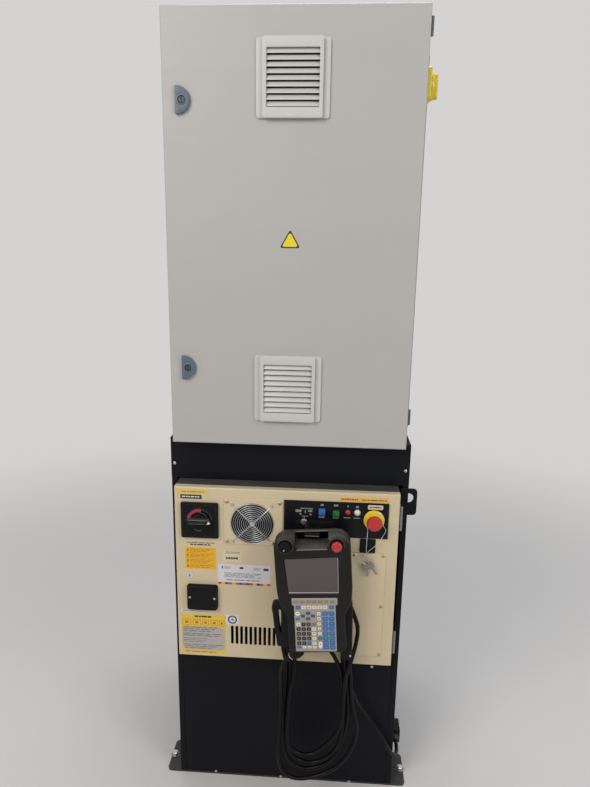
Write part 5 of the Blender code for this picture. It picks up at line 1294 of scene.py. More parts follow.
@dataclass
class PendantCable(SubAssembly):
    """The pendant's cable: four hanging loops over its hook, and the tail into the gland."""

    body: str = "controller_door"
    diameter: float = 0.011
    hook_x: float = 0.083
    shoulder_z: float = 0.560
    top_steps: int = 7
    start: tuple[Place, ...] = (
        (0.0113, -0.3790, 0.5069), (0.0047, -0.3788, 0.4993), (-0.0003, -0.3775, 0.4906),
        (-0.0036, -0.3752, 0.4812), (-0.0058, -0.3718, 0.4714), (-0.0076, -0.3655, 0.4566),
        (-0.0083, -0.3585, 0.4400), (-0.0084, -0.3500, 0.4150), (-0.0081, -0.3430, 0.3800))
    first: tuple[Stretch, ...] = (
        Stretch((FRONT, FRONT), (
            (-0.0080, 0.3450), (-0.0085, 0.3000), (-0.0097, 0.2550), (-0.0118, 0.2150),
            (-0.0127, 0.1800), (-0.0108, 0.1520), (-0.0045, 0.1285), (0.0070, 0.1105),
            (0.0225, 0.0995), (0.0430, 0.0962))),
        Stretch((FRONT, MIDDLE), (
            (0.0650, 0.0985), (0.0860, 0.1030), (0.1060, 0.1105), (0.1270, 0.1215),
            (0.1470, 0.1360), (0.1630, 0.1520), (0.1765, 0.1710), (0.1870, 0.1930),
            (0.1960, 0.2180), (0.2010, 0.2420))),
        Stretch((MIDDLE, MIDDLE), (
            (0.2020, 0.2650), (0.1980, 0.2890), (0.1925, 0.3120), (0.1880, 0.3360),
            (0.1830, 0.3780), (0.1795, 0.4250), (0.1762, 0.4550), (0.1740, 0.4840),
            (0.1728, 0.5130))))
    second: tuple[Stretch, ...] = (
        Stretch((MIDDLE, MIDDLE), (
            (-0.0066, 0.5400), (-0.0060, 0.5200), (-0.0040, 0.5030), (-0.0008, 0.4870),
            (0.0030, 0.4690), (0.0050, 0.4450), (0.0045, 0.4050), (0.0020, 0.3500))),
        Stretch((-0.3260, REAR), ((0.0000, 0.3000), (-0.0010, 0.2500))),
        Stretch((REAR, REAR), (
            (0.0000, 0.2100), (0.0040, 0.1760), (0.0120, 0.1480), (0.0250, 0.1270),
            (0.0440, 0.1130), (0.0680, 0.1095), (0.0895, 0.1143), (0.1070, 0.1222),
            (0.1240, 0.1340), (0.1370, 0.1490), (0.1470, 0.1650), (0.1545, 0.1820),
            (0.1600, 0.2000), (0.1650, 0.2200), (0.1700, 0.2450))),
        Stretch((-0.3220, MIDDLE), ((0.1740, 0.2750), (0.1765, 0.3100), (0.1760, 0.3360))),
        Stretch((MIDDLE, MIDDLE), (
            (0.1718, 0.3780), (0.1685, 0.4250), (0.1652, 0.4550), (0.1630, 0.4840),
            (0.1618, 0.5130))))
    third: tuple[Stretch, ...] = (
        Stretch((MIDDLE, MIDDLE), (
            (0.0048, 0.5400), (0.0054, 0.5200), (0.0074, 0.5030), (0.0105, 0.4870),
            (0.0143, 0.4690), (0.0163, 0.4450), (0.0158, 0.4050), (0.0132, 0.3500),
            (0.0112, 0.3000), (0.0100, 0.2500), (0.0112, 0.2120), (0.0155, 0.1850),
            (0.0250, 0.1645), (0.0400, 0.1500), (0.0610, 0.1425), (0.0820, 0.1425),
            (0.1010, 0.1485), (0.1190, 0.1605), (0.1340, 0.1745), (0.1450, 0.1900),
            (0.1530, 0.2080), (0.1580, 0.2300), (0.1610, 0.2550), (0.1630, 0.2850),
            (0.1645, 0.3200), (0.1630, 0.3550), (0.1600, 0.3900), (0.1560, 0.4200),
            (0.1500, 0.4450), (0.1400, 0.4730), (0.1246, 0.5008), (0.1010, 0.5330))),
        Stretch((-0.3320, FRONT), ((0.0770, 0.5650), (0.0610, 0.5960), (0.0565, 0.6250),
                                   (0.0680, 0.6520))))
    fourth: tuple[Stretch, ...] = (
        Stretch((FRONT, FRONT), (
            (0.0950, 0.6690), (0.1250, 0.6720), (0.1500, 0.6650), (0.1680, 0.6500),
            (0.1785, 0.6280), (0.1860, 0.6080), (0.1912, 0.5900), (0.1930, 0.5720),
            (0.1917, 0.5540), (0.1882, 0.5286), (0.1835, 0.5040), (0.1775, 0.4780),
            (0.1715, 0.4550), (0.1660, 0.4300), (0.1630, 0.4000), (0.1625, 0.3700),
            (0.1625, 0.3350), (0.1605, 0.3030), (0.1550, 0.2750), (0.1460, 0.2520),
            (0.1345, 0.2330), (0.1215, 0.2170), (0.1080, 0.2025), (0.0940, 0.1890),
            (0.0790, 0.1800), (0.0620, 0.1770), (0.0450, 0.1800), (0.0300, 0.1890),
            (0.0195, 0.2020), (0.0140, 0.2200), (0.0120, 0.2500), (0.0130, 0.3000),
            (0.0145, 0.3450), (0.0180, 0.3800), (0.0250, 0.4150), (0.0285, 0.4450))),
        Stretch((-0.3380, -0.3220), ((0.0285, 0.4700), (0.0260, 0.4950), (0.0215, 0.5250))))
    tail: tuple[Place, ...] = (
        (0.1550, -0.3190, 0.530), (0.1552, -0.3190, 0.500), (0.1575, -0.3190, 0.465),
        (0.1640, -0.3185, 0.430), (0.1745, -0.3160, 0.398), (0.1855, -0.3105, 0.370),
        (0.1950, -0.3030, 0.342), (0.2050, -0.2930, 0.315), (0.2180, -0.2840, 0.288),
        (0.2360, -0.2770, 0.258), (0.2700, -0.2740, 0.202), (0.2940, -0.2740, 0.158),
        (0.3130, -0.2640, 0.124), (0.3260, -0.2440, 0.109), (0.3305, -0.2230, 0.1052),
        (0.3310, -0.2080, 0.105), (0.3310, -0.1935, 0.105))

    def build(self) -> None:
        route = [Vector(point) for point in self.start]
        route += [point for stretch in self.first for point in stretch.route()]
        route += self.over_top(0.1722, -0.0062, 0.6745, MIDDLE)
        route += [point for stretch in self.second for point in stretch.route()]
        route += self.over_top(0.1612, 0.0052, 0.6635, MIDDLE)
        route += [point for stretch in self.third + self.fourth for point in stretch.route()]
        route += list(reversed(self.over_top(0.1555, 0.0185, 0.6635, REAR)))
        route += [Vector(point) for point in self.tail]
        centres = through(route, self.diameter * 0.6)
        length = sum((b - a).length for a, b in zip(centres, centres[1:]))
        LOG.info("pendant cable measures %.3f m", length)
        cable = dress(cord_mesh("pendant_cable", centres, self.diameter / 2), FINISH.jacket)
        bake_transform(cable)
        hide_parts("pendant_cable_coil", "pendant_cable_drop", "pendant_cable_tail")

    def over_top(self, right: float, left: float, top: float, depth: float) -> list[Vector]:
        """Return the points over the hook, from the right side to the left one.

        Args:
            right: Where the right side starts.
            left: Where the left side ends.
            top: The height over the hook.
            depth: The plane that it hangs in.

        Returns:
            The points.
        """
        points = []
        for step in range(self.top_steps + 1):
            angle = math.pi * step / self.top_steps
            side = right if angle < math.pi / 2 else left
            reach = abs(math.cos(angle)) ** 0.66
            points.append(Vector((self.hook_x + (side - self.hook_x) * reach, depth,
                                  self.shoulder_z
                                  + (top - self.shoulder_z) * max(math.sin(angle), 0.0) ** 0.8)))
        return points


@dataclass
class KeyTether(SubAssembly):
    """The thin cord that the keys hang on, and the keys."""

    body: str = "controller_door"
    diameter: float = 0.0016
    ring_centre: Place = (0.2085, -0.3243, 0.7710)

    def build(self) -> None:
        keys = self.keys()
        points = ((0.2076, -0.3189, 0.8611), (0.2081, -0.3209, 0.8491), (0.2065, -0.3283, 0.826),
                  (0.2065, -0.3283, 0.798), (0.2075, -0.3277, 0.786), (0.2085, -0.3243, 0.780),
                  (0.2095, -0.3209, 0.786), (0.2145, -0.3203, 0.794), (0.2290, -0.3203, 0.808),
                  (0.2440, -0.3203, 0.830), (0.2530, -0.3283, 0.858), (0.2487, -0.3219, 0.8627),
                  (0.2447, -0.3189, 0.8717))
        centres = through(points, 0.0016)
        tether = dress(cord_mesh("key_tether_cord", centres, self.diameter / 2, 8),
                       FINISH.white_ink)
        self.add(tether, "bright_steel", "key_tether")

    def keys(self) -> Piece:
        """Return two flat keys on their split ring.

        Returns:
            The keys and the ring as one piece.
        """
        x, y, z = self.ring_centre
        ring_line = [(px, y, pz) for px, pz in circle((x, z), 0.0130, 40)]
        ring = dress(wire("ring", ring_line, 0.0009, closed=True), FINISH.steel)
        second_line = [(px, y + 0.0012, pz) for px, pz in circle((x, z), 0.0128, 40)]
        pieces = [ring, dress(wire("ring_turn", second_line, 0.0008, closed=True), FINISH.steel)]
        bow = rounded((0.0, -0.0060), (0.0190, 0.0200), 0.0080, 6)
        blade = prism("blade", self.blade_outline(), -0.0008, 0.0008, edge=0.0002)
        plate = prism("bow", bow, -0.0010, 0.0010, [circle((0.0, 0.0), 0.0026, 16)],
                      edge=0.0003)
        placings = []
        for angle, shift in ((34.0, -0.0016), (4.0, 0.0016)):
            turn = Matrix.Rotation(math.radians(-angle), 4, "Y")
            hang = turn @ Vector((0.0, 0.0, -0.0130))
            placings.append(((x + hang.x, y + shift, z + hang.z), turn))
        pieces += [dress(key, FINISH.dark_steel)
                   for key in repeat(join("key", [plate, blade]), placings)]
        return self.add(join("switch_keys", pieces), "bright_steel", "keys")

    @staticmethod
    def blade_outline() -> Outline:
        """Return a key blade's outline with its cut bits.

        Returns:
            The outline's points.
        """
        outline: Outline = [(0.0030, -0.0150), (0.0030, -0.0330), (0.0005, -0.0360),
                            (-0.0025, -0.0340)]
        for step in range(5):
            z = -0.0325 + 0.0034 * step
            depth = (0.0008, 0.0016, 0.0004, 0.0014, 0.0006)[step]
            outline += [(-0.0030, z), (-0.0030 + depth, z + 0.0012), (-0.0030 + depth, z + 0.0020)]
        return outline + [(-0.0030, -0.0150)]


@dataclass
class Stand(SubAssembly):
    """The dark floor stand."""

    upper_screws: tuple[Flat, ...] = ((-0.3052, 0.9889), (0.3039, 0.9905))
    lower_screws: tuple[Flat, ...] = ((-0.0121, 0.0065), (0.1915, 0.0042),
                                      (-0.2088, 0.0096), (0.2424, 0.4004))
    foot_bolts: tuple[Flat, ...] = ((-0.3480, -0.1925), (0.3480, -0.1925), (-0.3480, 0.1925),
                                    (0.3480, 0.1925))

    def build(self) -> None:
        """Dress the stand and add its screws and foot bolts."""
        self.coat(FINISH.foot, "base_plate", edge=0.0008)
        self.coat(FINISH.dark, "stand_side_left", "stand_side_right", "lower_panel", "upper_panel",
                  "stand_top", "shelf", "stand_back", "rear_frame", "lifting_lug", edge=0.0008)
        heads = screws("upper_screw", self.upper_screws, UPPER_PANEL_FACE, 0.0042, 0.0026,
                       FINISH.steel)
        heads += screws("lower_screw", self.lower_screws, STAND_FACE, 0.0042, 0.0026,
                        FINISH.steel)
        self.add(join("stand_screws", heads), "bright_steel")
        washer = lathe("washer", [(0.0, 0.0), (0.0125, 0.0), (0.0125, 0.0018), (0.0, 0.0018)],
                       (0.0, 0.0, 0.005), "Z", 28, 0.0003)
        head = prism("bolt_head", circle((0.0, 0.0), 0.0098, 6), 0.0066, 0.0128, axis=2,
                     edge=0.0006)
        bolt = join("bolt", [dress(washer, FINISH.dark_steel), dress(head, FINISH.steel)])
        bolts = repeat(bolt, [((x, y, 0.0), None) for x, y in self.foot_bolts])
        self.add(join("foot_bolts", bolts), "bright_steel")


@dataclass
class Breaker(SubAssembly):
    """The main breaker's square escutcheon, its dial and its lever."""

    body: str = "controller_door"
    centre: Flat = (-0.2273, 0.8568)
    half: float = 0.049
    front: float = -0.3183
    dial_front: float = -0.3233
    lever_length: float = 0.064
    lever_centre: Flat = (-0.2250, 0.8640)

    def build(self) -> None:
        """Model the escutcheon, its printed arcs and the lever."""
        x, z = self.centre
        plate = block("breaker_plate", (x - self.half, DOOR_FACE - SKIN, z - self.half),
                      (x + self.half, self.front, z + self.half), 0.0012, 0.004)
        collar = lathe("collar", [(0.0, 0.0), (0.0365, 0.0), (0.0365, 0.0012), (0.0345, 0.0022),
                                  (0.0330, 0.0022), (0.0325, 0.0010), (0.0215, 0.0010),
                                  (0.0210, 0.0048), (0.0, 0.0048)],
                       (x, self.front + SKIN, z), steps=64, edge=0.0002)
        frame_line = prism("line", rounded(self.centre, (0.088, 0.088), 0.003), self.front + SKIN,
                           self.front - 0.0004, [rounded(self.centre, (0.085, 0.085), 0.002)])
        parts = [dress(piece, FINISH.black) for piece in (plate, collar, frame_line)]
        self.add(join("breaker_escutcheon", parts), "black_plastic", "breaker_base")
        face = self.front - 0.0010
        prints = [self.arc_band("red_zone", 0.0250, 0.0318, 80.0, 180.0, face, FINISH.red_ink),
                  self.arc_band("ring", 0.0322, 0.0329, 8.0, 190.0, face, FINISH.soft_white),
                  self.arc_band("inner_ring", 0.0225, 0.0230, 20.0, 95.0, face, FINISH.soft_white),
                  self.arc_band("green_zone", 0.0255, 0.0292, 238.0, 282.0, face,
                                FINISH.green_ink)]
        self.add(join("breaker_dial_print", prints), "white_plastic")
        self.add_lever()

    def arc_band(self, name: str, inner: float, outer: float, start: float, end: float,
                 face: float, ink: Finish) -> Piece:
        """Return a printed band of a circle round the dial's centre."""
        outline = arc(self.centre, outer, start, end, 24) + arc(self.centre, inner, end, start, 24)
        return dress(prism(name, outline, face + INK, face - 0.0003), ink)

    def add_lever(self) -> None:
        """Model the lever with its hollow grip and pointer."""
        hub = lathe("hub", [(0.0, 0.0), (0.0208, 0.0), (0.0208, 0.0070), (0.0190, 0.0088),
                            (0.0, 0.0088)],
                    (self.centre[0], self.dial_front - SKIN, self.centre[1]), steps=56,
                    edge=0.0004)
        x, z = self.lever_centre
        half = self.lever_length / 2
        grip = prism("grip", self.grip_outline(), self.dial_front - 0.0080,
                     self.dial_front - 0.0200, edge=0.0012, segments=3)
        hollow = prism("hollow", rounded((x - 0.004, z + 0.0005), (half * 1.25, 0.0050), 0.0022),
                       self.dial_front - 0.0185, self.dial_front - 0.0240)
        cut(grip, hollow)
        lever = join("breaker_lever", [dress(hub, FINISH.black),
                                       dress(smooth(grip), FINISH.charcoal)])
        self.add(lever, "black_plastic", "breaker_handle", body="breaker_handle")
        top = self.dial_front - 0.0200
        arrow = [(x + half - 0.0010, z - 0.0035), (x + half - 0.0105, z - 0.0055),
                 (x + half - 0.0050, z + 0.0030)]
        edge_line = rounded((x - 0.002, z + 0.0046), (half * 1.55, 0.0009), 0.0003, 2)
        low_line = rounded((x - 0.006, z - 0.0052), (half * 1.35, 0.0008), 0.0003, 2)
        marks = [dress(prism("arrow", arrow, top + INK, top - 0.0003), FINISH.white),
                 dress(prism("edge_line", edge_line, top + INK, top - 0.0002),
                       FINISH.soft_white),
                 dress(prism("low_line", low_line, top + INK, top - 0.0002), FINISH.plate_ink)]
        self.add(join("breaker_lever_marks", marks), "white_plastic", body="breaker_handle")

    def grip_outline(self) -> Outline:
        """Return the lever's outline: a long bar with one pointed end.

        Returns:
            The outline's points.
        """
        x, z = self.lever_centre
        half = self.lever_length / 2
        return ([(x + half, z - 0.0045), (x + half - 0.006, z + 0.0055)]
                + [(x - half + 0.010, z + 0.0065)] + arc((x - half + 0.0055, z + 0.001), 0.0054,
                                                         110.0, 230.0, 6)
                + [(x - half + 0.010, z - 0.0065), (x + half - 0.010, z - 0.0065)])


@dataclass
class Fan(SubAssembly):
    """The cooling fan behind its wire guard."""

    body: str = "controller_door"
    centre: Flat = (-0.0897, 0.8516)
    plate_centre: Flat = (-0.0873, 0.8560)
    plate_half: Flat = (0.0770, 0.0640)
    rings: int = 9
    ring_pitch: float = 0.0055
    outer_ring: float = 0.0554
    wire_radius: float = 0.0007
    ear: float = 0.0740
    depths: Flat = (-0.3077, -0.2827)
    blades: int = 7
    struts: int = 3

    def build(self) -> None:
        """Model the guard, the fan and the screws round them."""
        self.add_guard()
        self.add_fan()
        x, z = self.plate_centre
        inset = 0.0085
        corners = [(x + sx * (self.plate_half[0] - inset), z + sz * (self.plate_half[1] - inset))
                   for sx in (-1, 1) for sz in (-1, 1)]
        corners[2] = (self.centre[0] + 0.0533, self.centre[1] - 0.0523)
        heads = screws("plate_screw", corners, PLATE_FACE, 0.0050, 0.0036, FINISH.brass)
        self.add(join("fan_plate_screws", heads), "bright_steel")

    def add_guard(self) -> None:
        """Weld rings of wire onto four crossing spokes."""
        x, z = self.centre
        face = PLATE_FACE
        wires = []
        for index in range(self.rings):
            radius = self.outer_ring - self.ring_pitch * index
            line = [(px, face - 0.0022, pz) for px, pz in circle((x, z), radius, 56)]
            wires.append(wire(f"ring_{index}", line, self.wire_radius, closed=True, sides=1))
        for turn in (45.0, 135.0, 225.0, 315.0):
            a = math.radians(turn)
            eye_x = x + math.cos(a) * (self.ear - 0.0018)
            eye_z = z + math.sin(a) * (self.ear - 0.0018)
            reach = (0.006, 0.030, self.outer_ring + 0.001, self.outer_ring + 0.006,
                     self.ear - 0.005)
            lifts = (-0.0028, -0.0028, -0.0028, -0.0006, -0.0003)
            line = [(x + math.cos(a) * r, face + lift - 0.0004, z + math.sin(a) * r)
                    for r, lift in zip(reach, lifts)]
            wires.append(wire(f"spoke_{turn:.0f}", line, self.wire_radius * 1.4, sides=1))
            eye = [(px, face - 0.0009, pz) for px, pz in circle((eye_x, eye_z), 0.0032, 20)]
            wires.append(wire(f"eye_{turn:.0f}", eye, self.wire_radius * 0.9, closed=True,
                              sides=1))
            head = lathe(f"eye_screw_{turn:.0f}", [(0.0, 0.0), (0.0022, 0.0), (0.0040, 0.0012),
                                                   (0.0036, 0.0026), (0.0, 0.0032)],
                         (eye_x, face, eye_z), steps=18)
            wires.append(head)
        disc = lathe("centre_disc", [(0.0, 0.0), (0.0068, 0.0), (0.0068, 0.0010), (0.0, 0.0012)],
                     (x, face - 0.0024, z), steps=28)
        wires.append(disc)
        guard = join("fan_wire_guard", [dress(piece, FINISH.zinc) for piece in wires])
        self.add(guard, "bright_steel", "fan_guard")

    def add_fan(self) -> None:
        """Model the fan's square frame, its hub and its pitched blades."""
        x, z = self.centre
        front, back = self.depths
        duct = circle(self.centre, 0.0560, 64)
        body = prism("fan_frame", rounded(self.centre, (0.119, 0.119), 0.006), front, back, [duct],
                     edge=0.0005)
        hub = lathe("fan_hub", [(0.0, 0.0), (0.0205, 0.0), (0.0205, 0.0200), (0.0188, 0.0220),
                                (0.0, 0.0220)], (x, back - 0.0005, z), steps=48, edge=0.0003)
        ring = lathe("hub_ring", [(0.0, 0.0), (0.0090, 0.0), (0.0090, 0.0004), (0.0, 0.0004)],
                     (x, front + 0.0026, z), steps=40)
        strut = block("strut", (-0.002, back - 0.003, 0.018), (0.002, back - 0.0005, 0.058))
        pieces = [dress(body, FINISH.black), dress(hub, FINISH.black),
                  dress(ring, FINISH.key_grey)]
        turned = ring_of(strut, self.struts, (x, 0.0, z))
        turned += ring_of(self.blade(), self.blades, (x, (front + back) / 2, z))
        pieces += [dress(piece, FINISH.black) for piece in turned]
        self.add(join("axial_fan", pieces), "black_plastic", "cooling_fan")

    def blade(self) -> Piece:
        """Return one twisted, swept blade, which points up.

        Returns:
            The blade, turned about the fan's centre at the origin.
        """
        rows, columns = 8, 8
        points, faces = [], []
        for row in range(rows):
            share = row / (rows - 1)
            radius = 0.0200 + 0.0335 * share
            pitch = math.radians(44 - 20 * share)
            chord = 0.020 + 0.012 * share
            sweep = math.radians(18) * share
            for column in range(columns):
                along = (column / (columns - 1) - 0.5) * chord
                camber = 0.0022 * (1 - (2 * column / (columns - 1) - 1) ** 2)
                angle = math.pi / 2 - sweep - along * math.cos(pitch) / radius
                points.append((radius * math.cos(angle), along * math.sin(pitch) - camber,
                               radius * math.sin(angle)))
        for row in range(rows - 1):
            for column in range(columns - 1):
                low = row * columns + column
                faces.append((low, low + 1, low + 1 + columns, low + columns))
        mesh = bpy.data.meshes.new("blade")
        mesh.from_pydata(points, [], faces)
        piece = new_object("blade", mesh)
        wall = piece.modifiers.new("wall", "SOLIDIFY")
        wall.thickness = 0.0014
        wall.offset = 0.0
        open_mesh(settle(piece))
        close_mesh()
        return smooth(piece, 50.0)


@dataclass
class OperatorPanel(SubAssembly):
    """The black operator panel's buttons, lamps, key switch and stop button."""

    body: str = "controller_door"
    stop: Flat = (0.2235, 0.8770)
    key_switch: Flat = (0.0444, 0.8658)
    reset: Flat = (0.0902, 0.8948)
    start: Flat = (0.1261, 0.8911)
    red_lamp: Flat = (0.1562, 0.8955)
    white_lamp: Flat = (0.1804, 0.8954)
    button_half: float = 0.0085
    cap_back: float = -0.3063
    cap_front: float = -0.3198

    def build(self) -> None:
        """Model every piece of the panel."""
        self.coat(FINISH.panel_black, "operator_panel", edge=0.0006)
        self.add_button("reset_cap", self.reset, FINISH.blue, "reset_button")
        self.add_button("start_cap", self.start, FINISH.green, "start_button")
        self.add_lamp("red_lamp_lens", self.red_lamp, FINISH.red, "red_lamp")
        self.add_lamp("white_lamp_lens", self.white_lamp, FINISH.white, "white_lamp")
        self.add_stop()
        self.add_key_switch()
        self.add_print()

    def add_button(self, name: str, place: Flat, finish: Finish, node: str) -> None:
        """Model a square push button with a dished, raised cap.

        Args:
            name: The piece's name.
            place: The button's centre on the panel.
            finish: The cap's finish.
            node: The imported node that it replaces, whose name its body shares.
        """
        (x, z), half = place, self.button_half
        cap = block(name, (x - half, self.cap_back, z - half),
                    (x + half, self.cap_front, z + half), 0.0012, 0.0016)
        ridge = prism("ridge", rounded(place, (0.0128, 0.0128), 0.0018),
                      self.cap_front + 0.0002, self.cap_front - 0.0005,
                      [rounded(place, (0.0112, 0.0112), 0.0012)], edge=0.0001)
        self.add(join(name, [dress(cap, finish), dress(ridge, finish)]), finish.slot, node,
                 body=node)

    @staticmethod
    def let_in(place: Flat) -> Place:
        """Return a place on the panel that is let in by a skin."""
        return (place[0], PANEL_FACE - SKIN, place[1])

    def add_lamp(self, name: str, place: Flat, finish: Finish, node: str) -> None:
        """Model a domed pilot lamp in its bezel.

        Args:
            name: The piece's name.
            place: The lamp's centre on the panel.
            finish: The lens's finish.
            node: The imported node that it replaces.
        """
        bezel = lathe("bezel", [(0.0, 0.0), (0.0085, 0.0), (0.0085, 0.0018), (0.0074, 0.0026),
                                (0.0, 0.0026)], self.let_in(place), steps=36, edge=0.0002)
        dome = [(0.0066 * math.cos(a), 0.0022 + 0.0038 * math.sin(a))
                for a in [math.pi / 2 * i / 7 for i in range(8)]]
        lens = lathe("lens", [(0.0, 0.0020), (0.0066, 0.0020), *dome[:-1], (0.0, 0.0060)],
                     self.let_in(place), steps=36)
        bezel_finish = FINISH.silver_label if finish is FINISH.white else FINISH.black
        self.add(join(name, [dress(lens, finish), dress(bezel, bezel_finish)]), finish.slot, node)

    def add_stop(self) -> None:
        """Model the stop button's yellow disc and its red mushroom."""
        x, z = self.stop
        disc = lathe("disc", [(0.0, 0.0), (0.0265, 0.0), (0.0265, 0.0030), (0.0250, 0.0040),
                              (0.0140, 0.0040), (0.0136, 0.0100), (0.0095, 0.0100),
                              (0.0095, 0.0008), (0.0, 0.0008)],
                     self.let_in(self.stop), steps=64, edge=0.0003)
        clip_outline = arc((x, z), 0.0262, 38.0, 62.0, 4) + arc((x, z), 0.0215, 62.0, 38.0, 4)
        clip = prism("clip", clip_outline, PANEL_FACE - 0.0041, PANEL_FACE - 0.0058,
                     edge=0.0002)
        self.add(join("stop_disc", [dress(disc, FINISH.yellow), dress(clip, FINISH.white)]),
                 "yellow_plastic", "stop_collar")
        profile = [(0.0, 0.0035), (0.0078, 0.0035), (0.0078, 0.0128), (0.0185, 0.0135),
                   (0.0198, 0.0155), (0.0200, 0.0185), (0.0193, 0.0222), (0.0172, 0.0250),
                   (0.0130, 0.0262), (0.0080, 0.0264), (0.0, 0.0262)]
        cap = lathe("stop_mushroom", profile, (x, -0.3182, z), steps=64)
        self.add(dress(smooth(cap, ROUND_ANGLE), FINISH.red), "red_plastic", "stop_button",
                 body="stop_button")

    def add_key_switch(self) -> None:
        """Model the mode switch's ring and slotted barrel."""
        x, z = self.key_switch
        ring = lathe("switch_ring", [(0.0, 0.0), (0.0080, 0.0), (0.0080, 0.0030), (0.0070, 0.0045),
                                     (0.0056, 0.0045), (0.0052, 0.0034), (0.0, 0.0034)],
                     self.let_in(self.key_switch), steps=44, edge=0.0002)
        barrel = lathe("barrel", [(0.0, 0.0), (0.0048, 0.0), (0.0048, 0.0066), (0.0042, 0.0070),
                                  (0.0, 0.0070)], self.let_in(self.key_switch), steps=36)
        slot = block("keyway", (x - 0.0010, PANEL_FACE - 0.0046, z - 0.0032),
                     (x + 0.0010, PANEL_FACE - 0.0090, z + 0.0032), 0.0)
        cut(barrel, slot)
        pieces = [dress(ring, FINISH.steel), dress(barrel, FINISH.dark_steel)]
        self.add(join("mode_switch_barrel", pieces), "bright_steel", "mode_switch",
                 body="mode_switch")

    def add_print(self) -> None:
        """Print the plain marks over and under the buttons, and the pale label."""
        ink = FINISH.soft_white
        face = PANEL_FACE
        marks = []
        for x, z, width in ((0.0902, 0.9125, 0.0075), (0.1258, 0.9125, 0.0110),
                            (0.1562, 0.9115, 0.0030), (0.1800, 0.9105, 0.0075)):
            marks.append(Mark((x, z), (width, 0.0050), ink))
        for x, z, width, rows in ((0.0902, 0.8800, 0.0160, 2), (0.1261, 0.8780, 0.0150, 1),
                                  (0.1548, 0.8800, 0.0170, 1), (0.1800, 0.8800, 0.0160, 1)):
            marks += text_rows((x, z), (width, 0.0036 * rows), rows, ink, 0.62, (0.45, 0.40))
        marks += text_rows((0.0520, 0.9010), (0.0330, 0.0040), 1, ink, 0.7, (0.3, 0.22, 0.36))
        marks += [Mark((0.0300, 0.8940), (0.0150, 0.0070), ink),
                  Mark((0.0475, 0.8925), (0.0030, 0.0085), ink),
                  Mark((0.0600, 0.8945), (0.0110, 0.0050), ink),
                  Mark((0.0350, 0.8855), (0.0050, 0.0040), ink),
                  Mark((0.0610, 0.8850), (0.0055, 0.0040), ink),
                  Mark((0.0470, 0.8800), (0.0180, 0.0014), ink),
                  Mark((0.0450, 0.8765), (0.0016, 0.0060), ink)]
        self.add(print_marks("panel_print", face, marks), "white_plastic")
        label = [Mark((0.2260, 0.9112), (0.0385, 0.0120), FINISH.cream_label)]
        self.add(print_marks("panel_label", face, label, 0.0002), "yellow_plastic")
        words = text_rows((0.2260, 0.9112), (0.0300, 0.0038), 1, FINISH.ink, 0.8, (0.2, 0.1, 0.5))
        self.add(print_marks("panel_label_print", face - 0.0002, words), "black_plastic")


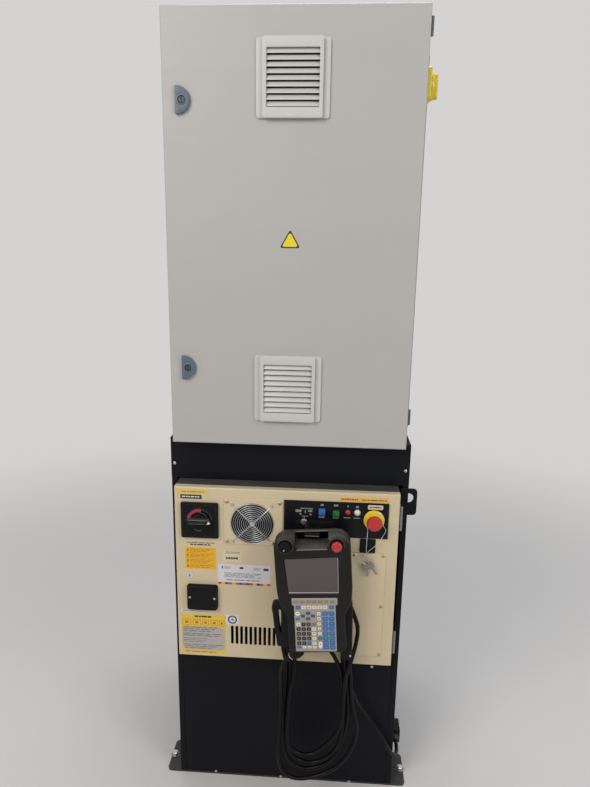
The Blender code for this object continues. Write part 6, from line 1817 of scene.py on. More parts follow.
@dataclass
class DoorLabels(SubAssembly):
    """The plain labels on the controller's door."""

    body: str = "controller_door"
    back: float = DOOR_FACE - 0.00005
    front: float = DOOR_FACE - 0.00025

    def sheet(self, name: str, low: Flat, high: Flat, finish: Finish, marks: Sequence[Mark],
              corner: float = 0.0012) -> None:
        """Stick a printed sheet on the door.

        Args:
            name: The label's name.
            low: Its lower left corner.
            high: Its upper right corner.
            finish: The sheet's finish.
            marks: What is printed on it.
            corner: The radius of its corners.
        """
        centre = ((low[0] + high[0]) / 2, (low[1] + high[1]) / 2)
        size = (high[0] - low[0], high[1] - low[1])
        sheet = dress(prism(name, rounded(centre, size, corner, 3), self.back, self.front),
                      finish)
        if marks:
            sheet = join(name, [sheet, print_marks(name + "_print", self.front, marks)])
        self.add(sheet, finish.slot)

    def build(self) -> None:
        """Stick on every label."""
        ink, thin = FINISH.ink, FINISH.soft_ink
        self.sheet("strip_label_left", (-0.2873, 0.9284), (-0.2051, 0.9387), FINISH.yellow_label,
                   text_rows((-0.2420, 0.9333), (0.0600, 0.0042), 1, thin, 0.6, (0.16, 0.1, 0.3)))
        self.sheet("black_label", (-0.2777, 0.9139), (-0.2219, 0.9253), FINISH.ink,
                   text_rows((-0.2498, 0.9196), (0.0470, 0.0044), 1, FINISH.white, 0.7,
                             (0.18, 0.1, 0.12)))
        self.sheet("strip_label_right", (0.1350, 0.9238), (0.2595, 0.9345), FINISH.amber_strip,
                   text_rows((0.1600, 0.9292), (0.0420, 0.0054), 1, FINISH.red_ink, 0.8,
                             (0.14, 0.1))
                   + text_rows((0.2220, 0.9288), (0.0640, 0.0034), 1, ink, 0.7, (0.2, 0.08, 0.3)))
        rows = text_rows((-0.2270, 0.7905), (0.0740, 0.0070), 1, thin, 0.45, (0.16, 0.2, 0.22))
        rows += text_rows((-0.2270, 0.7850), (0.0560, 0.0060), 1, ink, 0.6, (0.14, 0.12, 0.3))
        self.add(print_marks("door_print", DOOR_FACE, rows), "black_plastic")
        self.amber()
        self.rating_plate()
        self.info_sheet()
        self.small_labels()

    def amber(self) -> None:
        """Stick on the amber label with its four rows."""
        marks = []
        low, high = (-0.2693, 0.7146), (-0.1873, 0.7768)
        pitch = (high[1] - low[1]) / 4
        for row in range(4):
            z = high[1] - pitch * (row + 0.5)
            marks.append(Mark((low[0] + 0.0070, z), (0.0050, 0.0070), FINISH.brown_ink))
            marks += text_rows((low[0] + 0.0445, z), (0.0620, pitch * 0.70), 3 if row < 3 else 2,
                               FINISH.brown_ink, 0.38, (0.2, 0.12, 0.28, 0.16))
            if row:
                marks.append(Mark(((low[0] + high[0]) / 2, high[1] - pitch * row),
                                  (0.0800, 0.0006), FINISH.brown_ink))
        self.sheet("amber_label", low, high, FINISH.amber_label, marks)

    def rating_plate(self) -> None:
        """Stick on the plate with its yellow head, its row of blocks and its grey field."""
        low, high = (-0.2844, 0.4588), (-0.1639, 0.5783)
        grey_top, head_bottom, foot_top = 0.5415, 0.5665, 0.4690
        middle = (low[0] + high[0]) / 2
        width = high[0] - low[0]
        marks = [Mark((middle, (grey_top + foot_top) / 2), (width - 0.0030, grey_top - foot_top),
                      FINISH.silver_label)]
        self.sheet("rating_plate", low, high, FINISH.yellow_label, marks)
        fine = text_rows((middle, (head_bottom + high[1]) / 2), (0.0480, 0.0062), 1,
                         FINISH.ink, 0.75, (0.22, 0.12, 0.3))
        fine += text_rows((middle - 0.008, (low[1] + foot_top) / 2 - 0.0005), (0.0850, 0.0048), 1,
                          FINISH.brown_ink, 0.6, (0.16, 0.28, 0.2))
        fine += text_rows((middle - 0.006, 0.5330), (0.1000, 0.0180), 3, FINISH.plate_ink, 0.42)
        fine += text_rows((middle, 0.5160), (0.1120, 0.0110), 2, FINISH.plate_ink, 0.45)
        fine += text_rows((middle - 0.020, 0.4990), (0.0700, 0.0150), 3, FINISH.plate_ink, 0.34)
        fine += text_rows((middle, 0.4800), (0.1060, 0.0160), 3, FINISH.plate_ink, 0.40,
                          (0.16, 0.24, 0.1))
        boxes = []
        for x, half in ((-0.2700, 0.0120), (-0.2420, 0.0110), (-0.2180, 0.0090), (-0.1940, 0.0100),
                        (-0.1735, 0.0070)):
            outer = rounded((x, 0.5540), (half * 2, 0.0180), 0.0018, 3)
            inner = rounded((x, 0.5540), (half * 2 - 0.0024, 0.0156), 0.0010, 3)
            boxes.append(dress(prism("frame", outer, DOOR_FACE - 0.0002, DOOR_FACE - 0.00036,
                                     [inner]), FINISH.brown_ink))
            fine.append(Mark((x, 0.5540), (half * 0.8, 0.0070), FINISH.brown_ink))
        lines = print_marks("plate_lines", DOOR_FACE - 0.00034, fine)
        self.add(join("rating_plate_print", [lines, *boxes]), "black_plastic")

    def info_sheet(self) -> None:
        """Stick on the lilac sheet with its row of coloured squares."""
        low, high = (-0.1817, 0.6728), (-0.0413, 0.7324)
        marks = [Mark((-0.1700, 0.7225), (0.0035, 0.0070), FINISH.navy_ink),
                 Mark((-0.1190, 0.7225), (0.0100, 0.0060), FINISH.ink),
                 Mark((-0.0535, 0.7205), (0.0140, 0.0070), FINISH.navy_ink)]
        marks += text_rows((-0.1550, 0.7220), (0.0200, 0.0080), 3, FINISH.plate_ink, 0.4)
        marks += text_rows((-0.0760, 0.7210), (0.0220, 0.0080), 3, FINISH.plate_ink, 0.4)
        marks += text_rows((-0.1120, 0.7010), (0.1050, 0.0150), 4, FINISH.plate_ink, 0.42)
        marks += text_rows((-0.1120, 0.6868), (0.0960, 0.0050), 1, FINISH.plate_ink, 0.5)
        strip = (FINISH.red_square, FINISH.amber_label, FINISH.green_ink, FINISH.red_square,
                 FINISH.amber_label, FINISH.red_square, FINISH.blue_ink, FINISH.red_square,
                 FINISH.green_ink, FINISH.red_square, FINISH.yellow_label, FINISH.navy_ink,
                 FINISH.red_square, FINISH.yellow_label, FINISH.red_square)
        pitch = (high[0] - low[0]) / len(strip)
        for index, colour in enumerate(strip):
            marks.append(Mark((low[0] + pitch * (index + 0.5), low[1] + 0.0035),
                              (pitch * 0.98, 0.0064), colour))
        self.sheet("info_label", low, high, FINISH.lilac, marks)

    def small_labels(self) -> None:
        """Stick on the round, ringed and narrow labels."""
        x, z = -0.2578, 0.6947
        disc = lathe("round_label", [(0.0, 0.0), (0.0096, 0.0), (0.0096, 0.0003), (0.0, 0.0003)],
                     (x, DOOR_FACE, z), steps=40)
        rim = prism("rim", circle((x, z), 0.0094, 40), DOOR_FACE - 0.00028, DOOR_FACE - 0.0004,
                    [circle((x, z), 0.0086, 40)])
        mark = print_marks("round_mark", DOOR_FACE - 0.0003, [
            Mark((x - 0.0018, z), (0.0026, 0.0090), FINISH.ink),
            Mark((x + 0.0022, z), (0.0018, 0.0076), FINISH.soft_ink)])
        self.add(join("round_label", [dress(disc, FINISH.paper), dress(rim, FINISH.soft_ink),
                                      mark]), "white_plastic")
        self.sheet("narrow_label", (-0.2851, 0.5857), (-0.2247, 0.5915), FINISH.paper,
                   text_rows((-0.2530, 0.5886), (0.0540, 0.0040), 1, FINISH.ink, 0.6,
                             (0.05, 0.07, 0.06)))
        self.sheet("ring_label", (-0.1618, 0.5532), (-0.1265, 0.5817), FINISH.paper, [])
        ring_centre = (-0.1442, 0.5675)
        ring = prism("ring", circle(ring_centre, 0.0125, 40), DOOR_FACE - 0.0002,
                     DOOR_FACE - 0.0004, [circle(ring_centre, 0.0088, 40)])
        core = print_marks("core", DOOR_FACE - 0.0002,
                           [Mark(ring_centre, (0.0060, 0.0070), FINISH.soft_ink)])
        self.add(join("ring_print", [dress(ring, FINISH.navy_ink), core]), "blue_plastic")
        tag = text_rows((-0.1400, 0.7660), (0.0400, 0.0070), 2, FINISH.soft_ink, 0.45)
        tag += text_rows((-0.1440, 0.7500), (0.0330, 0.0080), 1, FINISH.ink, 0.7,
                         (0.14, 0.2, 0.16))
        self.sheet("pale_tag", (-0.1690, 0.7400), (-0.1174, 0.7723), FINISH.cream_label, tag)


@dataclass
class Covers(SubAssembly):
    """The socket cover, the port cover, the pendant's holder and the door's hinges."""

    body: str = "controller_door"

    def build(self) -> None:
        """Model the covers with their screws, then the hinges."""
        self.add_cover("socket_lid", (-0.2240, 0.6346), (0.083, 0.072), 0.0140, "socket_cover",
                       ((-0.2570, 0.6360), (-0.1905, 0.6350)), 0.0065)
        self.add_cover("port_lid", (0.2103, 0.8033), (0.040, 0.038), 0.0060, "port_cover", (),
                       0.002)
        holder = [(0.1780, 0.7770), (0.2529, 0.6310), (0.2542, 0.4860), (0.2525, 0.7770),
                  (0.0100, 0.4860), (0.0100, 0.7700)]
        heads = screws("holder_screw", holder, PLATE_FACE, 0.0040, 0.0030, FINISH.brass)
        self.add(join("holder_screws", heads), "bright_steel")
        self.add_holder()
        self.add_hinge("controller_hinge_upper", 0.8780)
        self.add_hinge("controller_hinge_lower", 0.5180)

    def add_holder(self) -> None:
        """Model the pendant's plate with its hook, a painted highlight line on the hook's lip, its
        rest and the cable's hook.
        """
        plate = prism("plate", rounded((0.1305, 0.6310), (0.2570, 0.3020), 0.0010, 2),
                      DOOR_FACE - SKIN, PLATE_FACE, edge=0.0006)
        arm = [(PLATE_FACE, 0.7500), (PLATE_FACE, 0.7700), (-0.3173, 0.7750), (-0.3173, 0.8625),
               (-0.3730, 0.8625), (-0.3730, 0.8525), (-0.3706, 0.8525), (-0.3706, 0.8595),
               (-0.3203, 0.8595), (-0.3203, 0.7735), (PLATE_FACE - 0.0030, 0.7660),
               (PLATE_FACE - 0.0030, 0.7500)]
        hook = prism("hook", arm, 0.0490, 0.0860, axis=0, edge=0.0005)
        # A thin grey strip on the hook's front lip is a painted highlight line.
        lip_highlight = block("hook_edge_highlight", (0.0500, -0.3734, 0.8535), (0.0850, -0.3728, 0.8552), 0.0)
        rest = block("rest", (0.0240, -0.3103, 0.7850), (0.1180, -0.3160, 0.8700), 0.0020)
        cable_arm = [(PLATE_FACE, 0.6000), (PLATE_FACE, 0.6580), (-0.3500, 0.6580),
                     (-0.3500, 0.6680), (-0.3530, 0.6680), (-0.3530, 0.6550), (-0.3153, 0.6550),
                     (-0.3153, 0.6000)]
        coil = prism("coil_hook", cable_arm, 0.0650, 0.1010, axis=0, edge=0.0005)
        holder = join("pendant_bracket", [dress(plate, FINISH.cream), dress(hook, FINISH.black),
                                          dress(lip_highlight, FINISH.plate_ink), dress(rest, FINISH.black),
                                          dress(coil, FINISH.cream)])
        self.add(holder, "cream_paint", "pendant_holder")

    def add_cover(self, name: str, centre: Flat, size: Flat, thickness: float, node: str,
                  fixings: Sequence[Flat], corner: float) -> None:
        """Model a moulded cover with a stepped rim.

        Args:
            name: The piece's name.
            centre: Its centre on the door.
            size: Its width and height.
            thickness: How far it stands off the door.
            node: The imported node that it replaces.
            fixings: Where its screws are.
            corner: The radius of its corners.
        """
        back = DOOR_FACE - SKIN
        front = DOOR_FACE - thickness
        rim = prism("rim", rounded(centre, size, corner, 5), back, back - thickness * 0.45,
                    edge=0.0006)
        lid_size = (size[0] - 0.0030, size[1] - 0.0030)
        lid = prism("lid", rounded(centre, lid_size, corner * 0.9, 5), back - thickness * 0.40,
                    front, edge=0.0016, segments=3)
        pieces = [dress(rim, FINISH.black), dress(lid, FINISH.black)]
        if fixings:
            for place in fixings:
                cut(lid, prism("pocket", circle(place, 0.0046, 24), front + 0.0022,
                               front - 0.002))
            smooth(lid)
            pieces += screws("cover_screw", fixings, front + 0.0024, 0.0036, 0.0020,
                             FINISH.steel)
        self.add(join(name, pieces), "black_plastic", node)

    def add_hinge(self, node: str, centre_z: float) -> None:
        """Model a knuckled hinge on the controller's right side.

        Args:
            node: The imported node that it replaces.
            centre_z: The height of its middle.
        """
        x, y, half = 0.29305, -0.3000, 0.0330
        leaf = block("leaf", (0.2883, y + 0.0030, centre_z - half),
                     (0.2904, -0.2602, centre_z + half), 0.0004)
        pieces = [dress(leaf, FINISH.brass)]
        knuckle = half * 2 / 5
        barrel = lathe("knuckle", [(0.0, 0.0003), (0.0039, 0.0003), (0.0039, knuckle - 0.0003),
                                   (0.0, knuckle - 0.0003)], (x, y, centre_z - half), "Z", 28,
                       0.0004)
        pieces += repeat(dress(barrel, FINISH.dark_steel),
                         [((0.0, 0.0, knuckle * index), None) for index in range(5)])
        pin = lathe("pin", [(0.0, -0.0008), (0.0022, -0.0008), (0.0022, half * 2 + 0.0008),
                            (0.0, half * 2 + 0.0008)], (x, y, centre_z - half), "Z", 16)
        pieces.append(dress(pin, FINISH.dark_steel))
        for dz in (-0.022, 0.022):
            head = lathe("hinge_screw", [(0.0, 0.0), (0.0034, 0.0), (0.0028, 0.0012),
                                         (0.0, 0.0014)],
                         (0.2903, -0.2760, centre_z + dz), "X", 20)
            pieces.append(dress(head, FINISH.steel))
        self.add(join(node + "_knuckles", pieces), "bright_steel", node, body="root")


@dataclass(frozen=True)
class Key:
    """One key of the pendant: its place, its size and its finish."""

    place: Flat
    size: Flat
    finish: Finish
    mark: Finish | None = None
    round_ends: bool = False
    rimmed: bool = False


@dataclass
class Pendant(SubAssembly):
    """The hanging teach pendant: housing, screen, keypad, switch, stop button and boot."""

    body: str = "controller_door"
    centre: Place = (0.078, -0.402, 0.715)
    tilt: float = math.radians(4.3)
    top: float = 0.1530
    foot: float = 0.170
    half_width: float = 0.095
    half_foot: float = 0.074
    depth: float = 0.046
    grip_z: float = 0.1365
    grip_size: Flat = (0.084, 0.0230)
    pods: tuple[Flat, Flat] = ((-0.0655, 0.1275), (0.0610, 0.1275))
    pod_radius: float = 0.0195
    key_face: float = -0.0023
    key_height: float = 0.0009

    def hang(self, piece: Piece) -> Piece:
        """Move a piece from the pendant's own frame to where the pendant hangs."""
        piece.matrix_world = (Matrix.Translation(self.centre)
                              @ Matrix.Rotation(-self.tilt, 4, "Y"))
        return settle(piece)

    def build(self) -> None:
        """Model the pendant's pieces in its own frame, and hang each one up."""
        self.add_housing()
        self.add_screen()
        self.add_keypad()
        self.add_switches()
        self.add_boot()
        self.add_grips()

    def add_grips(self) -> None:
        """Model the grips at the housing's back: a palm strap at the left, a ridge at the right."""
        front, back = -0.3880, -0.3495
        strap = [(-0.0300, 0.6560), (-0.0296, 0.6640), (-0.0262, 0.6695), (-0.0130, 0.6715),
                 (0.0060, 0.6730), (0.0240, 0.6200), (0.0300, 0.5600), (0.0200, 0.5480),
                 (-0.0120, 0.5495), (-0.0150, 0.5520), (-0.0187, 0.5793), (-0.0226, 0.5996),
                 (-0.0271, 0.6401)]
        slot = [(-0.0142, 0.6420), (-0.0128, 0.6520), (-0.0095, 0.6560), (-0.0062, 0.6520),
                (-0.0052, 0.6300), (-0.0040, 0.6080), (-0.0056, 0.5880), (-0.0080, 0.5900),
                (-0.0108, 0.6080)]
        left = prism("palm_strap", strap, front, back - 0.0150, [slot], edge=0.0035, segments=4)
        ridge = [(0.1560, 0.6770), (0.1745, 0.6770), (0.1755, 0.6600), (0.1765, 0.6100),
                 (0.1778, 0.5600), (0.1778, 0.5350), (0.1760, 0.5240), (0.1700, 0.5190),
                 (0.1520, 0.5180)]
        right = prism("grip_ridge", ridge, front, back, edge=0.0045, segments=4)
        stud = lathe("stud", [(0.0, 0.0), (0.0026, 0.0), (0.0026, 0.0008), (0.0016, 0.0014),
                              (0.0, 0.0015)], (0.1735, front - 0.0001, 0.5330), steps=20)
        grips = join("pendant_grips", [dress(smooth(left, 40.0), FINISH.black),
                                       dress(smooth(right, 40.0), FINISH.black),
                                       dress(stud, FINISH.steel)])
        self.add(grips, "black_plastic")

    def outline(self) -> Outline:
        """Return the housing's outline: wide shoulders, a waist and a narrower foot.

        Returns:
            The outline's points.
        """
        right = arc((self.half_foot - 0.018, 0.018 - self.foot), 0.018, -90, 0, 8)
        right += [(self.half_foot, 0.100 - self.foot), (self.half_foot + 0.002, 0.110 - self.foot)]
        right += [(self.half_width - 0.0065, 0.134 - self.foot),
                  (self.half_width - 0.0042, 0.140 - self.foot),
                  (self.half_width - 0.0030, 0.150 - self.foot),
                  (self.half_width, 0.182 - self.foot)]
        right += arc((self.half_width - 0.034, self.top - 0.034), 0.034, 0, 90, 14)
        return right + [(-x, z) for x, z in reversed(right)]

    def screen_corners(self, margin: float) -> Outline:
        """Return the screen's four corners, set out by a margin."""
        return [(-0.0660 - margin, 0.0010 - margin), (0.0605 + margin, -0.0012 - margin),
                (0.0630 + margin, 0.0965 + margin), (-0.0708 - margin, 0.0942 + margin)]

    def add_housing(self) -> None:
        """Model the moulded housing with its crown, grip window, scoop, pods and screen well."""
        body = prism("pendant_housing", self.outline(), 0.0, self.depth, edge=0.006, segments=5)
        low = self.top - 0.026
        curve = [(0.020 * (1 + y), low + 0.026 * z) for y, z in arc((0.0, 0.0), 1.0, 180, 90, 14)]
        crown = [(-0.020, low), *curve, (0.020, self.top + 0.026), (-0.020, self.top + 0.026)]
        width, height = self.grip_size
        bottom = self.grip_z - height / 2
        half = width / 2 - 0.005
        slope = [(-0.018, bottom - 0.0115), (0.0, bottom - 0.0060), (0.018, bottom + 0.0005),
                 (-0.018, bottom + 0.0005)]
        tools = [prism("crown", crown, -0.190, 0.190, axis=0),
                 prism("grip", rounded((0.0, self.grip_z), self.grip_size, height * 0.3, 6),
                       -0.010, self.depth + 0.010),
                 prism("scoop", slope, -half, half, axis=0),
                 block("notch", (-width / 2, -0.010, self.grip_z),
                       (width / 2, 0.0360, 0.340), 0.0),
                 prism("well", self.screen_corners(0.0030), -0.010, 0.0023)]
        tools += [prism("pod", circle(pod, self.pod_radius, 56), -0.010, 0.003)
                  for pod in self.pods]
        cut(body, *tools)
        bevel(body, 0.0009, 2, 38.0)
        self.add(self.hang(dress(smooth(body, 32.0), FINISH.charcoal)), "black_plastic",
                 "pendant_body")
        highlight_trims = []
        for x, z in self.pods:
            # The pod rims take a lighter copy of the housing's black: a painted highlight where the
            # shoulders meet the pods.
            rim = lathe("pod_rim", [(0.0180, -0.0160), (0.0198, -0.0160), (0.0198, 0.0030),
                                    (0.0190, 0.0038), (0.0180, 0.0030), (0.0180, -0.0160)],
                        (x, 0.003, z), steps=56)
            highlight_trims.append(dress(rim, FINISH.pod_rim_highlight))
        # The strip under the scoop is a painted highlight in grey ink, where the scoop's lower edge
        # catches light.
        lip_highlight_outline = rounded((0.0, bottom - 0.0072), (half * 2 + 0.002, 0.0026), 0.0012)
        lip_highlight = prism("scoop_lip_highlight", lip_highlight_outline, -0.0006, 0.0010, edge=0.0004)
        # The strip along the top of the grip window is a painted highlight on its top front edge,
        # in grey ink.
        bar = block("grip_edge_highlight", (-width / 2 - 0.006, 0.0352, self.top - 0.0042),
                    (width / 2 + 0.006, 0.0364, self.top - 0.0014), 0.0004)
        highlight_trims += [dress(lip_highlight, FINISH.plate_ink), dress(bar, FINISH.plate_ink)]
        # Every piece of this trim is a painted highlight: the pod rims, the scoop's lip and the
        # grip window's edge.
        self.add(self.hang(join("pendant_highlight_trim", highlight_trims)), "black_plastic")

    def add_screen(self) -> None:
        """Model the screen's glass and the sloped frame round it, with painted highlights on its
        sill and right side.
        """
        frame_piece = prism("screen_frame", self.screen_corners(0.0027), 0.0020, 0.0004,
                            [self.screen_corners(-0.0010)], edge=0.0004)
        low_left, low_right, top_right, _ = self.screen_corners(0.0)
        # The sill and the right side strip are painted highlights in a lighter finish, where the
        # frame's edges catch light.
        sill_highlight = prism("sill_highlight", [(low_left[0] + 0.001, low_left[1] - 0.0004),
                              (low_right[0] - 0.001, low_right[1] - 0.0004),
                              (low_right[0] - 0.003, low_right[1] + 0.0024),
                              (low_left[0] + 0.003, low_left[1] + 0.0024)],
                     0.0018, 0.0002, edge=0.0003)
        side = prism("side", [(low_right[0] - 0.0020, low_right[1]),
                              (low_right[0] - 0.0004, low_right[1]),
                              (top_right[0] - 0.0004, top_right[1] - 0.002),
                              (top_right[0] - 0.0020, top_right[1] - 0.003)],
                     0.0018, 0.0003, edge=0.0002)
        surround = join("screen_surround", [dress(frame_piece, FINISH.black),
                                            dress(sill_highlight, FINISH.painted_bezel_highlight),
                                            dress(side, FINISH.painted_bezel_highlight)])
        self.add(self.hang(surround), "black_plastic")
        glass = prism("screen_pane", self.screen_corners(0.0), 0.0021, 0.0012, edge=0.0002)
        self.add(self.hang(dress(glass, FINISH.screen)), "screen_glass", "pendant_screen")

    def key_list(self) -> list[Key]:
        """Return every key of the pendant.

        Returns:
            The keys, row by row.
        """
        beige, light, blue = FINISH.key_beige, FINISH.key_light, FINISH.key_blue
        black, ink, pale = FINISH.key_black, FINISH.soft_ink, FINISH.soft_white
        keys = [Key((x, -0.0238), (0.0122, 0.0088), beige, ink)
                for x in (-0.0469, -0.0308, -0.0144, -0.0004, 0.0142, 0.0293, 0.0452)]
        keys += [Key((x, -0.0394), (0.0118, 0.0100), blue if side else light,
                     pale if side else FINISH.red_ink)
                 for x, side in ((-0.0418, True), (-0.0276, False), (-0.0140, False),
                                 (-0.0008, False), (0.0123, False), (0.0257, False),
                                 (0.0421, True))]
        keys += [Key((-0.0437, -0.0569), (0.0120, 0.0120), FINISH.white, FINISH.ink, True),
                 Key((-0.0436, -0.0713), (0.0094, 0.0070), blue, pale),
                 Key((-0.0172, -0.0557), (0.0100, 0.0076), FINISH.key_navy, pale),
                 Key((-0.0178, -0.0713), (0.0100, 0.0076), FINISH.key_navy, pale),
                 Key((-0.0303, -0.0634), (0.0096, 0.0076), FINISH.key_navy, pale),
                 Key((-0.0052, -0.0634), (0.0096, 0.0076), FINISH.key_navy, pale),
                 Key((0.0092, -0.0569), (0.0098, 0.0100), light, FINISH.green_ink, rimmed=True),
                 Key((0.0095, -0.0713), (0.0098, 0.0096), light, FINISH.red_ink, rimmed=True),
                 Key((0.0098, -0.0853), (0.0096, 0.0096), light, FINISH.plate_ink, rimmed=True),
                 Key((0.0101, -0.0988), (0.0096, 0.0100), light, FINISH.plate_ink, True, True),
                 Key((0.0104, -0.1126), (0.0098, 0.0096), light, FINISH.plate_ink, rimmed=True),
                 Key((0.0106, -0.1268), (0.0116, 0.0100), FINISH.key_teal, pale),
                 Key((0.0110, -0.1455), (0.0100, 0.0200), FINISH.white, FINISH.key_navy, True,
                     True)]
        for row, z in enumerate((-0.0569, -0.0713, -0.0853, -0.0985, -0.1127, -0.1261, -0.1393,
                                 -0.1525)):
            colour = FINISH.key_teal if row == 5 else blue
            keys += [Key((0.0251, z), (0.0142, 0.0120), colour, pale),
                     Key((0.0414, z), (0.0142, 0.0120), colour, pale)]
        for row, z in enumerate((-0.0870, -0.1004, -0.1138, -0.1272, -0.1406)):
            for column, x in enumerate((-0.0427, -0.0299, -0.0171)):
                colour = black
                if row == 0 and column == 0:
                    colour = light
                if row == 4 and column == 2:
                    colour = blue
                keys.append(Key((x, z), (0.0104, 0.0102), colour,
                                FINISH.red_ink if colour is light else pale))
            keys.append(Key((-0.0040, z), (0.0108, 0.0094), FINISH.key_grey if row == 0 else light,
                            FINISH.ink))
        keys.append(Key((-0.0430, -0.1520), (0.0100, 0.0066), blue, pale))
        keys += [Key((x, -0.1520), (0.0100, 0.0066), light, ink)
                 for x in (-0.0300, -0.0170, -0.0040)]
        return keys

    def add_keypad(self) -> None:
        """Model the keypad's film and its domed keys."""
        wide, narrow, step = 0.0570, 0.0520, -0.0323
        right = arc((narrow - 0.0025, -0.1618), 0.0025, -90, 0, 4)
        right += [(narrow, step - 0.0025), (wide, step)]
        right += arc((wide - 0.0012, -0.0155), 0.0012, 0, 90, 4)
        film = prism("pendant_film", right + [(-x, z) for x, z in reversed(right)], -SKIN,
                     self.key_face, edge=0.0005)
        self.add(self.hang(self.set_keypad(dress(film, FINISH.film))), "keypad_film",
                 "pendant_keypad")
        caps = []
        for index, key in enumerate(self.key_list()):
            corner = min(key.size) * (0.49 if key.round_ends else 0.20)
            cap = prism(f"key_{index}", rounded(key.place, key.size, corner, 4),
                        self.key_face + INK, self.key_face - self.key_height, edge=0.0004)
            caps.append(dress(cap, key.finish))
            if key.rimmed:
                size = (key.size[0] + 0.0024, key.size[1] + 0.0024)
                base = prism(f"rim_{index}", rounded(key.place, size, corner, 4),
                             self.key_face + INK, self.key_face - 0.0003)
                caps.append(dress(base, FINISH.key_grey))
            if key.mark is not None:
                caps.append(self.legend(key, index))
        self.add(self.hang(self.set_keypad(join("pendant_keys", caps))), "keypad_film")

    @staticmethod
    def set_keypad(piece: Piece) -> Piece:
        """Move a piece of the keypad up to the screen and turn it a little."""
        piece.matrix_world = (Matrix.Translation((-0.0008, 0.0, 0.0016))
                              @ Matrix.Rotation(math.radians(0.9), 4, "Y"))
        return settle(piece)

    def legend(self, key: Key, index: int) -> Piece:
        """Return the plain mark on a key: one or two short bars.

        Args:
            key: The key.
            index: The key's number, which picks the mark's shape.

        Returns:
            The mark.
        """
        top = self.key_face - self.key_height
        spread = 0.30 if index % 3 else 0.44
        marks = [Mark((key.place[0], key.place[1] + key.size[1] * 0.10),
                      (key.size[0] * spread, key.size[1] * 0.16), key.mark)]
        if index % 2:
            marks.append(Mark((key.place[0], key.place[1] - key.size[1] * 0.16),
                              (key.size[0] * spread * 0.7, key.size[1] * 0.14), key.mark))
        return print_marks(f"legend_{index}", top, marks, 0.00008)

    def add_switches(self) -> None:
        """Model the rotary switch in the left pod and the stop button in the right one."""
        left_x, left_z = self.pods[0]
        knob = lathe("pendant_knob", [(0.0, 0.0), (0.0152, 0.0), (0.0150, 0.0040), (0.0138, 0.0092),
                                      (0.0125, 0.0100), (0.0, 0.0100)],
                     (left_x, 0.0027, left_z), steps=48, edge=0.0004)
        grip = block("grip", (left_x - 0.0022, -0.0073, left_z - 0.0125),
                     (left_x + 0.0022, -0.0108, left_z + 0.0125), 0.0008)
        grip = self.turned_about_pod(grip)
        tick = block("tick", (left_x - 0.0006, -0.0107, left_z - 0.0080),
                     (left_x + 0.0006, -0.0111, left_z - 0.0030), 0.0)
        tick = self.turned_about_pod(tick)
        knob = join("pendant_knob", [dress(knob, FINISH.black), dress(grip, FINISH.black),
                                     dress(tick, FINISH.white)])
        self.add(self.hang(knob), "black_plastic", "pendant_switch")
        profile = [(0.0, 0.0), (0.0095, 0.0), (0.0095, 0.0065), (0.0120, 0.0072),
                   (0.0130, 0.0084), (0.0130, 0.0125), (0.0124, 0.0143), (0.0108, 0.0155),
                   (0.0088, 0.0158), (0.0080, 0.0150), (0.0, 0.0147)]
        right_x, right_z = self.pods[1]
        stop = lathe("pendant_mushroom", profile, (right_x, 0.0027, right_z), steps=56)
        collar = lathe("collar", [(0.0, 0.0), (0.0165, 0.0), (0.0165, 0.0022), (0.0150, 0.0030),
                                  (0.0110, 0.0030), (0.0, 0.0030)],
                       (right_x, 0.0029, right_z), steps=48)
        both = join("pendant_mushroom", [dress(smooth(stop, ROUND_ANGLE), FINISH.red),
                                         dress(collar, FINISH.black)])
        self.add(self.hang(both), "red_plastic", "pendant_stop")

    def turned_about_pod(self, piece: Piece) -> Piece:
        """Return a piece turned to the left switch's setting.

        Args:
            piece: The piece, as it stands upright on the left pod.

        Returns:
            The same piece, settled.
        """
        pod = Vector((self.pods[0][0], 0.0, self.pods[0][1]))
        piece.matrix_world = (Matrix.Translation(pod) @ Matrix.Rotation(math.radians(28), 4, "Y")
                              @ Matrix.Translation(-pod))
        return settle(piece)

    def add_boot(self) -> None:
        """Model the ribbed strain relief that the cable comes out of the pendant by."""
        start = Vector((0.0395, -0.3790, 0.5345))
        run = Vector((-0.7140, 0.0, -0.7000)).normalized()
        length = 0.0395
        profile: Outline = [(0.0, -0.0060), (0.0150, -0.0060), (0.0168, -0.0040), (0.0168, 0.0050),
                            (0.0160, 0.0110), (0.0138, 0.0180), (0.0108, 0.0232), (0.0088, 0.0258)]
        ribs = 3
        for rib in range(ribs):
            along = 0.0290 + (length - 0.0315) * rib / ribs
            profile += [(0.0079, along), (0.0079, along + 0.0016), (0.0070, along + 0.0019),
                        (0.0070, along + 0.0026)]
        profile += [(0.0072, length - 0.0014), (0.0066, length), (0.0, length)]
        boot = lathe("boot", profile, (0.0, 0.0, 0.0), "Z", 36)
        ring = lathe("ring", [(0.0070, 0.0), (0.0088, 0.0), (0.0088, 0.0017), (0.0070, 0.0017),
                              (0.0070, 0.0)], (0.0, 0.0, 0.0259), "Z", 36)
        both = join("pendant_boot", [dress(boot, FINISH.black), dress(ring, FINISH.white_ink)])
        both.matrix_world = (Matrix.Translation(start)
                             @ run.to_track_quat("Z", "Y").to_matrix().to_4x4())
        self.add(settle(both), "black_plastic", "strain_relief")


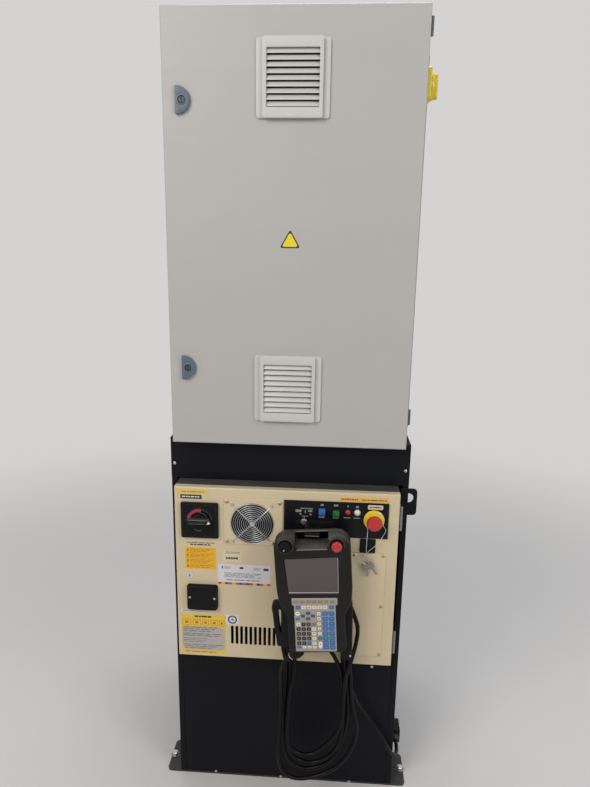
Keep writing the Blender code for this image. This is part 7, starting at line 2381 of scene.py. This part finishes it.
@dataclass
class Enclosure(SubAssembly):
    """The tall enclosure: its door, latches, filters, hinges and isolator switch."""

    body: str = "enclosure_door"
    latch_x: float = -0.2500
    latch_heights: tuple[float, float] = (1.8691, 1.2582)
    latch_front: float = -0.3073
    filter_base: Flat = (0.164, 0.165)
    filter_cover: Flat = (0.134, 0.165)
    filter_opening: Flat = (0.118, 0.121)
    filter_front: float = -0.3123
    filter_back: float = -0.2703
    slots: int = 9

    def build(self) -> None:
        """Dress the sheet metal and model what sits on it."""
        self.coat(FINISH.grey, "enclosure_door", "enclosure_body", edge=0.0018)
        self.coat(FINISH.zinc, "mounting_plate", edge=0.0004)
        for name, z in zip(("upper", "lower"), self.latch_heights):
            self.add_latch(name, z)
        self.add_filter("filter_fan_upper", (0.0005, 1.9132))
        self.add_filter("filter_outlet_lower", (-0.0030, 1.2115))
        self.add_triangle()
        self.add_hinges()
        self.add_isolator()

    def add_latch(self, name: str, z: float) -> None:
        """Model a D-shaped latch plate and its slotted barrel with the cam behind.

        Args:
            name: Which latch it is, upper or lower.
            z: The height of its barrel.
        """
        left, right, half = -0.2653, -0.2313, 0.0300
        outline = [(left, z - half + 0.002), (left + 0.002, z - half)]
        centre_x = right - half
        outline += arc((centre_x, z), half, -90, 90, 18)
        outline += [(left + 0.002, z + half), (left, z + half - 0.002)]
        plate = prism("plate", outline, ENCLOSURE_FACE - SKIN, self.latch_front,
                      [circle((self.latch_x, z), 0.0088, 40)], edge=0.0018, segments=3)
        ring = lathe("ring", [(0.0086, 0.0), (0.0118, 0.0), (0.0118, 0.0008), (0.0110, 0.0013),
                              (0.0090, 0.0013), (0.0086, 0.0008), (0.0086, 0.0)],
                     (self.latch_x, self.latch_front + 0.0001, z), steps=40)
        self.add(join(f"latch_{name}", [dress(plate, FINISH.slate), dress(ring, FINISH.slate)]),
                 "slate_plastic", f"latch_plate_{name}")
        barrel = lathe("barrel", [(0.0, 0.0), (0.0078, 0.0), (0.0078, 0.0108), (0.0070, 0.0118),
                                  (0.0, 0.0118)], (self.latch_x, -0.2955, z), steps=40)
        cut(barrel, block("slot", (self.latch_x - 0.0012, -0.3090, z - 0.0060),
                          (self.latch_x + 0.0012, -0.3050, z + 0.0060), 0.0))
        cam = block("cam", (self.latch_x - 0.0070, -0.2982, z - 0.0060),
                    (self.latch_x + 0.0070, -0.2953, z + 0.0270), 0.0004, 0.003)
        self.add(join(f"lock_barrel_{name}", [dress(smooth(barrel), FINISH.dark_slate),
                                              dress(cam, FINISH.steel)]),
                 "slate_plastic", f"lock_{name}", body=f"lock_{name}")

    def add_filter(self, node: str, centre: Flat) -> None:
        """Model a filter's frame, its raised cover, its slats and the mesh behind them.

        Args:
            node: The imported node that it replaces.
            centre: Its centre on the door.
        """
        x, z = centre
        face = ENCLOSURE_FACE - SKIN
        base = prism("base", rounded(centre, self.filter_base, 0.0070, 6), face, face - 0.0040,
                     [rounded(centre, (0.124, 0.127), 0.0030, 3)], edge=0.0012, segments=3)
        cover = prism("cover", rounded(centre, self.filter_cover, 0.0050, 6), face - 0.0036,
                      self.filter_front, [rounded(centre, self.filter_opening, 0.0020, 3)],
                      edge=0.0014, segments=3)
        pieces = [dress(base, FINISH.grey_plastic), dress(cover, FINISH.grey_plastic)]
        height = self.filter_opening[1]
        rows = [(x, face - 0.0036, z - height / 2 + height / self.slots * (index + 0.5))
                for index in range(self.slots)]
        slats = repeat(self.slat(), [(place, None) for place in rows])
        pieces += [dress(slat, FINISH.grey_plastic) for slat in slats]
        for sx in (-1, 1):
            rib = block("rib", (x + sx * 0.0680 - 0.0004, face - 0.0046, z - 0.0780),
                        (x + sx * 0.0680 + 0.0004, face - 0.0038, z + 0.0780), 0.0002)
            pieces.append(dress(rib, FINISH.grey_plastic))
        tab = block("tab", (x - 0.0130, -0.3120, z - 0.0800), (x + 0.0130, -0.3126, z - 0.0745),
                    0.0002)
        pieces.append(dress(tab, FINISH.grey_plastic))
        mat = block("mat", (x - 0.0610, face - 0.0012, z - 0.0630),
                    (x + 0.0610, face - 0.0002, z + 0.0630), 0.0003)
        pieces.append(dress(mat, FINISH.filter_mat))
        housing = prism("housing", rounded(centre, (0.126, 0.126), 0.0040, 4), -0.3002,
                        self.filter_back, [rounded(centre, (0.120, 0.120), 0.0030, 3)],
                        edge=0.0006)
        pieces.append(dress(housing, FINISH.grey_plastic))
        back = block("back", (x - 0.0600, -0.2740, z - 0.0600),
                     (x + 0.0600, self.filter_back, z + 0.0600), 0.0005)
        for row in range(5):
            for column in range(5):
                hole = (x - 0.044 + 0.022 * column, z - 0.044 + 0.022 * row)
                cut(back, prism("hole", circle(hole, 0.0075, 10), -0.2800, -0.2650))
        pieces.append(dress(smooth(back), FINISH.grey_plastic))
        self.add(join(node + "_grille", pieces), "grey_plastic", node)

    def slat(self) -> Piece:
        """Return one louvre slat with a drip edge, at the origin."""
        profile = [(0.0002, 0.0058), (-0.0006, 0.0062), (-0.0068, -0.0036), (-0.0070, -0.0050),
                   (-0.0060, -0.0050), (-0.0056, -0.0038)]
        return prism("slat", profile, -0.0592, 0.0592, axis=0, edge=0.0003)

    def add_triangle(self) -> None:
        """Stick on the plain yellow triangle with its black border."""
        x, z, half = -0.0020, 1.5630, 0.0235
        height = half * math.sqrt(3)

        def corner_ring(reach: float) -> Outline:
            """Return a triangle's outline with rounded corners.

            Args:
                reach: How far the corners are from the middle.

            Returns:
                The outline's points.
            """
            radius = 0.0032
            outline: Outline = []
            for angle in (90.0, 210.0, 330.0):
                a = math.radians(angle)
                middle = (x + math.cos(a) * (reach - radius * 2),
                          z + math.sin(a) * (reach - radius * 2))
                outline += arc(middle, radius, angle - 60, angle + 60, 5)
            return outline

        reach = height * 2 / 3
        sheet = prism("triangle", corner_ring(reach + 0.001), ENCLOSURE_FACE - 0.00005,
                      ENCLOSURE_FACE - 0.00030)
        inner = prism("field", corner_ring(reach - 0.0048), ENCLOSURE_FACE - 0.00030,
                      ENCLOSURE_FACE - 0.00042)
        self.add(join("plain_triangle", [dress(sheet, FINISH.ink),
                                         dress(inner, FINISH.triangle_yellow)]), "yellow_plastic")

    def add_hinges(self) -> None:
        """Model the two slim hinges on the enclosure's right side."""
        for node, z in (("enclosure_hinge_lower", 1.1425), ("enclosure_hinge_upper", 2.0225)):
            x, y, half = 0.3003, -0.2800, 0.0200
            leaf = block("leaf", (0.2953, y + 0.0010, z - half), (0.2982, -0.2402, z + half),
                         0.0006)
            pieces = [dress(leaf, FINISH.slate)]
            for index in range(3):
                low = z - half + half * 2 / 3 * index
                high = half * 2 / 3 - 0.0003
                barrel = lathe("knuckle", [(0.0, 0.0003), (0.0039, 0.0003), (0.0039, high),
                                           (0.0, high)], (x, y, low), "Z", 28, 0.0005)
                pieces.append(dress(barrel, FINISH.slate))
            self.add(join(node + "_knuckles", pieces), "slate_plastic", node, body="root")

    def add_isolator(self) -> None:
        """Model the isolator's yellow escutcheon and its rotary handle."""
        y, z, wall = -0.2000, 1.9215, 0.2953
        base = prism("base", rounded((y, z), (0.072, 0.072), 0.0080, 6), wall, wall + 0.0180,
                     axis=0, edge=0.0022, segments=3)
        collar = lathe("collar", [(0.0, 0.0), (0.0335, 0.0), (0.0335, 0.0006), (0.0, 0.0006)],
                       (wall + 0.0176, y, z), "X", 56)
        pieces = [dress(base, FINISH.yellow), dress(collar, FINISH.yellow)]
        self.add(join("isolator_escutcheon", pieces), "yellow_plastic", "isolator_base",
                 body="root")
        foot = wall + 0.0186
        knob = lathe("knob", [(0.0, 0.0), (0.0315, 0.0), (0.0320, 0.0020), (0.0300, 0.0072),
                              (0.0, 0.0078)], (foot, y, z), "X", 56, 0.0004)
        grip = prism("grip", rounded((y, z), (0.0138, 0.0560), 0.0060, 6), foot + 0.0070,
                     foot + 0.0177, axis=0, edge=0.0018, segments=3)
        mark = prism("mark", rounded((y, z + 0.0210), (0.0040, 0.0090), 0.0008), foot + 0.0176,
                     foot + 0.0178, axis=0)
        handle = join("isolator_grip", [dress(knob, FINISH.yellow), dress(grip, FINISH.yellow),
                                        dress(mark, FINISH.ink)])
        self.add(handle, "yellow_plastic", "isolator_handle", body="isolator_handle")


@dataclass
class Gland(SubAssembly):
    """The cable entry on the stand's right side."""

    tip: Place = (0.331, -0.193, 0.105)

    def build(self) -> None:
        """Model the hood with its two screws, the gland's hexagon and its cap."""
        x, _, z = self.tip
        hood = block("hood", (0.3153, -0.1750, z - 0.0230), (0.3453, -0.1250, z + 0.0230), 0.0030,
                     0.004)
        hexagon = prism("hexagon", circle((x, z), 0.0120, 6), -0.1750, -0.1805, edge=0.0008)
        cap = lathe("cap", [(0.0, 0.0), (0.0110, 0.0), (0.0112, 0.0030), (0.0105, 0.0050),
                            (0.0092, 0.0106), (0.0070, 0.0126), (0.0060, 0.0126), (0.0058, 0.0100),
                            (0.0, 0.0100)], (x, -0.1804, z), steps=36, edge=0.0003)
        pieces = [dress(hood, FINISH.black), dress(hexagon, FINISH.charcoal),
                  dress(cap, FINISH.charcoal)]
        for dz in (-0.0165, 0.0165):
            head = lathe("hood_screw", [(0.0, 0.0), (0.0030, 0.0), (0.0026, 0.0014), (0.0, 0.0017)],
                         (0.3452, -0.1500, z + dz), "X", 18)
            pieces.append(dress(head, FINISH.steel))
        self.add(join("cable_entry", pieces), "black_plastic", "cable_gland")


def main() -> None:
    """Build every sub-assembly in order."""
    logging.basicConfig(level=logging.INFO, format="%(message)s")
    Stage().build()
    PendantCable().build()
    KeyTether().build()
    Stand().build()
    case = SubAssembly()
    case.coat(FINISH.cream, "controller_door", "fan_plate", edge=0.0010)
    case.coat(FINISH.shell, "controller_shell", edge=0.0010)
    Breaker().build()
    Fan().build()
    OperatorPanel().build()
    DoorLabels().build()
    Covers().build()
    Pendant().build()
    Enclosure().build()
    Gland().build()


if __name__ == "__main__":
    main()
